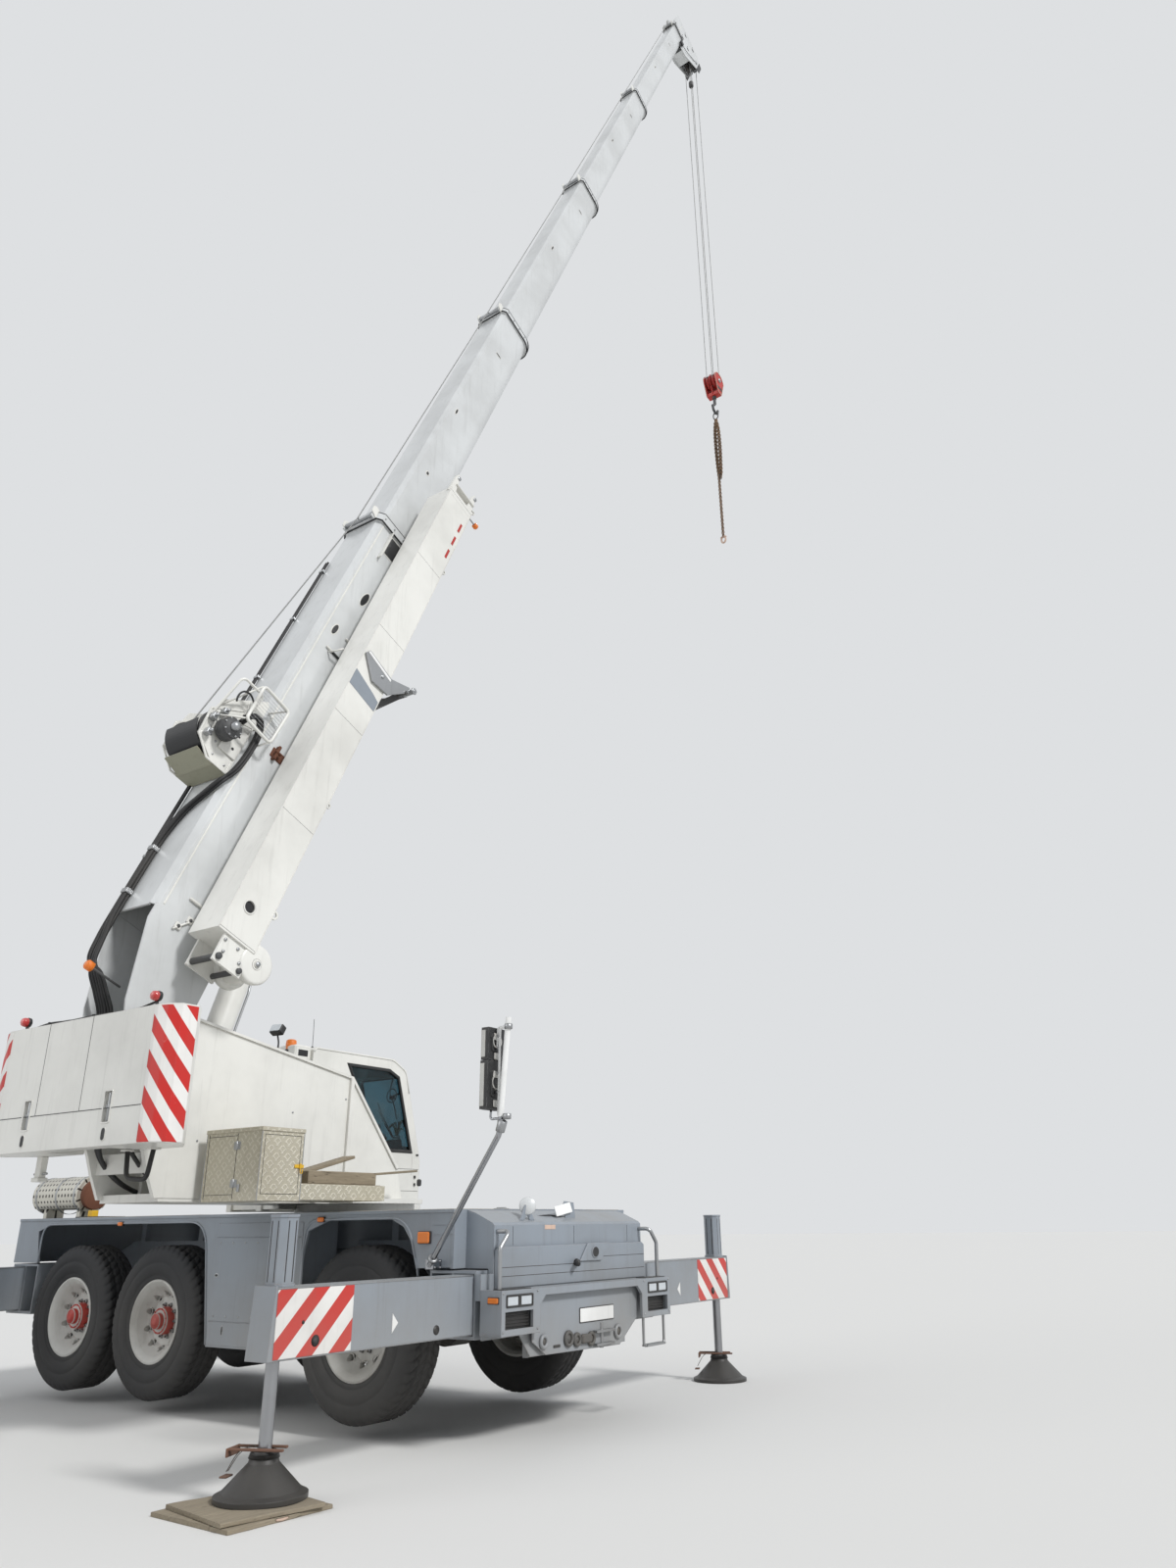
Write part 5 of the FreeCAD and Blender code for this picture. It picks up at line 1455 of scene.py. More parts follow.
@dataclass
class Outriggers(Assembly):
    """Stripe plates, end plates, sleeves and foot brackets of the four outriggers, and the timber mat."""

    rows: tuple = (("front_right", 2.470, -1, 3.070, 0.050, 1), ("front_left", 2.245, 1, 3.300, 0.0, 1),
                   ("rear_right", -3.805, -1, 3.070, 0.0, -1), ("rear_left", -3.580, 1, 3.070, 0.0, -1))
    z: tuple = (0.792, 1.212)
    half: float = 0.100
    sleeve: float = 0.079
    sleeve_top: float = 1.638
    pitch: float = 0.198

    def build(self) -> None:
        """Builds the outriggers' details."""
        zones = []
        for tag, x, side, y, foot, face in self.rows:
            self.beam(tag, x, side, y, face)
            self.foot(tag, x, side * y, foot)
            zones.append(((x - 0.05, side * y - 0.05, foot + 0.246), (x + 0.05, side * y + 0.05, 1.3), Style.CHROME))
        skin = self.mats.zoned("jack_finish", Style.BLACK, zones)
        for tag, *_ in self.rows:
            self.frame["nodes"][f"outrigger_jack_{tag}"].data.materials[0] = skin
        self.mat()

    def beam(self, tag: str, x: float, side: int, y: float, face: int) -> None:
        """Plates, holes, arrow, lips, end plate and jack sleeve of one beam.

        Args:
            tag: outrigger name.
            x: beam's middle.
            side: 1 left, -1 right.
            y: distance of the jack from the middle.
            face: 1 where the stripes look forward, -1 where they look back.
        """
        z0, z1 = self.z
        offset = 0.101 if side < 0 else 0.055
        stripes = self.mats.stripes(f"warning_{tag}", (0.0, 0.7071, 0.7071 * side), self.pitch, offset)
        shape = Shape(f"beam_fittings_{tag}")
        fx = x + face * self.half
        a, b = side * (y - 0.57), side * (y + 0.092)
        shape.use(0).block((fx - face * 0.001, a, z0 + 0.010), (fx + face * 0.002, b, z1 - 0.012), 0.0008)
        for yy, zz, r in ((y - 0.25, 0.885, 0.034), (y - 1.42, 0.860, 0.032), (y - 0.135, 1.000, 0.011)):
            for sgn, top in ((face, 0.004), (-face, 0.003)):
                c = (x + sgn * (self.half - 0.001), side * yy, zz)
                shape.use(2).lathe([(0.001, top), (r, top), (r, 0.0)], c, (sgn, 0, 0), 24)
        arrow = [(side * (y - 0.955), 0.872), (side * (y - 0.955), 1.000), (side * (y - 1.015), 0.936)]
        shape.use(3).slab(arrow, x + face * (self.half - 0.001), x + face * (self.half + 0.002), 0)
        lip_a, lip_b = side * (y - 2.0), side * (y + 0.10)
        shape.use(1)
        for sgn in (-1, 1):
            inner, outer = x + sgn * (self.half - 0.002), x + sgn * (self.half + 0.0025)
            for low, high in ((z1 - 0.010, z1 - 0.001), (z0 + 0.001, z0 + 0.008)):
                shape.block((inner, lip_a, low), (outer, lip_b, high), 0.001)
        end = side * (y + 0.100)
        shape.use(4).slab([(end, z0), (end + side * 0.040, z0), (end + side * 0.014, z1 + 0.010), (end, z1 + 0.010)],
                          x - 0.106, x + 0.106, 0, 0.003)
        s, c = self.sleeve, 0.034
        ring = [(s, s - c), (s - c, s), (-s + c, s), (-s, s - c), (-s, -s + c), (-s + c, -s), (s - c, -s), (s, -s + c)]
        centre = np.array([x, side * y])
        outline = np.array(ring) + centre
        shape.band(outline, 0.012, z1 - 0.002, self.sleeve_top, 2)
        shape.slab(centre + np.array(ring) * 1.06, self.sleeve_top - 0.012, self.sleeve_top + 0.008, 2, 0.003)
        shape.band(centre + np.array(ring) * 1.10, 0.016, z1 - 0.001, z1 + 0.018, 2)
        low, high, jack_y = z1 + 0.03, self.sleeve_top - 0.03, side * y
        shape.use(2)
        for k in (-0.030, 0.030):
            shape.block((x + k - 0.004, jack_y - s - 0.001, low), (x + k + 0.004, jack_y - s + 0.002, high), 0.0005)
            shape.block((x + s - 0.002, jack_y + k - 0.004, low), (x + s + 0.001, jack_y + k + 0.004, high), 0.0005)
        self.finish(shape, f"beam_{tag}", stripes, Style.STEEL, Style.BLACK, Style.WHITE, Style.GREY)

    def foot(self, tag: str, x: float, y: float, foot: float) -> None:
        """Rusty carrying bar across a foot's neck with its strap and wire, and the neck's clamp ring.

        Args:
            tag: outrigger name.
            x, y: the jack's place.
            foot: height of the foot's sole.
        """
        top = foot + 0.246
        shape = Shape(f"foot_bracket_{tag}")
        shape.use(0).lathe([(0.050, 0.004), (0.050, -0.002), (0.086, -0.002), (0.090, -0.020), (0.096, -0.030),
                            (0.088, -0.010), (0.078, 0.006)], (x, y, top), UP, 36)
        turn = shift(x, y, top + 0.010) @ rotation(2, 24)
        shape.use(1).at(turn).block((-0.215, -0.075, 0.0), (0.150, -0.050, 0.014), 0.002)
        shape.block((-0.215, 0.050, 0.0), (0.120, 0.075, 0.014), 0.002)
        shape.block((-0.215, -0.085, -0.034), (-0.203, 0.085, 0.014), 0.002)
        shape.slab([(-0.215, 0.0), (-0.203, 0.0), (-0.240, -0.135), (-0.258, -0.135)], -0.028, 0.028, 1)
        shape.block((-0.262, -0.045, -0.150), (-0.215, 0.045, -0.140), 0.002)
        shape.use(2)
        for end in (-0.02, 0.02):
            shape.tube(smooth_path([(-0.050, end, 0.002), (-0.110, end * 2.4, 0.012), (-0.175, end, -0.030),
                                    (-0.235, end * 0.5, -0.120)]), 0.0028, 6)
        shape.at(HERE).bolts((x, y, foot + 0.026), UP, 0.270, 8, 0.008, 0.005)
        self.finish(shape, f"jack_{tag}", Style.BLACK, Style.RUST, Style.DARK)

    def mat(self) -> None:
        """Two worn layers of sleepers: each board's edges waver by a few millimetres, from sines of the length."""
        shape = Shape("timber_layers")
        for turn, dx, half, z0, z1, split in ((-11.0, 0.012, 0.336, 0.026, 0.050, (-0.34, -0.115, 0.10, 0.34)),
                                              (-3.0, -0.010, 0.370, 0.0, 0.0245, (-0.375, -0.19, 0.0, 0.20, 0.375))):
            shape.at(shift(2.470 + dx, -3.190, 0) @ rotation(2, turn))
            for k, (a, b) in enumerate(zip(split[:-1], split[1:])):
                y = np.linspace(-half, half, 26)
                wave = 0.0025 * np.sin(y * 23 + 2.1 * k) + 0.0015 * np.sin(y * 61 + k)
                sag = 0.0012 * np.sin(y * 17 + 1.3 * k) - 0.0008
                ring = []
                for px, pz in ((a + 0.002, z0), (b - 0.002, z0), (b - 0.001, z0 + 0.003), (b - 0.001, z1 - 0.005),
                               (b - 0.005, z1 - 0.0005), (a + 0.005, z1 - 0.0005), (a + 0.001, z1 - 0.005),
                               (a + 0.001, z0 + 0.003)):
                    lift = sag if pz > z1 - 0.004 else 0.0 * sag
                    ring.append(np.stack([px + wave * (0.6 if px > 0.5 * (a + b) else -0.6), y, pz + lift], -1))
                grid = np.array(ring).swapaxes(0, 1)
                caps = [end * 0.02 + end.mean(axis=1, keepdims=True) * 0.98 for end in (grid[:1], grid[-1:])]
                shape.use(0).grid(np.concatenate([caps[0], grid, caps[1]]), wrap_v=True, smooth=False)
        shape.use(1).tube(smooth_path([(0.335, 0.06, 0.020), (0.366, 0.045, 0.014), (0.374, 0.0, 0.010),
                                       (0.366, -0.045, 0.014), (0.335, -0.06, 0.020)]), 0.008, 10)
        self.finish(shape, Body.CARRIER, self.mats.timber(), Style.PATCH, replaces=["timber_mat"])


@dataclass
class Superstructure(Assembly):
    """Counterweight dressing, toolbox, tray timbers, silencer end and the turntable's fasteners."""

    rear_a: float = -3.270
    top: float = 3.178
    bottom: float = 2.155
    seam_z: float = 2.430
    latch_b: float = 0.560
    corner: tuple = ((-3.270, 1.000), (-3.270, 1.040), (-3.245, 1.130), (-3.180, 1.216), (-3.035, 1.216))
    box_a: tuple = (-2.280, -1.840)
    box_b: tuple = (-1.200, -0.510)
    box_z: tuple = (1.765, 2.322)

    def build(self) -> None:
        """Builds the superstructure's details."""
        for job in (self.counterweight, self.top_lamps, self.toolbox, self.tray, self.turntable, self.silencer):
            job()

    def counterweight(self) -> None:
        """Striped skins round both rear corners, block seams, latch bars and the grab loop beneath."""
        for side, tag in ((-1, "right"), (1, "left")):
            mat = self.mats.stripes(f"corner_stripes_{tag}", (-0.7071 * side, 0.7071, 0.7071), 0.1888, 0.0726)
            path = np.array([(a, side * b) for a, b in self.corner])
            away = np.array([(-1, 0), (-1, 0), (-0.92, 0.39), (-0.39, 0.92), (0, 1)], float) * (1, side)
            outline = np.concatenate([path + 0.003 * away, (path - 0.001 * away)[::-1]])
            skin = Shape(f"corner_stripes_{tag}", UPPER)
            skin.slab(outline, self.bottom + 0.006, self.top - 0.012, 2)
            self.finish(skin, Body.UPPER, mat)
        shape = Shape("counterweight_fittings", UPPER)
        a, z = self.rear_a, self.seam_z
        shape.use(0).slab([(a - 0.0015, -0.99), (a + 0.001, -0.99), (a + 0.001, 0.99), (a - 0.0015, 0.99)], z,
                          z + 0.006)
        for b in (-0.188, 0.430):
            shape.block((a - 0.0012, b, z), (a + 0.001, b + 0.005, self.top - 0.002), 0.0004)
        for sgn in (-1, 1):
            b = sgn * self.latch_b
            shape.use(1).band(rounded(b - 0.058, b + 0.058, 2.318, 2.572, 0.020), 0.013, a - 0.006, a + 0.002, 0)
            shape.use(2).rod((a + 0.018, b, 2.335), (a + 0.018, b, 2.555), 0.014, 14)
            shape.block((a + 0.006, b - 0.034, 2.430), (a + 0.034, b + 0.034, 2.462), 0.004)
            shape.use(1).slab(rounded(b - 0.033, b + 0.033, 2.188, 2.296, 0.032), a - 0.003, a + 0.001, 0, 0.001)
            shape.use(0).slab(rounded(b - 0.024, b + 0.024, 2.197, 2.288, 0.0235), a - 0.0035, a, 0)
        shape.use(0).block((a + 0.03, -1.02, self.top - 0.001), (a + 0.036, 1.02, self.top + 0.002), 0.001)
        shape.use(3).tube(bent_path([(-2.90, -0.350, 2.160), (-2.90, -0.375, 1.945), (-2.90, -0.640, 1.920),
                                     (-2.90, -0.690, 2.160)], 0.06), 0.019, 12)
        for b in (-0.350, -0.690):
            shape.use(1).block((-2.945, b - 0.030, 2.140), (-2.855, b + 0.030, 2.156), 0.003)
        shape.use(1).block((-2.90, 0.86, 1.965), (-2.84, 0.94, 2.157), 0.005)
        shape.block((-2.915, 0.845, 1.950), (-2.825, 0.955, 1.985), 0.006)
        shape.use(2).rod((-2.87, 0.80, 2.015), (-2.87, 0.99, 2.015), 0.010, 10)
        self.finish(shape, Body.UPPER, Style.BLACK, Style.CREAM, Style.STEEL, Style.HOSE, slot="crane_paint")

    def top_lamps(self) -> None:
        """Red lamps on stalks at both ends of the counterweight with their cable clipped along the top."""
        shape = Shape("counterweight_lamps", UPPER)
        for b, h in ((-0.76, 0.125), (1.12, 0.115)):
            shape.use(1).rod((-3.10, b, self.top - 0.002), (-3.10, b, self.top + h), 0.012, 10)
            shape.block((-3.13, b - 0.03, self.top - 0.001), (-3.07, b + 0.03, self.top + 0.010), 0.003)
            shape.use(0).lathe([(0.001, 0.058), (0.020, 0.056), (0.034, 0.046), (0.040, 0.026), (0.040, 0.004)],
                               (-3.105, b, self.top + h - 0.006), BACK, 24)
            shape.use(1).lathe([(0.041, 0.006), (0.044, 0.0), (0.040, -0.024), (0.020, -0.036), (0.001, -0.036)],
                               (-3.105, b, self.top + h - 0.006), BACK, 24)
        run = [(-3.09, -0.76, self.top + 0.085), (-3.15, -0.60, self.top + 0.030), (-3.20, -0.42, self.top + 0.012), (-3.22, -0.10, self.top + 0.016), (-3.23, 0.24, self.top + 0.010),
               (-3.23, 0.52, self.top + 0.020), (-3.20, 0.78, self.top + 0.012), (-3.15, 0.98, self.top + 0.024), (-3.10, 1.12, self.top + 0.070)]
        shape.use(2).tube(smooth_path(run), 0.010, 8)
        for a, b in ((-3.22, -0.10), (-3.23, 0.52)):
            shape.use(1).block((a - 0.018, b - 0.010, self.top - 0.001), (a + 0.018, b + 0.010, self.top + 0.030),
                               0.003)
        shape.use(3)
        for b in (-0.62, 0.62):
            shape.tube(bent_path([(-3.03, b - 0.07, self.top - 0.004), (-3.03, b - 0.07, self.top + 0.075),
                                  (-3.03, b + 0.07, self.top + 0.075), (-3.03, b + 0.07, self.top - 0.004)], 0.04),
                       0.014, 10)
        self.finish(shape, Body.UPPER, Lens.RED_LENS, Style.BLACK, Style.HOSE, Style.STEEL)

    def toolbox(self) -> None:
        """Lid lip, corner angles, door with hinges and hasps on the tread-plate box."""
        (a0, a1), (b0, b1), (z0, z1) = self.box_a, self.box_b, self.box_z
        plate = self.mats.chequer()
        shape = Shape("toolbox_trim", UPPER)
        shape.use(0).block((a0 - 0.008, b0 - 0.008, z1 - 0.030), (a1 + 0.008, b1 + 0.008, z1 + 0.004), 0.004)
        for a, b in ((a0, b0), (a0, b1), (a1, b0)):
            shape.use(1).block((a - 0.004, b - 0.004, z0 - 0.002), (a + 0.004, b + 0.004, z1 - 0.030), 0.003)
        for b in (-0.905, -0.545):
            shape.use(2).block((a0 - 0.0015, b, z0 + 0.02), (a0 + 0.001, b + 0.005, z1 - 0.035), 0.0004)
        for z in (1.815, 2.265):
            shape.use(2).block((a0 - 0.0015, -0.905, z), (a0 + 0.001, -0.540, z + 0.004), 0.0004)
            shape.block((a0 + 0.03, b0 - 0.0015, z), (a1 - 0.03, b0 + 0.001, z + 0.004), 0.0004)
        for a in (a0 + 0.03, a1 - 0.034):
            shape.block((a, b0 - 0.0015, 1.815), (a + 0.004, b0 + 0.001, 2.269), 0.0004)
        for z in (1.90, 2.19):
            shape.use(3).rod((a0 - 0.007, -0.905, z - 0.035), (a0 - 0.007, -0.905, z + 0.035), 0.007, 10)
            shape.block((a0 - 0.004, -0.945, z - 0.030), (a0, -0.865, z + 0.030), 0.0015)
        shape.use(3).block((a0 - 0.012, -0.985, 1.835), (a0, -0.955, 1.895), 0.004)
        shape.use(4).block((a1 - 0.085, b0 - 0.009, 2.018), (a1 + 0.012, b0, 2.046), 0.002)
        shape.block((a1 - 0.040, b0 - 0.020, 2.010), (a1 - 0.020, b0 - 0.006, 2.054), 0.004)
        shape.tube(bent_path([(a1 - 0.030, b0 - 0.016, 2.012), (a1 - 0.030, b0 - 0.016, 1.978),
                              (a1 - 0.008, b0 - 0.016, 1.978), (a1 - 0.008, b0 - 0.016, 2.012)], 0.010), 0.004, 8)
        self.finish(shape, Body.UPPER, plate, Style.STEEL, Style.BLACK, Style.STEEL, Style.YELLOW)

    def tray(self) -> None:
        """Sawn timbers stowed in the tray: three sleepers, one square beam, a leaning board and a thin plank."""
        shape = Shape("stowed_timbers", UPPER)
        for k in range(3):
            b = -1.175 + 0.150 * k
            shape.block((-1.812, b, 1.800), (-0.886, b + 0.140, 1.905), 0.005)
        shape.block((-1.70, -1.13, 1.906), (-0.905, -1.00, 2.010), 0.006)
        shape.block((-1.10, -0.99, 1.906), (-0.90, -0.86, 2.018), 0.006)
        shape.at(shift(-1.72, -0.97, 1.955) @ rotation(1, -14.5)).block((0, 0, 0), (0.72, 0.16, 0.026), 0.003)
        shape.at(shift(-0.90, -0.82, 1.985) @ rotation(1, -4.5) @ rotation(2, 3)).block((-0.45, 0, 0),
                (0.92, 0.10, 0.020), 0.003)
        self.finish(shape, Body.UPPER, self.mats.timber())

    def turntable(self) -> None:
        """Slew ring bolts, pivot caps with keepers, cylinder hoses, door seams and fasteners on the side plates."""
        shape = Shape("turntable_fittings", UPPER)
        shape.use(0).bolts((0.0, 0.0, 1.784), UP, 0.590, 36, 0.014, 0.012)
        for side in (-1, 1):
            b = side * 0.425
            shape.use(1).lathe([(0.001, 0.018), (0.060, 0.018), (0.068, 0.010), (0.068, 0.0)],
                               (SIZE.pivot_a, b, SIZE.pivot_z), (0, side, 0), 32)
            shape.use(0).block((-2.935, b, 2.655), (-2.855, b + side * 0.012, 2.690), 0.002)
            shape.bolts((SIZE.pivot_a, b, SIZE.pivot_z), (0, side, 0), 0.085, 6, 0.011, 0.010)
            out = side * 0.400
            for a, z in ((-2.30, 2.25), (-1.30, 2.55), (-0.65, 2.72)):
                shape.nut((a, out, z), (0, side, 0), 0.010, 0.006)
        for z in (1.838, 1.862):
            shape.use(1).rod((0.212 - 0.004, -0.30, z), (0.212 - 0.004, 0.33, z), 0.006, 8)
        for k in range(6):
            b = (0.06 + 0.036 * k) if k < 4 else (-0.06 - 0.036 * (k - 4))
            side = 1 if k < 4 else -1
            low = side * 0.20 + 0.3 * b
            run = [(-2.895, b, 2.735), (-2.905, b, 2.60), (-2.870, b + side * 0.05, 2.36), (-2.760, low, 2.12),
                   (-2.560, low, 1.94), (-2.300, low, 1.83)]
            shape.use(2).tube(smooth_path(run, 8), 0.0155, 8)
        shape.use(1).slab([(2.020, -0.628), (2.020, -0.580), (2.905, -0.571), (2.925, -0.616)], -0.430, -0.399, 1,
                          0.004)
        self.finish(shape, Body.UPPER, Style.STEEL, Style.CREAM, Style.HOSE, slot="crane_paint")

    def silencer(self) -> None:
        """Rusty end dish, straps, outlet and the yellow box beside the drum."""
        x, (y, z) = -2.960, SIZE.silencer_yz
        shape = Shape("silencer_fittings")
        shape.use(0).lathe([(0.001, 0.016), (0.060, 0.015), (0.125, 0.008), (0.143, 0.002), (0.152, 0.004),
                            (0.153, -0.010), (0.150, -0.060)], (x, y, z), AHEAD, 48)
        for s in (-3.80, -3.42, -3.08):
            shape.use(1).lathe([(0.1905, -0.014), (0.194, -0.012), (0.194, 0.012), (0.1905, 0.014)], (s, y, z), AHEAD,
                               48)
        shape.use(2).block((-2.845, -1.150, 1.690), (-2.765, -1.075, 1.762), 0.005)
        shape.use(3).block((-3.05, -1.16, 1.690), (-2.60, -0.86, 1.702), 0.003)
        self.finish(shape, Body.CARRIER, Style.RUST, Style.STEEL, Style.YELLOW, Style.BLACK)


@dataclass
class Cab(Assembly):
    """Window seals, cushions, controls, beacon, lamps and fittings of the cab, and the carrier's mirrors."""

    b: tuple = (0.424, 1.216)
    middle: float = 0.820
    right_window: tuple = ((0.110, 3.220), (0.770, 3.220), (0.930, 3.150), (1.200, 2.330), (0.640, 2.330))
    door_window: tuple = ((-0.150, 2.350), (-0.150, 3.130), (0.740, 3.130), (0.850, 3.075), (1.060, 2.400),
                          (1.060, 2.350))
    front_window: tuple = ((1.0435, 3.165), (1.2745, 2.395))
    roof: float = 3.335
    mirror_y: float = -1.840

    def build(self) -> None:
        """Builds the cab's details."""
        for job in (self.seals, self.outside, self.beacon, self.door, self.seat, self.controls, self.mirrors):
            job()

    def seals(self) -> None:
        """Black seals round the fixed windows: flat rings on the panes' outlines, a rubber bar round the sloping front pane."""
        shape = Shape("window_seals", UPPER)
        right = upright(self.right_window)
        b0, b1 = self.b
        shape.use(0).band(right, 0.034, b0 - 0.005, b0 + 0.016, 1)
        outer = np.array(inset_outline(np.array(right)[::-1], -0.014))
        shape.band(outer, 0.016, b0 - 0.010, b0 + 0.004, 1)
        shape.band([(b0 + 0.110, 2.500), (b1 - 0.110, 2.500), (b1 - 0.110, 3.150), (b0 + 0.110, 3.150)], 0.024, -0.388,
                   -0.366, 0)
        shape.band([(-0.010, b0 + 0.090), (0.760, b0 + 0.090), (0.760, b1 - 0.090), (-0.010, b1 - 0.090)], 0.024,
                   self.roof - 0.016, self.roof + 0.007, 2)
        (a1, z1), (a0, z0) = self.front_window
        ring = [(a1, b0 + 0.072, z1), (a1, b1 - 0.072, z1), (a0, b1 - 0.072, z0), (a0, b0 + 0.072, z0)]
        mid = tuple(np.mean([ring[3], ring[0]], axis=0))
        shape.tube(bent_path([mid, *ring, mid], 0.05), 0.016, 8, ends=False)
        foot = 1.262
        for dz in (0.55, 0.70):
            shape.tube(bent_path([(foot, 0.70, 2.400), (foot - dz * 0.20, 0.86, 2.43 + dz * 0.5),
                                  (foot - dz * 0.26, 0.90, 2.45 + dz * 0.66)], 0.02), 0.007, 8)
        shape.block((1.255, 0.655, 2.375), (1.290, 0.745, 2.402), 0.005)
        self.finish(shape, Body.CAB, Style.PLASTIC, slot="plastic")

    def outside(self) -> None:
        """Gutter, roof box, seam lines, air grille, work lamps, steps and grab bars."""
        b0, b1 = self.b
        shape = Shape("cab_fittings", UPPER)
        shape.use(0).block((-0.600, 0.452, 3.185), (-0.379, 0.800, self.roof + 0.004), 0.016)
        shape.use(1).block((-0.560, 0.4505, 3.225), (-0.430, 0.4530, 3.290), 0.001)
        shape.use(0)
        for b in (b0 - 0.004, b1 - 0.008):
            shape.tube(bent_path([(-0.37, b + 0.006, 3.285), (-0.34, b + 0.006, 3.325), (0.82, b + 0.006, 3.325),
                                  (1.035, b + 0.006, 3.215), (1.10, b + 0.006, 2.98)], 0.06), 0.011, 8)
        for z in (2.16, 1.93):
            shape.use(1).block((0.215, b0 - 0.0012, z), (1.315, b0 + 0.001, z + 0.004), 0.0004)
        shape.block((1.3285, b0 + 0.05, 2.19), (1.3312, b1 - 0.05, 2.194), 0.0004)
        for z in np.arange(1.93, 2.12, 0.022):
            shape.use(2).block((1.329, b0 + 0.16, z), (1.336, b1 - 0.16, z + 0.008), 0.003)
        shape.use(2).block((0.895, b0 + 0.03, 3.245), (0.935, b0 + 0.06, 3.300), 0.008)
        for z in (2.02, 2.10):
            shape.use(2).rod((1.255, b0 - 0.004, z - 0.035), (1.255, b0 - 0.004, z - 0.005), 0.013, 10)
        shape.use(2).block((1.300, b0 - 0.012, 1.985), (1.372, b0 + 0.045, 2.060), 0.012)
        shape.block((1.262, b0 - 0.012, 2.305), (1.300, b0 + 0.01, 2.325), 0.004)
        shape.use(3).slab(rounded(b0 - 0.004, b0 + 0.037, 1.993, 2.052, 0.008), 1.371, 1.376, 0, 0.001)
        shape.use(0).slab([(b0 - 0.002, 2.100), (b0 + 0.004, 2.100), (b0 + 0.004, 2.300), (b0 - 0.002, 2.300)], 1.20,
                          1.204, 0)
        shape.tube(bent_path([(-0.30, b1 + 0.004, 2.30), (-0.30, b1 + 0.060, 2.32), (-0.30, b1 + 0.060, 2.95),
                              (-0.30, b1 + 0.004, 2.97)], 0.03), 0.011, 10)
        self.finish(shape, Body.CAB, Style.CREAM, Style.BLACK, Style.PLASTIC, Lens.CLEAR_LENS, slot="crane_paint")

    def beacon(self) -> None:
        """Amber beacon and work lamp on a bracket behind the cab, and the aerial."""
        shape = Shape("beacon", UPPER)
        shape.use(1).block((-0.600, 0.540, 3.262), (-0.378, 0.640, 3.274), 0.003)
        shape.block((-0.392, 0.545, 3.14), (-0.379, 0.635, 3.268), 0.003)
        shape.lathe([(0.001, 0.0), (0.062, 0.0), (0.064, 0.012), (0.056, 0.026), (0.001, 0.026)],
                    (-0.545, 0.590, 3.274), UP, 32)
        shape.use(0).lathe([(0.054, 0.024), (0.058, 0.030), (0.056, 0.060), (0.057, 0.080), (0.052, 0.118),
                            (0.036, 0.128), (0.001, 0.130)], (-0.545, 0.590, 3.274), UP, 32)
        shape.use(1).block((-0.735, 0.560, 3.262), (-0.590, 0.620, 3.270), 0.003)
        shape.tube(bent_path([(-0.715, 0.590, 3.268), (-0.715, 0.590, 3.360), (-0.735, 0.590, 3.420)], 0.02), 0.009, 10)
        lamp = shift(-0.745, 0.590, 3.480) @ rotation(2, 188) @ rotation(1, -28)
        shape.at(lamp).slab(rounded(-0.075, 0.075, -0.050, 0.050, 0.018), -0.050, 0.035, 0, 0.014)
        shape.use(2).slab(rounded(-0.064, 0.064, -0.040, 0.040, 0.014), 0.033, 0.041, 0, 0.002)
        shape.use(1).at(HERE).rod((-0.235, 0.610, self.roof - 0.003), (-0.235, 0.610, self.roof + 0.035), 0.012, 10)
        shape.tube(np.array([(-0.235, 0.610, self.roof + 0.03), (-0.237, 0.610, self.roof + 0.18),
                             (-0.243, 0.610, self.roof + 0.325)]), 0.0028, 6)
        self.finish(shape, Body.CAB, Lens.AMBER_LENS, Style.PLASTIC, Lens.CLEAR_LENS)

    def door(self) -> None:
        """Seal round the door's window, its seam and lock."""
        b = self.b[1]
        shape = Shape("door_fittings", UPPER)
        shape.use(0).band(upright(self.door_window), 0.026, b - 0.004, b + 0.006, 1)
        shape.use(1).lathe([(0.001, 0.010), (0.020, 0.010), (0.024, 0.0)], (0.10, b, 2.18), (0, 1, 0), 20)
        shape.use(0).block((-0.20, b - 0.001, 2.150), (1.14, b + 0.002, 2.156), 0.0006)
        shape.use(2).slab(upright(self.door_window), b - 0.001, b + 0.003, 1, 0.0005)
        self.finish(shape, Body.DOOR, Style.PLASTIC, Style.STEEL, Lens.DARK_WINDOW)

    def pad(self, shape: Shape, centre: Vec, half: Vec, tilt: float, power: float = 0.32, crown: float = 0.18) -> None:
        """Adds one crowned cushion: a superellipsoid whose top swells with the cosine of the distance from its middle.

        Args:
            shape: shape that collects it.
            centre: its middle.
            half: half sizes along a, b, z.
            tilt: lean in degrees.
            power: how square it is, 1 being an ellipsoid.
            crown: share by which the middle stands proud of the rim.
        """
        u = np.linspace(0, TURN, 48, endpoint=False)[:, None]
        v = np.linspace(-math.pi / 2, math.pi / 2, 25)[None, :]
        x, y, z = np.cos(u) * np.cos(v), np.sin(u) * np.cos(v), np.sin(v) + 0 * u
        x, y, z = (np.sign(c) * np.abs(c) ** power for c in (x, y, z))
        swell = 1.0 + crown * np.cos(x * 1.35) * np.cos(y * 1.35) - crown * 0.4
        channel = 1.0 - 0.05 * np.exp(-((np.abs(y) - 0.55) / 0.035) ** 2) - 0.05 * np.exp(-((x - 0.1) / 0.04) ** 2)
        pts = np.stack([x * half[0] * (1 - 0.03 * z * z), y * half[1] * (1 - 0.03 * z * z),
                        z * half[2] * swell * channel], -1)
        shape.at(shift(*centre) @ rotation(1, tilt)).grid(pts, wrap_u=True)

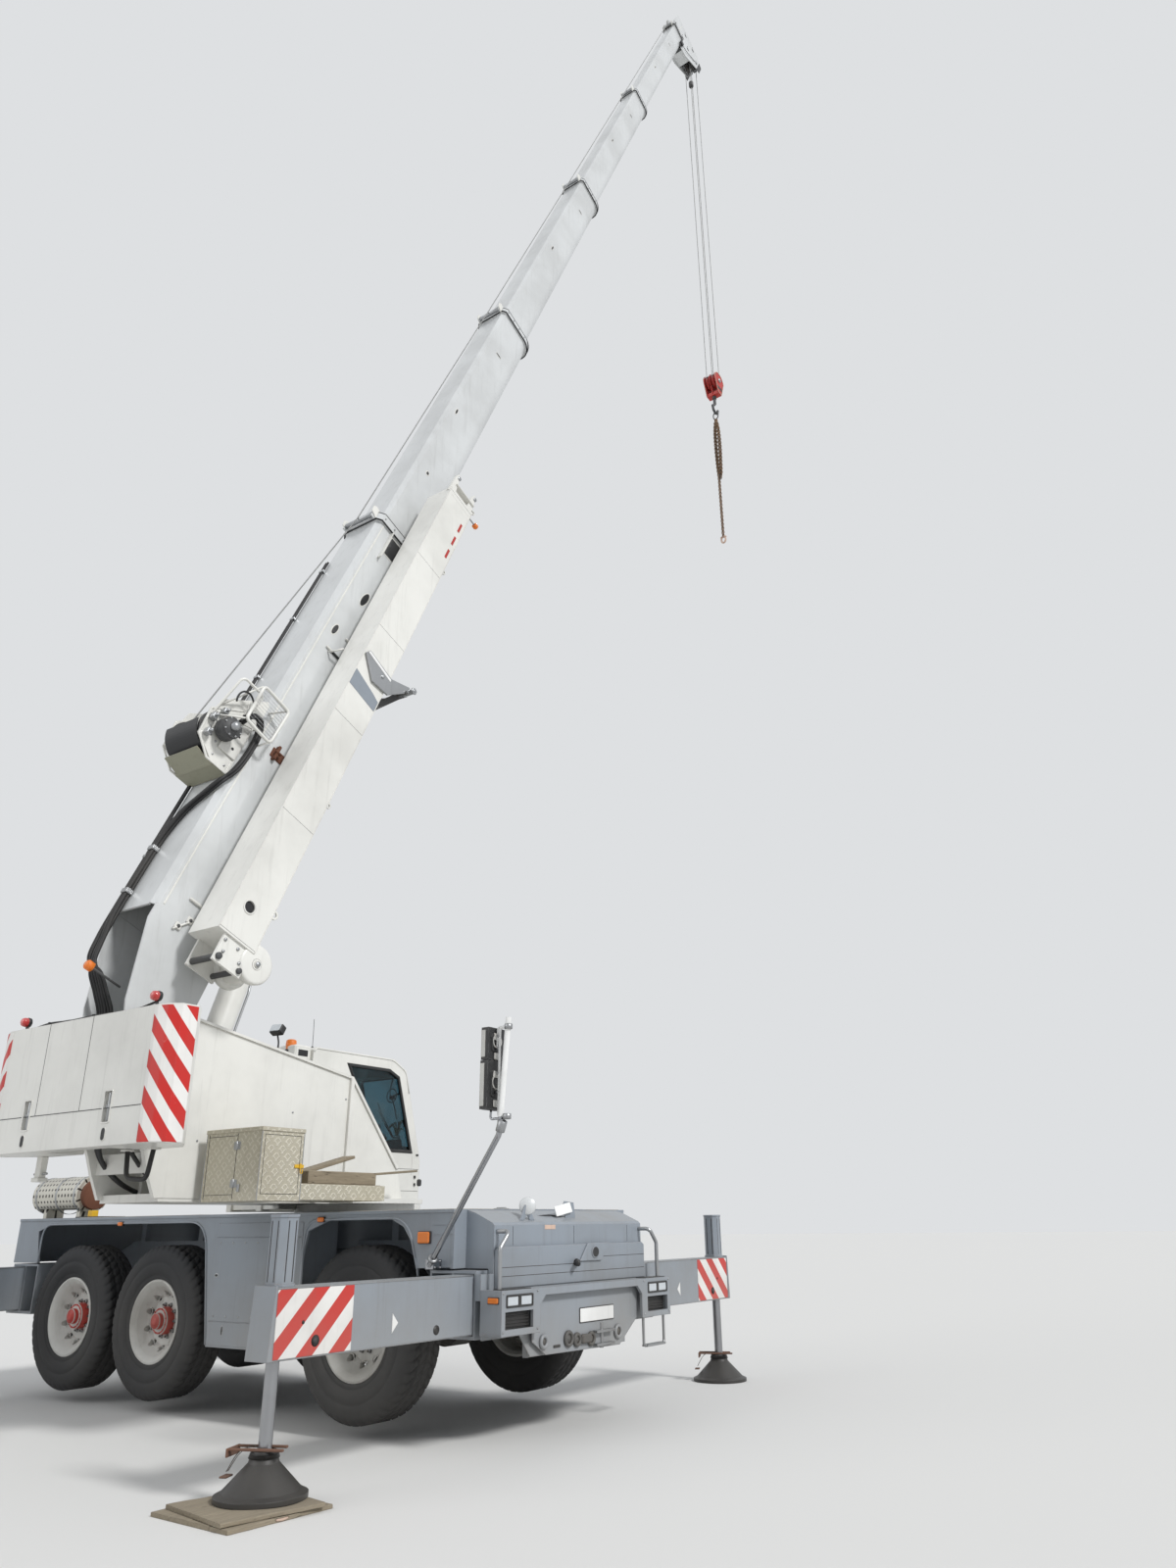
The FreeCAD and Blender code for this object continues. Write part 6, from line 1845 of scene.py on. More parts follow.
    def seat(self) -> None:
        """Seat with cushion, back and headrest in cloth, on its shell, slides and suspension bellows."""
        c = self.middle
        cloth = Shape("seat_cushions", UPPER)
        self.pad(cloth, (0.310, c, 2.245), (0.245, 0.235, 0.058), -3.0)
        self.pad(cloth, (0.060, c, 2.600), (0.300, 0.225, 0.055), -78.5)
        self.pad(cloth, (-0.030, c, 3.010), (0.078, 0.118, 0.040), -84.0, 0.5)
        seat = self.finish(cloth, Body.CAB, self.mats.fabric(), replaces=["cab_seat"])
        shape = Shape("seat_frame", UPPER)
        for k in range(5):
            z = 1.90 + 0.052 * k
            shape.use(0).slab(rounded(0.115 + 0.012 * (k % 2), 0.465 - 0.012 * (k % 2), c - 0.145, c + 0.145, 0.03), z,
                              z + 0.051, 2, 0.012)
        shape.block((0.10, c - 0.150, 1.861), (0.48, c + 0.150, 1.900), 0.008)
        shape.block((0.08, c - 0.200, 2.160), (0.52, c + 0.200, 2.192), 0.010)
        for side in (-1, 1):
            cheek, arm = c + side * 0.245, c + side * 0.275
            shape.use(1).rod((-0.022, c + side * 0.05, 2.88), (-0.030, c + side * 0.05, 2.99), 0.008, 8)
            shape.use(0).slab([(2.225, 0.02), (2.235, 0.14), (2.420, 0.09), (2.410, -0.02)], cheek - 0.012,
                              cheek + 0.012, 1, 0.004)
            shape.block((0.10, arm - 0.045, 2.440), (0.46, arm + 0.045, 2.490), 0.018)
            shape.block((0.12, c + side * 0.262 - 0.015, 2.200), (0.18, c + side * 0.262 + 0.015, 2.450), 0.006)
            shape.tube(smooth_path([(0.42, arm, 2.485), (0.43, arm, 2.560), (0.41, c + side * 0.272, 2.640)]), 0.011, 8)
            shape.lathe([(0.001, -0.004), (0.020, 0.0), (0.026, 0.026), (0.022, 0.060), (0.001, 0.070)],
                        (0.41, c + side * 0.272, 2.630), (-0.1, 0, 1), 16)
        self.finish(shape, Body.CAB, Style.PLASTIC, Style.CHROME)

    def controls(self) -> None:
        """Console with blank screens, steering wheel, its column, pedals and a small fan."""
        b0, b1 = self.b[0] + 0.062, self.b[1] - 0.062
        shape = Shape("cab_controls", UPPER)
        face = [(2.452, 0.862), (2.482, 1.080), (2.205, 1.178), (1.862, 1.178), (1.862, 1.082), (2.300, 1.078),
                (2.402, 0.862)]
        shape.use(0).slab(face, b0, b1, 1, 0.008)
        for y, w in ((0.62, 0.085), (0.82, 0.115), (1.03, 0.060)):
            shape.use(0).at(shift(0.905, y, 2.47) @ rotation(1, -58)).block((-0.010, -w, 0.0), (0.020, w, 0.145), 0.010)
            shape.use(1).block((-0.0125, -w + 0.014, 0.018), (-0.009, w - 0.014, 0.130), 0.001)
        shape.use(0).at(HERE).rod((0.985, self.middle, 2.400), (0.800, self.middle, 2.555), 0.026, 16)
        n, u, w = frame_of((-0.5, 0, 1))
        hub = np.array([0.800, self.middle, 2.560])
        shape.tube(hoop(hub, 0.190 * u, 0.190 * w, 48), 0.0145, 10, closed=True)
        for k in (0, 2.1, 4.2):
            shape.rod(hub, hub + 0.188 * (math.cos(k) * u + math.sin(k) * w), 0.011, 10)
        shape.lathe([(0.045, -0.02), (0.052, 0.0), (0.040, 0.018), (0.001, 0.024)], hub, n, 24)
        shape.rod((0.96, 0.530, 2.95), (1.03, 0.500, 2.98), 0.010, 8)
        shape.tube(hoop((0.94, 0.54, 2.95), (0, 0.075, 0), (0, 0, 0.075), 24), 0.006, 6, closed=True)
        for c in (0.70, 0.94):
            shape.use(0).at(shift(1.03, c, 1.90) @ rotation(1, 55)).block((-0.06, -0.04, 0), (0.06, 0.04, 0.012), 0.004)
        paper = [(1.17, b0 + 0.03, 2.36, 0.13, 0.10), (1.02, b0 + 0.05, 2.45, 0.11, 0.09),
                 (0.88, b0 + 0.10, 2.50, 0.10, 0.07)]
        for a, b, z, w, h in paper:
            shape.use(2).at(shift(a, b, z) @ rotation(2, 12) @ rotation(0, 8)).block((-w / 2, 0, -h / 2),
                    (w / 2, 0.003, h / 2), 0.001)
        shape.use(0).at(HERE).tube(smooth_path([(0.93, 0.52, 3.15), (0.90, 0.53, 2.98), (0.99, 0.55, 2.86),
                                                (1.06, 0.56, 2.70)]), 0.006, 6)
        shape.lathe([(0.001, -0.03), (0.030, -0.024), (0.036, 0.012), (0.028, 0.016)], (0.93, 0.52, 2.93), UP, 16)
        for k in range(9):
            t = 0.7 * k
            cos, sin = math.cos(t), math.sin(t)
            leaf = [(1.12, 0.60, 2.50), (1.12 + 0.05 * cos, 0.60 + 0.05 * sin, 2.60 + 0.012 * k),
                    (1.12 + 0.10 * cos, 0.60 + 0.10 * sin, 2.60 + 0.02 * (k % 3))]
            shape.use(3).tube(smooth_path(leaf, 5), 0.008, 5)
        shape.use(2).lathe([(0.001, 0.0), (0.030, 0.0), (0.040, 0.07), (0.034, 0.07)], (1.12, 0.60, 2.455), UP, 16)
        self.finish(shape, Body.CAB, Style.PLASTIC, Lens.DARK_SCREEN, Style.WHITE, Lens.LEAF_GREEN)

    def mirrors(self) -> None:
        """Black mirror housings with ribs drawn pale as a painted highlight, clamps and stays on the front right arm,
        and the clamp at its elbow.
        """
        skin = self.mats.zoned("mirror_finish", Style.CHROME,
                               [((3.16, -1.96, 2.34), (3.242, -1.72, 2.97), Style.PLASTIC),
                                ((3.242, -2.1, 2.30), (3.6, -1.6, 3.2), Style.WHITE)])
        self.frame["nodes"]["mirror_arm"].data.materials[0] = skin
        shape, y = Shape("mirror_fittings"), self.mirror_y
        for z, h, w in ((2.830, 0.120, 0.095), (2.530, 0.175, 0.100)):
            shape.use(0).slab(rounded(y - w - 0.002, y + w + 0.002, z - h - 0.002, z + h + 0.002, 0.030), 3.160, 3.236,
                              0, 0.010)
            shape.use(1).slab(rounded(y - w + 0.012, y + w - 0.012, z - h + 0.012, z + h - 0.012, 0.024), 3.1585, 3.161,
                              0, 0.0005)
            # Pale ribs, strips and rings on the black housings (slot 4): a painted highlight, the black ribs drawn pale
            # as if lit.
            shape.use(4).block((3.166, y - w - 0.004, z - h + 0.02), (3.205, y - w - 0.001, z + h - 0.02), 0.001)
            for dz, wide in ((-0.78 * h, 0.032), (0.42 * h, 0.040)):
                shape.use(4).block((3.236, y - wide, z + dz - 0.022), (3.246, y + wide, z + dz + 0.030), 0.006)
            shape.use(0).band(rounded(-1.905, -1.775, z - 0.5 * h, z + 0.6 * h, 0.030), 0.014, 3.234, 3.244, 0)
            shape.use(4).band(oval(y, z + 0.02, 0.052, 0.052, 24), 0.008, 3.236, 3.2455, 0)
            for clamp in (z - 0.3 * h, z + 0.5 * h):
                shape.use(2).rod((3.240, -1.842, clamp), (3.268, -1.842, clamp), 0.012, 10)
        shape.use(3).tube(bent_path([(3.350, -1.848, 2.300), (3.268, -1.842, 2.300), (3.268, -1.842, 2.950),
                                     (3.350, -1.848, 2.950)], 0.03), 0.010, 10)
        for z in (2.30, 2.95):
            shape.use(2).lathe([(0.0235, -0.020), (0.031, -0.018), (0.031, 0.018), (0.0235, 0.020)], (3.355, -1.850, z),
                               UP, 20)
        shape.use(2).lathe([(0.0235, -0.045), (0.034, -0.040), (0.036, 0.0), (0.034, 0.040), (0.0235, 0.045)],
                           (3.305, -1.850, 2.235), (0.45, -0.1, 1.0), 20)
        shape.use(2).lathe([(0.0235, -0.012), (0.040, -0.010), (0.040, 0.010), (0.0235, 0.012)], (2.262, -1.372, 1.328),
                           (1.081, -0.505, 0.901), 20)
        for b, z in ((-1.33, 1.262), (-1.27, 1.262), (-1.33, 1.308), (-1.27, 1.308)):
            shape.nut((2.246, b, z), AHEAD, 0.008, 0.006)
        self.finish(shape, Body.CARRIER, Style.PLASTIC, Style.CHROME, Style.STEEL, Style.WHITE, Style.RIM)


@dataclass
class Boom(Assembly):
    """Collars, guides, openings, brackets, hoses and ropes along the telescoping boom, and its head."""

    names: tuple = ("boom", "section_1", "section_2", "section_3", "section_4")
    collar: tuple = (0.120, 0.090, 0.090, 0.090, 0.060)
    slots: tuple = (  # section, d, t, half length, half width, tilt, both sides
        (0, 5.95, 0.275, 0.115, 0.040, 8), (0, 5.25, 0.415, 0.080, 0.030, 8),
        (0, 6.55, 0.100, 0.060, 0.050, 0), (1, 12.05, 0.290, 0.055, 0.014, 90), (1, 10.10, 0.430, 0.060, 0.016, 0), (1, 8.60, 0.350, 0.030, 0.022, 0),
        (2, 18.00, 0.250, 0.050, 0.014, 90), (2, 16.00, 0.380, 0.060, 0.016, 0), (3, 23.60, 0.300, 0.045, 0.014, 90), (3, 21.70, 0.390, 0.055, 0.015, 0),
        (4, 29.30, 0.330, 0.040, 0.013, 90), (4, 27.20, 0.360, 0.045, 0.014, 0))
    rope_r: float = 0.008

    def build(self) -> None:
        """Builds the boom's details."""
        for k in range(5):
            self.section(k)
        self.base()
        self.hoses()
        self.ropes()
        self.head()

    def end(self, k: int) -> float:
        """Place of a section's end along the boom."""
        return SIZE.base_end + k * SIZE.step

    def outline(self, k: int, grow: float) -> list:
        """Section outline: flat top with chamfers, upright sides and a belly of two quarter ellipses.

        Args:
            k: section.
            grow: distance outside the solid.
        Returns:
            Points across and up.
        """
        w, top, bot = SIZE.sections[k]
        w, top, bot = w + grow, top + grow, bot - grow
        r, c = 0.86 * w, 0.18 * w
        t = np.radians(np.linspace(0, 90, 9))
        right = [(0.3 * w + 0.7 * w * math.cos(a), bot + r - r * math.sin(a)) for a in t]
        left = [(-x, y) for x, y in right[::-1]]
        return left + [(-w, top - c), (-w + c, top), (w - c, top), (w, top - c)] + right

    def section(self, k: int) -> None:
        """Dark rims, bolts and rope roller of one collar, with the openings in that section's sides. The rims are
        partly black edges and partly painted shade in the gaps by the collar; the openings are black ovals of painted
        shade.

        Args:
            k: section, 0 being the base.
        """
        w, top, bot = SIZE.sections[k]
        d = self.end(k)
        shape = Shape(f"collar_fittings_{k}", BOOM)
        # Black rims at both ends of the collar: partly its black edge, partly painted shade in the gap beside it.
        for at in (d - 0.003, d - self.collar[k] - 0.003):
            shape.use(0).band(self.outline(k, 0.034), 0.020, at, at + 0.007, 0)
        shape.use(1).rod((d - 0.060, -w + 0.068, top + 0.072), (d - 0.060, w - 0.068, top + 0.072), 0.030, 20)
        for side in (-1, 1):
            for t in np.linspace(bot + 0.9 * w, top - 0.06, 4):
                shape.use(1).nut((d - 0.5 * self.collar[k], side * (w + 0.030), t), (0, side, 0), 0.012, 0.009)
            lug = [(d - 0.115, top + 0.020), (d + 0.030, top + 0.020), (d + 0.055, top + 0.085),
                   (d + 0.020, top + 0.128), (d - 0.060, top + 0.118)]
            shape.use(2).slab(upright(lug), side * (w - 0.045) - 0.006, side * (w - 0.045) + 0.006, 1, 0.002)
        for row, x, t, lx, lt, turn in self.slots:
            if row == k:
                for side in (-1, 1):
                    ring = oval(t, x, lt + 0.014, lx + 0.014, 24, turn) if turn < 90 else oval(t, x, lx + 0.010,
                            lt + 0.010, 24)
                    hole_shade = oval(t, x, lt, lx, 24, turn) if turn < 90 else oval(t, x, lx, lt, 24)
                    face = sorted((side * (w - 0.002), side * (w + 0.0025)))
                    shape.use(2).slab(ring, *face, 1, 0.001)
                    # Black oval inside each ring: painted shade for the dark inside of the opening.
                    shape.use(0).slab(hole_shade, side * w, side * (w + 0.0035), 1)
        self.finish(shape, self.names[k], Style.BLACK, Style.STEEL, Style.CREAM, slot="crane_paint")

    def base(self) -> None:
        """Recess drawn as a black sheet of painted shade, shelf, rusty bracket, handles, jib struts, lamp and
        stiffeners on the base section.
        """
        w, top, _ = SIZE.sections[0]
        shape = Shape("boom_base_fittings", BOOM)
        for side in (-1, 1):
            face = sorted((side * (w - 0.002), side * (w + 0.004)))
            # Black sheet in the recess: painted shade for its dark inside.
            shape.use(0).slab(rounded(0.115, 0.355, 6.78, 7.08, 0.020), *face, 1)
            shape.use(1).band(rounded(0.100, 0.370, 6.765, 7.095, 0.025), 0.014, face[0],
                              face[1] + (0.003 if side > 0 else 0), 1)
            shape.block((1.34, side * (w - 0.004), top - 0.105), (7.10, side * (w + 0.006), top - 0.085), 0.003)
            shape.block((1.34, side * (w - 0.004), 0.025), (7.10, side * (w + 0.006), 0.040), 0.003)
            for d, t0, t1 in ((1.535, 0.200, 0.350), (4.965, 0.310, 0.410), (5.265, 0.030, 0.250)):
                shape.use(1).slab(rounded(t0, t1, d - 0.014, d + 0.014, 0.013), side * (w - 0.002), side * (w + 0.024),
                                  1, 0.006)
            shape.use(0).slab(rounded(0.205, 0.315, 4.951, 4.979, 0.013), side * (w - 0.002), side * (w + 0.022), 1,
                              0.006)
        for d, t in ((1.25, 0.32), (1.36, 0.24), (1.46, 0.15)):
            shape.use(1).block((d - 0.030, -w - 0.020, t - 0.035), (d + 0.034, -w + 0.002, t + 0.035), 0.006)
            shape.use(3).rod((d, -w - 0.026, t), (d, -w - 0.016, t), 0.017, 12)
        shape.use(1).rod((1.20, -w - 0.014, 0.355), (1.50, -w - 0.014, 0.115), 0.010, 12)
        shape.use(2).block((3.30, -w - 0.055, 0.300), (3.47, -w + 0.002, 0.330), 0.004)
        shape.block((3.33, -w - 0.012, 0.20), (3.44, -w + 0.002, 0.36), 0.004)
        shape.rod((3.385, -w - 0.050, 0.345), (3.385, -w - 0.050, 0.270), 0.016, 12)
        shape.use(1).tube(bent_path([(4.93, -w + 0.002, 0.36), (4.93, -w - 0.09, 0.33), (4.99, -w - 0.15, 0.285)],
                                    0.03), 0.011, 10)
        shape.block((6.62, -w - 0.07, 0.395), (7.10, -w + 0.002, 0.407), 0.003)
        shape.use(3).rod((0.60, -0.10, 0.400), (0.60, -0.10, 0.700), 0.010, 10)
        shape.use(4).lathe([(0.030, 0.0), (0.042, 0.004), (0.042, 0.055), (0.028, 0.070), (0.001, 0.072)],
                           (0.60, -0.10, 0.700), UP, 20)
        self.finish(shape, Body.BOOM, Style.BLACK, Style.CREAM, Style.RUST, Style.DARK, Lens.AMBER_LENS)

    def hoses(self) -> None:
        """Hose bundle from the boom's foot along its top to the winch, with clips, and a pair up the left edge."""
        shape = Shape("boom_hoses", BOOM)
        for k in range(4):
            low, out = 0.030 * (k // 2), 0.034 * (k % 2)
            b, t = 0.155 + out, 0.648 + low
            foot = 0.06 + 0.036 * k
            loop = [(0.03, foot, 0.055), (0.12, foot, 0.20), (0.40, 0.07 + 0.036 * k, 0.295), (0.56, 0.08 + 0.036 * k, 0.430), (0.68, 0.09 + 0.036 * k, 0.550), (0.79, b - 0.015, 0.612), (1.00, b - 0.005, 0.640), (1.30, b, t), (1.80, b, t), (2.12, b - 0.02, t), (2.40, 0.02 + out, t + 0.004), (2.56, -0.17 + out, t + 0.010),
                    (2.68, -0.305 + out, 0.655 + low), (2.86, -0.330 - out, 0.600 + low), (3.10, -0.345 - out, 0.575 + low), (3.34, -0.360 - out, 0.590 + low), (3.47, -0.385 - out, 0.660 + low),
                    (3.44, -0.400 - out, 0.760 + low), (3.30, -0.400, 0.820 + low)]
            shape.use(0).tube(smooth_path(loop, 10), 0.0165, 8)
        for k in range(2):
            b = 0.240 + 0.032 * k
            run = [(0.03, -0.06 - 0.036 * k, 0.055), (0.12, -0.05 - 0.034 * k, 0.20), (0.40, -0.01 + 0.034 * k, 0.290),
                   (0.56, 0.02 + 0.034 * k, 0.425), (0.68, 0.05 + 0.034 * k, 0.545), (0.79, b - 0.03, 0.612),
                   (1.00, b - 0.006, 0.642), (1.45, b, 0.650), (3.00, b, 0.652), (4.60, b, 0.652), (5.60, b, 0.652),
                   (6.50, b, 0.652)]
            shape.tube(smooth_path(run, 10), 0.013, 8)
        ring = [(3.50 + 0.13 * math.cos(v), -0.40 - 0.02 * math.sin(v),
                 0.90 + 0.11 * math.sin(v)) for v in np.radians(np.linspace(-150, 120, 12))]
        shape.tube(smooth_path(ring, 5), 0.010, 8)
        for d in (1.45, 1.95):
            shape.use(1).block((d, 0.130, 0.627), (d + 0.05, 0.215, 0.706), 0.006)
        for d in (1.9, 3.2, 4.4, 5.4, 6.3):
            shape.use(1).block((d, 0.212, 0.627), (d + 0.035, 0.290, 0.672), 0.006)
        self.finish(shape, Body.BOOM, Style.HOSE, Style.STEEL)

    def ropes(self) -> None:
        """Hoist rope from the drum over each collar's roller to the head's top pulley, one run for each section."""
        stops = [(d - 0.060, SIZE.sections[k][1] + 0.072 + 0.030 + self.rope_r) for k,
                 d in enumerate(map(self.end, range(5)))]
        mats = [self.mats.rope()]
        first = Shape("hoist_run_0", BOOM)
        first.tube(np.linspace((3.20, 0.03, 1.078), (stops[0][0], 0.0, stops[0][1]), 14), self.rope_r, 8)
        first.done(mats, self.names[0])
        for k in range(1, 5):
            (d0, t0), (d1, t1) = stops[k - 1], stops[k]
            run = Shape(f"hoist_run_{k}", BOOM)
            run.tube(np.linspace((d0, 0, t0), (d1, 0, t1), 26), self.rope_r, 8)
            obj = run.done(mats, "")
            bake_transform(obj)
        last = Shape("hoist_run_5", BOOM)
        hd, top = SIZE.head_d, SIZE.sections[4][1] + 0.010
        arc = [(hd + 0.090 + 0.148 * math.sin(a), 0.0,
                top + 0.148 * math.cos(a)) for a in np.radians(np.linspace(-12, 80, 10))]
        last.tube(np.array([(stops[4][0], 0, stops[4][1])] + arc + [(hd + 0.262, 0.03, top - 0.35),
                (hd + 0.300, 0.065, -0.36)]), self.rope_r, 8)
        last.done(mats, self.names[4])

    def head(self) -> None:
        """Ribs, pulley flanges, rope anchor and dark guard plates of the boom's head."""
        w, top, _ = SIZE.sections[4]
        hd = SIZE.head_d
        sd, st = hd + SIZE.sheave[0], SIZE.sheave[1]
        shape = Shape("head_fittings", BOOM)
        for side in (-1, 1):
            out = side * (w + 0.014)
            shape.use(0).lathe([(0.001, 0.020), (0.048, 0.020), (0.055, 0.012), (0.055, 0.0)], (sd, out, st),
                               (0, side, 0), 28)
            shape.lathe([(0.001, 0.014), (0.036, 0.014), (0.040, 0.0)], (hd + 0.090, out, top + 0.010), (0, side, 0),
                        24)
            rib = [(hd + 0.05, 0.30), (hd + 0.60, 0.26), (hd + 0.60, 0.28), (hd + 0.05, 0.325)]
            shape.use(1).slab(upright(rib), out, out + side * 0.008, 1, 0.002)
            for d, t in ((hd + 0.12, 0.10), (hd + 0.48, 0.05), (hd + 0.10, -0.20), (hd + 0.52, -0.35)):
                shape.use(2).slab(oval(t, d, 0.055, 0.040, 20), out - side * 0.002, out + side * 0.002, 1)
                shape.use(0).nut((d + 0.09, out, t + 0.05), (0, side, 0), 0.012, 0.010)
            shape.use(2).slab([(st - 0.235, sd - 0.20), (st - 0.235, sd + 0.20), (st - 0.10, sd + 0.26),
                               (st - 0.10, sd - 0.24)], out + side * 0.001, out + side * 0.010, 1, 0.002)
        for d in (sd - 0.13, sd + 0.13):
            shape.use(0).rod((d, -w - 0.010, st - 0.130), (d, w + 0.010, st - 0.130), 0.012, 10)
        for b in (-0.105, 0.0, 0.105):
            shape.use(2).slab([(st - 0.08, sd - 0.10), (st + 0.19, sd - 0.05), (st + 0.22, sd + 0.06),
                               (st - 0.08, sd + 0.09)], b - 0.004, b + 0.004, 1)
        shape.use(3).rod((hd - 0.33, -w - 0.012, 0.06), (hd - 0.33, -w - 0.060, 0.06), 0.018, 12)
        shape.use(2).block((hd - 0.40, -w - 0.064, -0.01), (hd - 0.25, -w - 0.012, 0.12), 0.010)
        shape.tube(smooth_path([(hd - 0.33, -w - 0.04, -0.005), (hd - 0.22, -w - 0.04, -0.20),
                                (hd + 0.02, -w - 0.03, -0.40), (sd - 0.10, -w - 0.02, st + 0.06)]), 0.007, 6)
        self.finish(shape, self.names[4], Style.STEEL, Style.CREAM, Style.BLACK, Style.DARK)


@dataclass
class Winch(Assembly):
    """Rope on the drum, black cover, side-plate fasteners, motor fittings and the guard frame's mesh."""

    d: float = 3.150
    t: float = 0.900
    drum_r: float = 0.170
    half: float = 0.268
    guard_b: float = -0.470

    def build(self) -> None:
        """Builds the winch's details."""
        self.frame_details()
        self.drum()

    def frame_details(self) -> None:
        """Cover over the drum, olive shield below it, square guard frame with mesh, fasteners and valves."""
        d, t, h = self.d, self.t, self.half
        shape = Shape("winch_fittings", BOOM)
        arc = np.radians(np.linspace(98, 205, 20))
        outer = [(t + 0.262 * math.sin(a), d + 0.262 * math.cos(a)) for a in arc]
        inner = [(t + 0.250 * math.sin(a), d + 0.250 * math.cos(a)) for a in arc[::-1]]
        shape.use(0).slab(outer + inner, -h + 0.030, h - 0.030, 1)
        shape.use(1).slab([(0.640, d - 0.345), (0.820, d - 0.350), (0.840, d - 0.335), (0.840, d - 0.325),
                           (0.640, d - 0.332)], -h - 0.004, h + 0.004, 1, 0.002)
        shape.slab([(0.80, d - 0.352), (1.02, d - 0.300), (1.02, d - 0.290), (0.80, d - 0.336)], -h + 0.02, h - 0.02, 1,
                   0.002)
        edge = [(0.632, d - 0.34), (0.90, d - 0.345), (1.095, d - 0.185), (1.120, d + 0.14), (0.765, d + 0.425),
                (0.632, d + 0.425)]
        wedge = [(1.080, d + 0.13), (1.052, d + 0.315), (0.640, d + 0.685), (0.604, d + 0.650), (0.604, d + 0.30)]
        for side in (-1, 1):
            shape.use(2).band(edge, 0.018, side * (h - 0.001), side * (h + 0.012), 1)
            shape.use(3).bolts((d, side * h, t), (0, side, 0), 0.130, 10, 0.012, 0.010)
            for x, z in ((d - 0.27, 0.70), (d + 0.34, 0.70), (d + 0.30, 0.80), (d - 0.26, 0.86)):
                shape.nut((x, side * h, z), (0, side, 0), 0.011, 0.009)
            shape.use(2).slab(wedge, side * h - 0.006, side * h + 0.006, 1, 0.002)
            shape.block((d + 0.30, side * (h - 0.010), 0.790), (d + 0.53, side * (h + 0.028), 0.806), 0.003)
        self.guard(shape)
        for x, z in ((3.02, 1.03), (3.20, 1.06), (3.33, 0.99)):
            shape.use(3).block((x - 0.035, -h - 0.075, z - 0.030), (x + 0.035, -h - 0.002, z + 0.030), 0.008)
            shape.rod((x, -h - 0.075, z), (x, -h - 0.115, z), 0.014, 10)
        shape.use(2).block((2.99, -h - 0.02, 0.640), (3.34, -h - 0.006, 0.860), 0.006)
        shape.use(0).slab(oval(0.72, 3.08, 0.016, 0.016, 14), -h - 0.022, -h - 0.0195, 1)
        shape.slab(oval(0.72, 3.24, 0.012, 0.012, 14), -h - 0.022, -h - 0.0195, 1)
        self.finish(shape, Body.BOOM, Style.BLACK, Style.OLIVE, Style.CREAM, Style.STEEL)

    def guard(self, shape: Shape) -> None:
        """Square frame beside the drum on four struts, with upright wires across it.

        Args:
            shape: shape that collects it.
        """
        b = self.guard_b
        p, q, r, s = (np.array([d, b, t]) for d, t in ((3.320, 0.842), (3.784, 0.850), (3.762, 0.483), (3.296, 0.501)))
        start = (3.55, b, 0.846)
        shape.use(2).tube(bent_path([start, q, r, s, p, start], 0.05), 0.0175, 10)
        for strut in (((3.385, -0.275, 1.050), (3.770, -0.462, 0.858)), ((3.230, -0.275, 1.075), (3.325, -0.462, 0.850)),
                      ((3.290, b, 0.520), (3.240, -0.300, 0.560)), ((3.760, b, 0.500), (3.700, -0.300, 0.590))):
            shape.tube(np.array(strut), 0.010, 8)
        for k in np.linspace(0.06, 0.94, 12):
            top = p + (q - p) * k
            shape.use(3).tube(np.array([top, top + (r - q)]), 0.0022, 4)

    def drum(self) -> None:
        """Rope on the drum: one helix of even radius, as a tube of six sides; flanged motor with bolts."""
        d, t = self.d, self.t
        turns, pitch, rope = 24, 0.0165, 0.008
        a = np.linspace(0, TURN * turns, turns * 20)
        r = self.drum_r + rope
        path = np.stack([d + r * np.cos(a), -0.198 + pitch * a / TURN, t + r * np.sin(a)], -1)
        coil = Shape("drum_rope", BOOM)
        coil.tube(path, rope, 6)
        self.finish(coil, Body.WINCH, self.mats.rope())
        shape = Shape("winch_motor", BOOM)
        out = (0, -1, 0)
        shape.use(0).lathe([(0.106, 0.004), (0.112, 0.004), (0.112, 0.030), (0.106, 0.034)], (d, -0.31, t), out, 32)
        shape.lathe([(0.106, 0.100), (0.111, 0.102), (0.111, 0.118), (0.104, 0.122), (0.085, 0.152), (0.001, 0.154)],
                    (d, -0.31, t), out, 32)
        shape.use(1).bolts((d, -0.452, t), out, 0.094, 8, 0.010, 0.010)
        shape.lathe([(0.001, 0.060), (0.040, 0.058), (0.044, 0.0)], (d, -0.46, t), out, 20)
        self.finish(shape, Body.WINCH, Style.DARK, Style.STEEL)


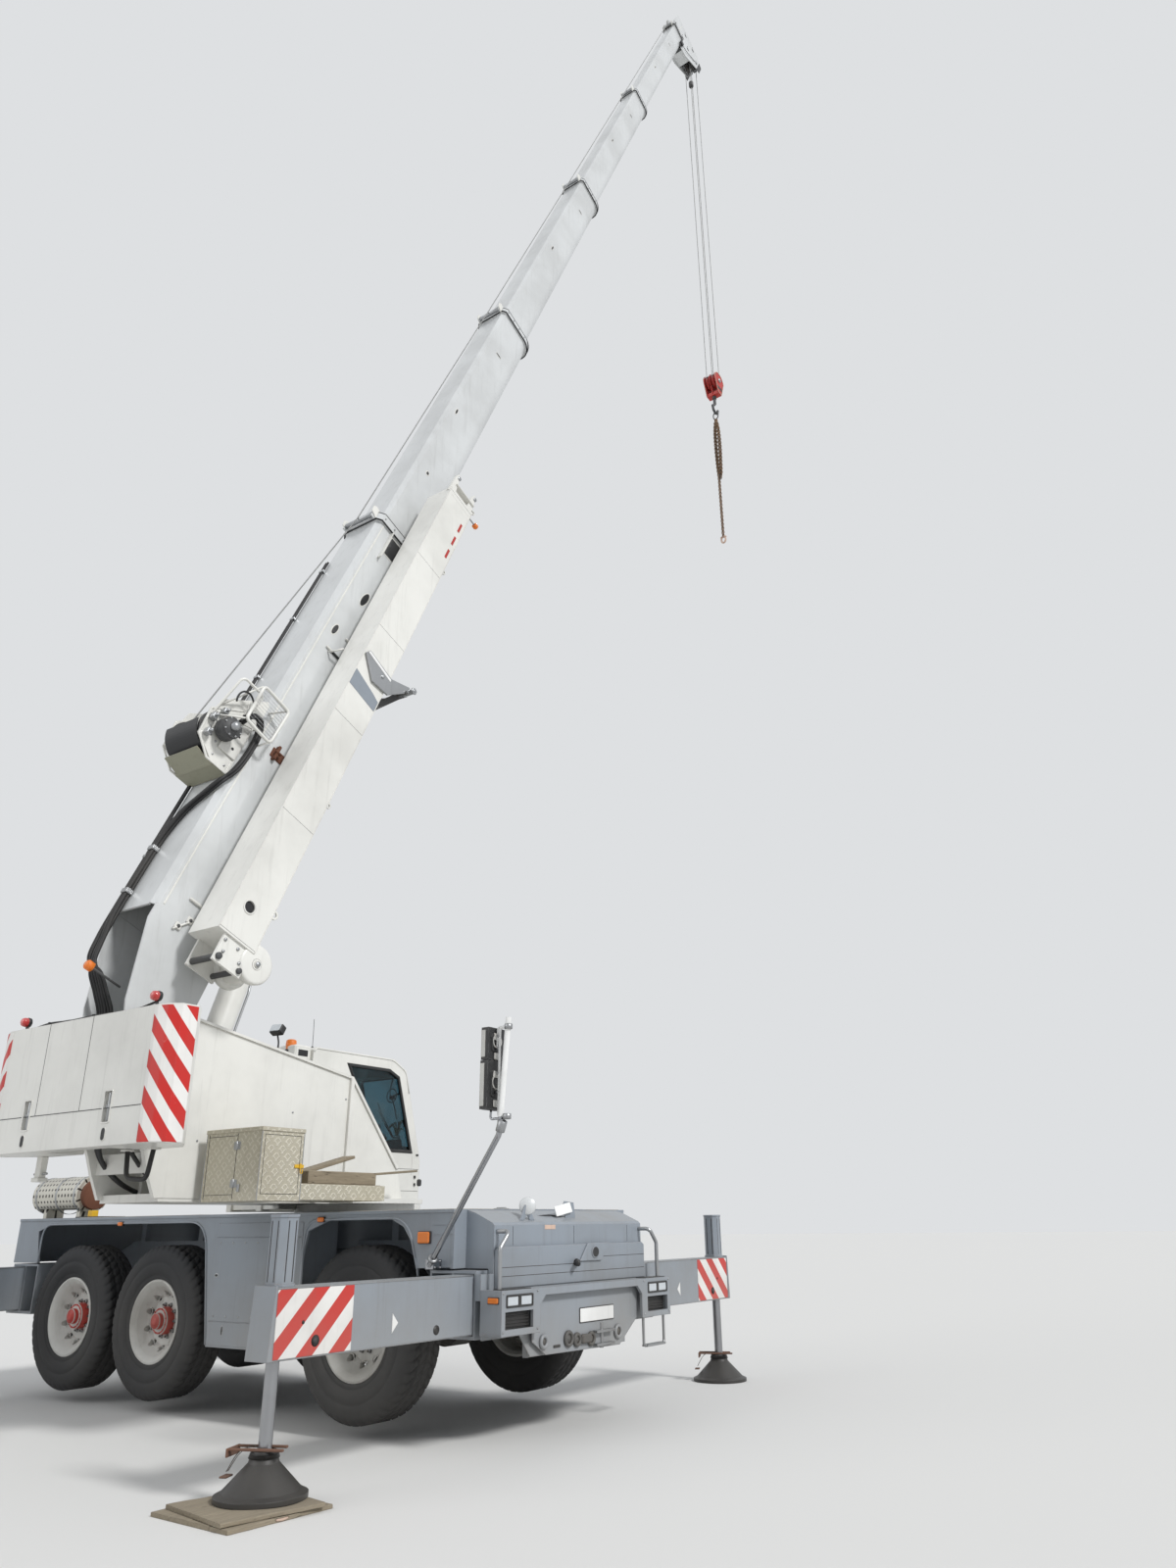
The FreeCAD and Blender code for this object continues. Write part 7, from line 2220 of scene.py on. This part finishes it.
@dataclass
class Jib(Assembly):
    """Fork, foot disc, middle bracket, lugs, lamp and red dashes on the folded extension, and a grey sheet painted as
    the bracket's shadow.
    """

    d: tuple = (1.180, 8.000)
    b: tuple = (-0.860, -0.450)
    t: tuple = (-0.165, 0.275)

    def build(self) -> None:
        """Builds the jib's details."""
        (d0, d1), (b0, b1), (t0, t1) = self.d, self.b, self.t
        shape = Shape("jib_fittings", BOOM)
        face = (b0 - 0.003, b0 + 0.001)
        shape.use(0).band(oval(0.090, d0 + 0.330, 0.068, 0.068, 28), 0.013, face[0] - 0.003, face[1], 1)
        shape.use(2).slab(oval(0.090, d0 + 0.330, 0.052, 0.052, 28), b0 + 0.010, b0 + 0.014, 1)
        wheel = (d0 - 0.060, t0 - 0.070)
        for b, out in ((b0 + 0.020, -1), (b1 - 0.020, 1)):
            shape.use(0).lathe([(0.001, 0.014), (0.150, 0.014), (0.172, 0.008), (0.178, -0.006), (0.172, -0.060),
                                (0.150, -0.070), (0.001, -0.070)], (wheel[0], b, wheel[1]), (0, out, 0), 48)
            shape.use(3).lathe([(0.001, 0.040), (0.022, 0.038), (0.026, 0.012)], (wheel[0], b, wheel[1]), (0, out, 0),
                               20)
            shape.use(0).band(oval(wheel[1], wheel[0], 0.050, 0.050, 24), 0.022, b, b + out * 0.016, 1)
        for d in (1.62, 2.95, 6.77, 8.05):
            big = 0.045 if d < 2 else 0.032
            shape.use(0).band(oval(t0 - 0.018, d, big, big, 20), big * 0.45, b0 + 0.02, b0 + 0.036, 1)
        for d in np.arange(d0 + 0.02, d1, 1.35):
            shape.use(2).block((d, b0 - 0.0008, t0 + 0.006), (d + 0.003, b0 + 0.001, t1 - 0.006), 0.0003)
        for z in (t0, t1 - 0.008):
            shape.use(0).block((d0 + 0.01, b0 - 0.006, z), (d1 - 0.01, b0 + 0.002, z + 0.008), 0.002)
        for x in (6.95, 7.22, 7.49):
            shape.use(4).block((x, b0 - 0.0022, t0 + 0.05), (x + 0.16, b0 + 0.001, t0 + 0.085), 0.0006)
        post = [(4.765, 0.262), (4.835, 0.225), (4.775, -0.160), (4.900, -0.420), (4.850, -0.450), (4.640, -0.270),
                (4.560, -0.205), (4.535, 0.040)]
        shape.use(3).slab(upright(post), b0 - 0.030, b0 - 0.006, 1, 0.004)
        shape.use(1).slab(upright([(4.790, 0.245), (4.820, 0.225), (4.755, -0.160), (4.725, -0.160)]), b0 - 0.034,
                          b0 - 0.029, 1, 0.001)
        # Grey sheet on the jib's face: a painted shadow cast by the bracket's strut.
        shape.use(7).slab(upright([(4.30, 0.262), (4.52, 0.262), (4.44, -0.05), (4.40, -0.155), (4.26, -0.155)]),
                          b0 - 0.002, b0 + 0.001, 1, 0.001)
        arm = [(4.28, t0 - 0.002), (4.42, t0 - 0.002), (4.80, -0.360), (4.93, -0.480), (4.90, -0.520), (4.78, -0.440)]
        for b in (b0 + 0.10, b1 - 0.10):
            shape.use(5).slab(upright(arm), b - 0.006, b + 0.006, 1, 0.003)
        shape.use(3).rod((4.885, b0 - 0.045, -0.470), (4.885, b1 - 0.03, -0.470), 0.030, 16)
        shape.use(5).rod((4.800, b0 - 0.038, -0.395), (4.800, b1 - 0.05, -0.395), 0.020, 12)
        shape.use(3).nut((4.885, b0 - 0.045, -0.470), (0, -1, 0), 0.042, 0.020)
        shape.nut((4.69, b0 - 0.030, -0.05), (0, -1, 0), 0.020, 0.014)
        shape.use(0)
        for d in (7.88, 8.12):
            shape.block((d, b0 - 0.002, t0 + 0.02), (d + 0.014, b1 + 0.002, t1 - 0.05), 0.003)
        shape.use(3).rod((8.262, b0 + 0.010, t1 - 0.055), (8.262, b0 + 0.070, t1 - 0.055), 0.030, 16)
        shape.rod((8.262, b0 + 0.010, t0 + 0.045), (8.262, b0 + 0.070, t0 + 0.045), 0.030, 16)
        shape.use(3).rod((8.02, b0 + 0.10, t0 + 0.01), (8.02, b0 + 0.10, t0 - 0.16), 0.009, 8)
        shape.use(6).lathe([(0.024, 0.0), (0.036, 0.004), (0.036, 0.050), (0.024, 0.064), (0.001, 0.066)],
                           (8.02, b0 + 0.10, t0 - 0.155), (0, 0, -1), 20)
        for d, t in ((d0 - 0.15, t0 + 0.09), (d0 - 0.15, t1 - 0.16), (d0 - 0.05, t0 + 0.16), (d0 - 0.05, t1 - 0.13)):
            shape.use(3).nut((d, b0 + 0.020, t), (0, -1, 0), 0.016, 0.014)
        shape.use(5).rod((d0 - 0.21, b0 - 0.005, t1 - 0.14), (d0 - 0.21, b1 + 0.005, t1 - 0.14), 0.030, 16)
        shape.rod((d0 - 0.21, b0 - 0.005, t0 + 0.06), (d0 - 0.21, b1 + 0.005, t0 + 0.06), 0.026, 16)
        self.finish(shape, Body.BOOM, Style.CREAM, Style.WHITE, Style.BLACK, Style.STEEL, Style.RED, Style.DARK,
                    Lens.AMBER_LENS, Style.GREY, slot="crane_paint")


@dataclass
class Hoist(Assembly):
    """Cylinder glands, hook block dressing, chain slings and the hoist limit weight."""

    block_b: float = 0.150

    def build(self) -> None:
        """Builds the hoist's details."""
        e = math.radians(SIZE.elevation)
        d, t = SIZE.head_d + SIZE.sheave[0], SIZE.sheave[1]
        self.a = SIZE.pivot_a + d * math.cos(e) - t * math.sin(e)
        self.z = SIZE.pivot_z + d * math.sin(e) + t * math.cos(e)
        for job in (self.block, self.slings, self.limit, self.cylinder):
            job()

    def block(self) -> None:
        """Pin caps, cheek rims and rope guards of the hook block, with a black band across it."""
        a, z = self.a, self.z - SIZE.hook_drop
        shape = Shape("hook_block_fittings", UPPER)
        for b, out in ((-self.block_b, -1), (self.block_b, 1)):
            shape.use(0).lathe([(0.001, 0.030), (0.045, 0.028), (0.052, 0.012), (0.052, 0.0)], (a, b, z), (0, out, 0),
                               28)
            rim = [(z + 0.216 * math.sin(v),
                    a + 0.216 * math.cos(v)) for v in np.radians(np.linspace(0, 180, 20))] + [(z - 0.382, a - 0.082),
                    (z - 0.382, a + 0.082)]
            shape.use(1).band(rim, 0.014, b, b + out * 0.008, 1)
            for v in np.radians((30, 90, 150, 215, 325)):
                shape.use(0).nut((a + 0.175 * math.cos(v), b, z + 0.175 * math.sin(v)), (0, out, 0), 0.012, 0.010)
            shape.use(2).slab(rounded(z - 0.265, z - 0.185, a - 0.120, a + 0.120, 0.01), b, b + out * 0.003, 1)
        for v in np.radians((20, 90, 160)):
            p = (a + 0.208 * math.cos(v), z + 0.208 * math.sin(v))
            shape.use(0).rod((p[0], -0.148, p[1]), (p[0], 0.148, p[1]), 0.009, 8)
        self.finish(shape, Body.BLOCK, Style.STEEL, Style.PATCH, Style.BLACK, slot="hook_paint")

    def slings(self) -> None:
        """Master ring and a bundle of eight chain falls below the hook: each link is a closed bar turned a quarter from the last."""
        a, z = self.a, self.z - SIZE.hook_drop - 0.885
        shape = Shape("chain_slings", UPPER)
        shape.use(0).tube(hoop((a, 0, z - 0.075), (0, 0.062, 0), (0, 0, 0.100), 28), 0.013, 8, closed=True)
        for leg in range(8):
            ang, wide = leg * math.pi / 4, 0.060 + 0.014 * (leg % 2)
            count = 62 if leg in (1, 3) else 32 - 2 * (leg % 3)
            for k in range(count):
                spread = wide * (1 - 0.75 * math.exp(-k / 4.0)) * (1 - 0.5 * min(k / 32.0, 1.0) ** 3)
                centre = (a + spread * math.cos(ang), spread * math.sin(ang), z - 0.215 - 0.052 * k)
                turn = ang + (k % 2) * math.pi / 2
                link = hoop(centre, (0.016 * math.cos(turn), 0.016 * math.sin(turn), 0), (0, 0, 0.036), 14)
                shape.use(1).tube(link, 0.0088, 5, closed=True)
        low = z - 0.215 - 0.052 * 62
        shape.use(2).tube(hoop((a, 0.026, low - 0.055), (0, 0.052, 0), (0, 0, 0.085), 28), 0.020, 8, closed=True)
        shape.rod((a, -0.045, low + 0.005), (a, 0.095, low + 0.005), 0.018, 12)
        self.finish(shape, Body.HOOK, Style.DARK, Style.CHAIN, Style.PATCH)

    def limit(self) -> None:
        """Hoist limit weight round one rope fall, hanging by two short chains from the head."""
        shape = Shape("hoist_limit_weight", UPPER)
        a, z = self.a - 0.186, self.z - 0.95
        shape.use(0).lathe([(0.016, 0.0), (0.055, 0.0), (0.062, -0.012), (0.062, -0.150), (0.055, -0.162),
                            (0.016, -0.162)], (a, -0.070, z), UP, 28)
        for s in (-1, 1):
            shape.use(1).tube(np.array([(a, -0.070 + s * 0.040, z - 0.002), (a + 0.004, -0.070 + s * 0.030, z + 0.40),
                                        (a + 0.010, -0.070 + s * 0.022, z + 0.74)]), 0.004, 6)
        self.finish(shape, Body.ROPES, Style.DARK, Style.STEEL)

    def cylinder(self) -> None:
        """Gland bolts, port blocks, pipes and lugs of the lifting cylinder."""
        e = math.radians(SIZE.elevation)
        p = np.array([-2.300, 0.0, 2.000])
        q = np.array([SIZE.pivot_a + 3.1 * math.cos(e) + 0.445 * math.sin(e), 0.0,
                      SIZE.pivot_z + 3.1 * math.sin(e) - 0.445 * math.cos(e)])
        u = unit(q - p)
        n = np.cross(u, (0.0, 1.0, 0.0))
        shape = Shape("lift_cylinder_fittings", UPPER)
        for k in (0.10, 2.004):
            shape.use(0).lathe([(0.126, -0.012), (0.142, -0.010), (0.142, 0.030), (0.126, 0.034)], p + u * k, u, 40)
        for cos, sin in spokes(12):
            shape.use(1).nut(p + u * 2.098 + 0.121 * (cos * n + (0.0, sin, 0.0)), u, 0.010, 0.012)
        lift = -n * 0.132
        run = [p + u * 0.20 + lift, p + u * 0.34 + lift * 1.14, p + u * 1.75 + lift * 1.14, p + u * 1.90 + lift]
        for b in (-0.035, 0.035):
            shape.use(1).tube(np.array([v + (0, b, 0) for v in run]), 0.012, 8)
        for along, deep in ((0.20, 0.165), (1.90, 0.160)):
            shape.use(2).tube(np.array([p + u * along - n * 0.120, p + u * along - n * deep]), 0.034, 6)
        self.finish(shape, Body.BARREL, Style.CREAM, Style.STEEL, Style.DARK)


PARTS: list = [Wheels, Carrier, Outriggers, Superstructure, Cab, Boom, Winch, Jib, Hoist]


class Stage:
    """Floor, world, lights and camera."""

    FOCAL_PX = 1087.2
    PITCH, ROLL, AZIMUTH = 22.465, -0.724, 34.017
    EYE = (8.418, -8.237, 1.561)
    IMAGE = (1200, 1600)

    def build(self) -> None:
        """Builds the stage."""
        self.camera()
        self.floor()
        self.world()
        self.lights()

    def camera(self) -> None:
        """Camera at the photographer's place: solved from the crane's own points in the photograph."""
        data = bpy.data.cameras.new("camera")
        data.sensor_fit = "VERTICAL"
        data.sensor_height = 36.0
        data.lens = 36.0 * self.FOCAL_PX / self.IMAGE[1]
        data.clip_end = 400.0
        cam = bpy.data.objects.new("camera", data)
        az, p, roll = (math.radians(v) for v in (self.AZIMUTH, self.PITCH, self.ROLL))
        fwd = np.array([-math.sin(az) * math.cos(p), math.cos(az) * math.cos(p), math.sin(p)])
        right = np.array([math.cos(az), math.sin(az), 0.0])
        up = np.cross(right, fwd)
        r2 = right * math.cos(roll) + up * math.sin(roll)
        u2 = -right * math.sin(roll) + up * math.cos(roll)
        m = np.eye(4)
        m[:3, 0], m[:3, 1], m[:3, 2], m[:3, 3] = r2, u2, -fwd, self.EYE
        cam.matrix_world = Matrix(m.tolist())
        bpy.context.scene.collection.objects.link(cam)
        bpy.context.scene.camera = cam

    def floor(self) -> None:
        """Pale floor with a plain rough finish, on which the crane's shadow falls."""
        x = np.linspace(-150.0, 150.0, 5)
        grid = np.dstack([*np.meshgrid(x, x, indexing="ij"), np.full((5, 5), -0.001)])
        mat = bpy.data.materials.new("floor")
        mat.use_nodes = True
        shader = mat.node_tree.nodes["Principled BSDF"]
        shader.inputs["Base Color"].default_value = srgb(214, 213, 210)
        shader.inputs["Roughness"].default_value = 0.9
        obj = Shape("floor").grid(grid).done([mat], "")

    def world(self) -> None:
        """Even pale world; camera, mirror and glass rays see the backdrop's colour, all others the light's strength."""
        world = bpy.data.worlds.new("world")
        bpy.context.scene.world = world
        world.use_nodes = True
        tree = world.node_tree
        tree.nodes.clear()
        g = Graph(tree)
        path = g.node("LightPath")
        through = g.math("MAXIMUM", path.outputs["Is Glossy Ray"], path.outputs["Is Transmission Ray"])
        seen = g.math("MAXIMUM", path.outputs["Is Camera Ray"], through)
        light = g.node("Background", {"Color": srgb(236, 240, 246), "Strength": 0.62})
        shown = g.node("Background", {"Color": srgb(222, 224, 226), "Strength": 1.0})
        mix = g.node("MixShader", {0: seen, 1: light.outputs[0], 2: shown.outputs[0]})
        g.node("OutputWorld", {0: mix.outputs[0]})

    def lights(self) -> None:
        """Broad soft key from the camera's upper right and a weak fill from its left."""
        for name, energy, turn, angle in (("key", 2.25, (50.0, 0.0, 86.0), 10.0),
                                          ("fill", 0.65, (62.0, 0.0, -30.0), 40.0)):
            data = bpy.data.lights.new(name, "SUN")
            data.energy = energy
            data.angle = math.radians(angle)
            obj = bpy.data.objects.new(name, data)
            obj.rotation_euler = [math.radians(v) for v in turn]
            bpy.context.scene.collection.objects.link(obj)


def dress_nodes(frame: dict, mats: Materials) -> None:
    """Gives every node of the frame its finish.

    Args:
        mats: material maker.
    """
    plain = {
        "axle_": Style.DARK, "knuckle_": Style.DARK, "rim_": Style.RIM, "tyre_": Style.RUBBER, "chassis_frame": Style.GREY, "deck_body": Style.GREY,
        "nose_cowl": Style.GREY, "front_bumper": Style.GREY, "head_lamps": Style.CHROME, "front_fittings": Style.STEEL, "engine_block": Style.DARK,
        "outrigger_beam_": Style.GREY, "outrigger_jack_": Style.DARK, "turntable_frame": Style.CREAM, "counterweight": Style.CREAM,
        "cab_": Style.CREAM, "boom_": Style.BOOM, "head_sheaves": Style.DARK, "winch_frame": Style.CREAM, "winch_drum": Style.DARK, "jib": Style.CREAM,
        "lift_cylinder": Style.CREAM, "lift_rod": Style.CHROME, "hook_block": Style.RED, "hook": Style.DARK, "mirror_arm": Style.STEEL,
        "silencer": Style.STEEL, "toolbox": Style.STEEL,
    }
    special: dict[str, Callable[[], bpy.types.Material]] = {
        "toolbox": mats.chequer, "silencer": mats.perforated, "timber_mat": mats.timber, "cab_glass": mats.glass, "hoist_ropes": mats.rope,
    }
    for name, obj in frame["nodes"].items():
        if name in special:
            mat = special[name]()
        else:
            mat = mats.paint(next(style for key, style in plain.items() if name.startswith(key)))
        obj.data.materials.clear()
        obj.data.materials.append(mat)
        for face in obj.data.polygons:
            face.material_index = 0


def main() -> None:
    """Loads the frame, builds the looks in order and closes the script."""
    logging.basicConfig(level=logging.INFO, format="%(message)s")
    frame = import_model()
    bpy.context.scene.view_settings.view_transform = "Standard"
    mats = Materials()
    Stage().build()
    dress_nodes(frame, mats)
    for part in PARTS:
        part(frame, mats).build()


if __name__ == "__main__":
    main()
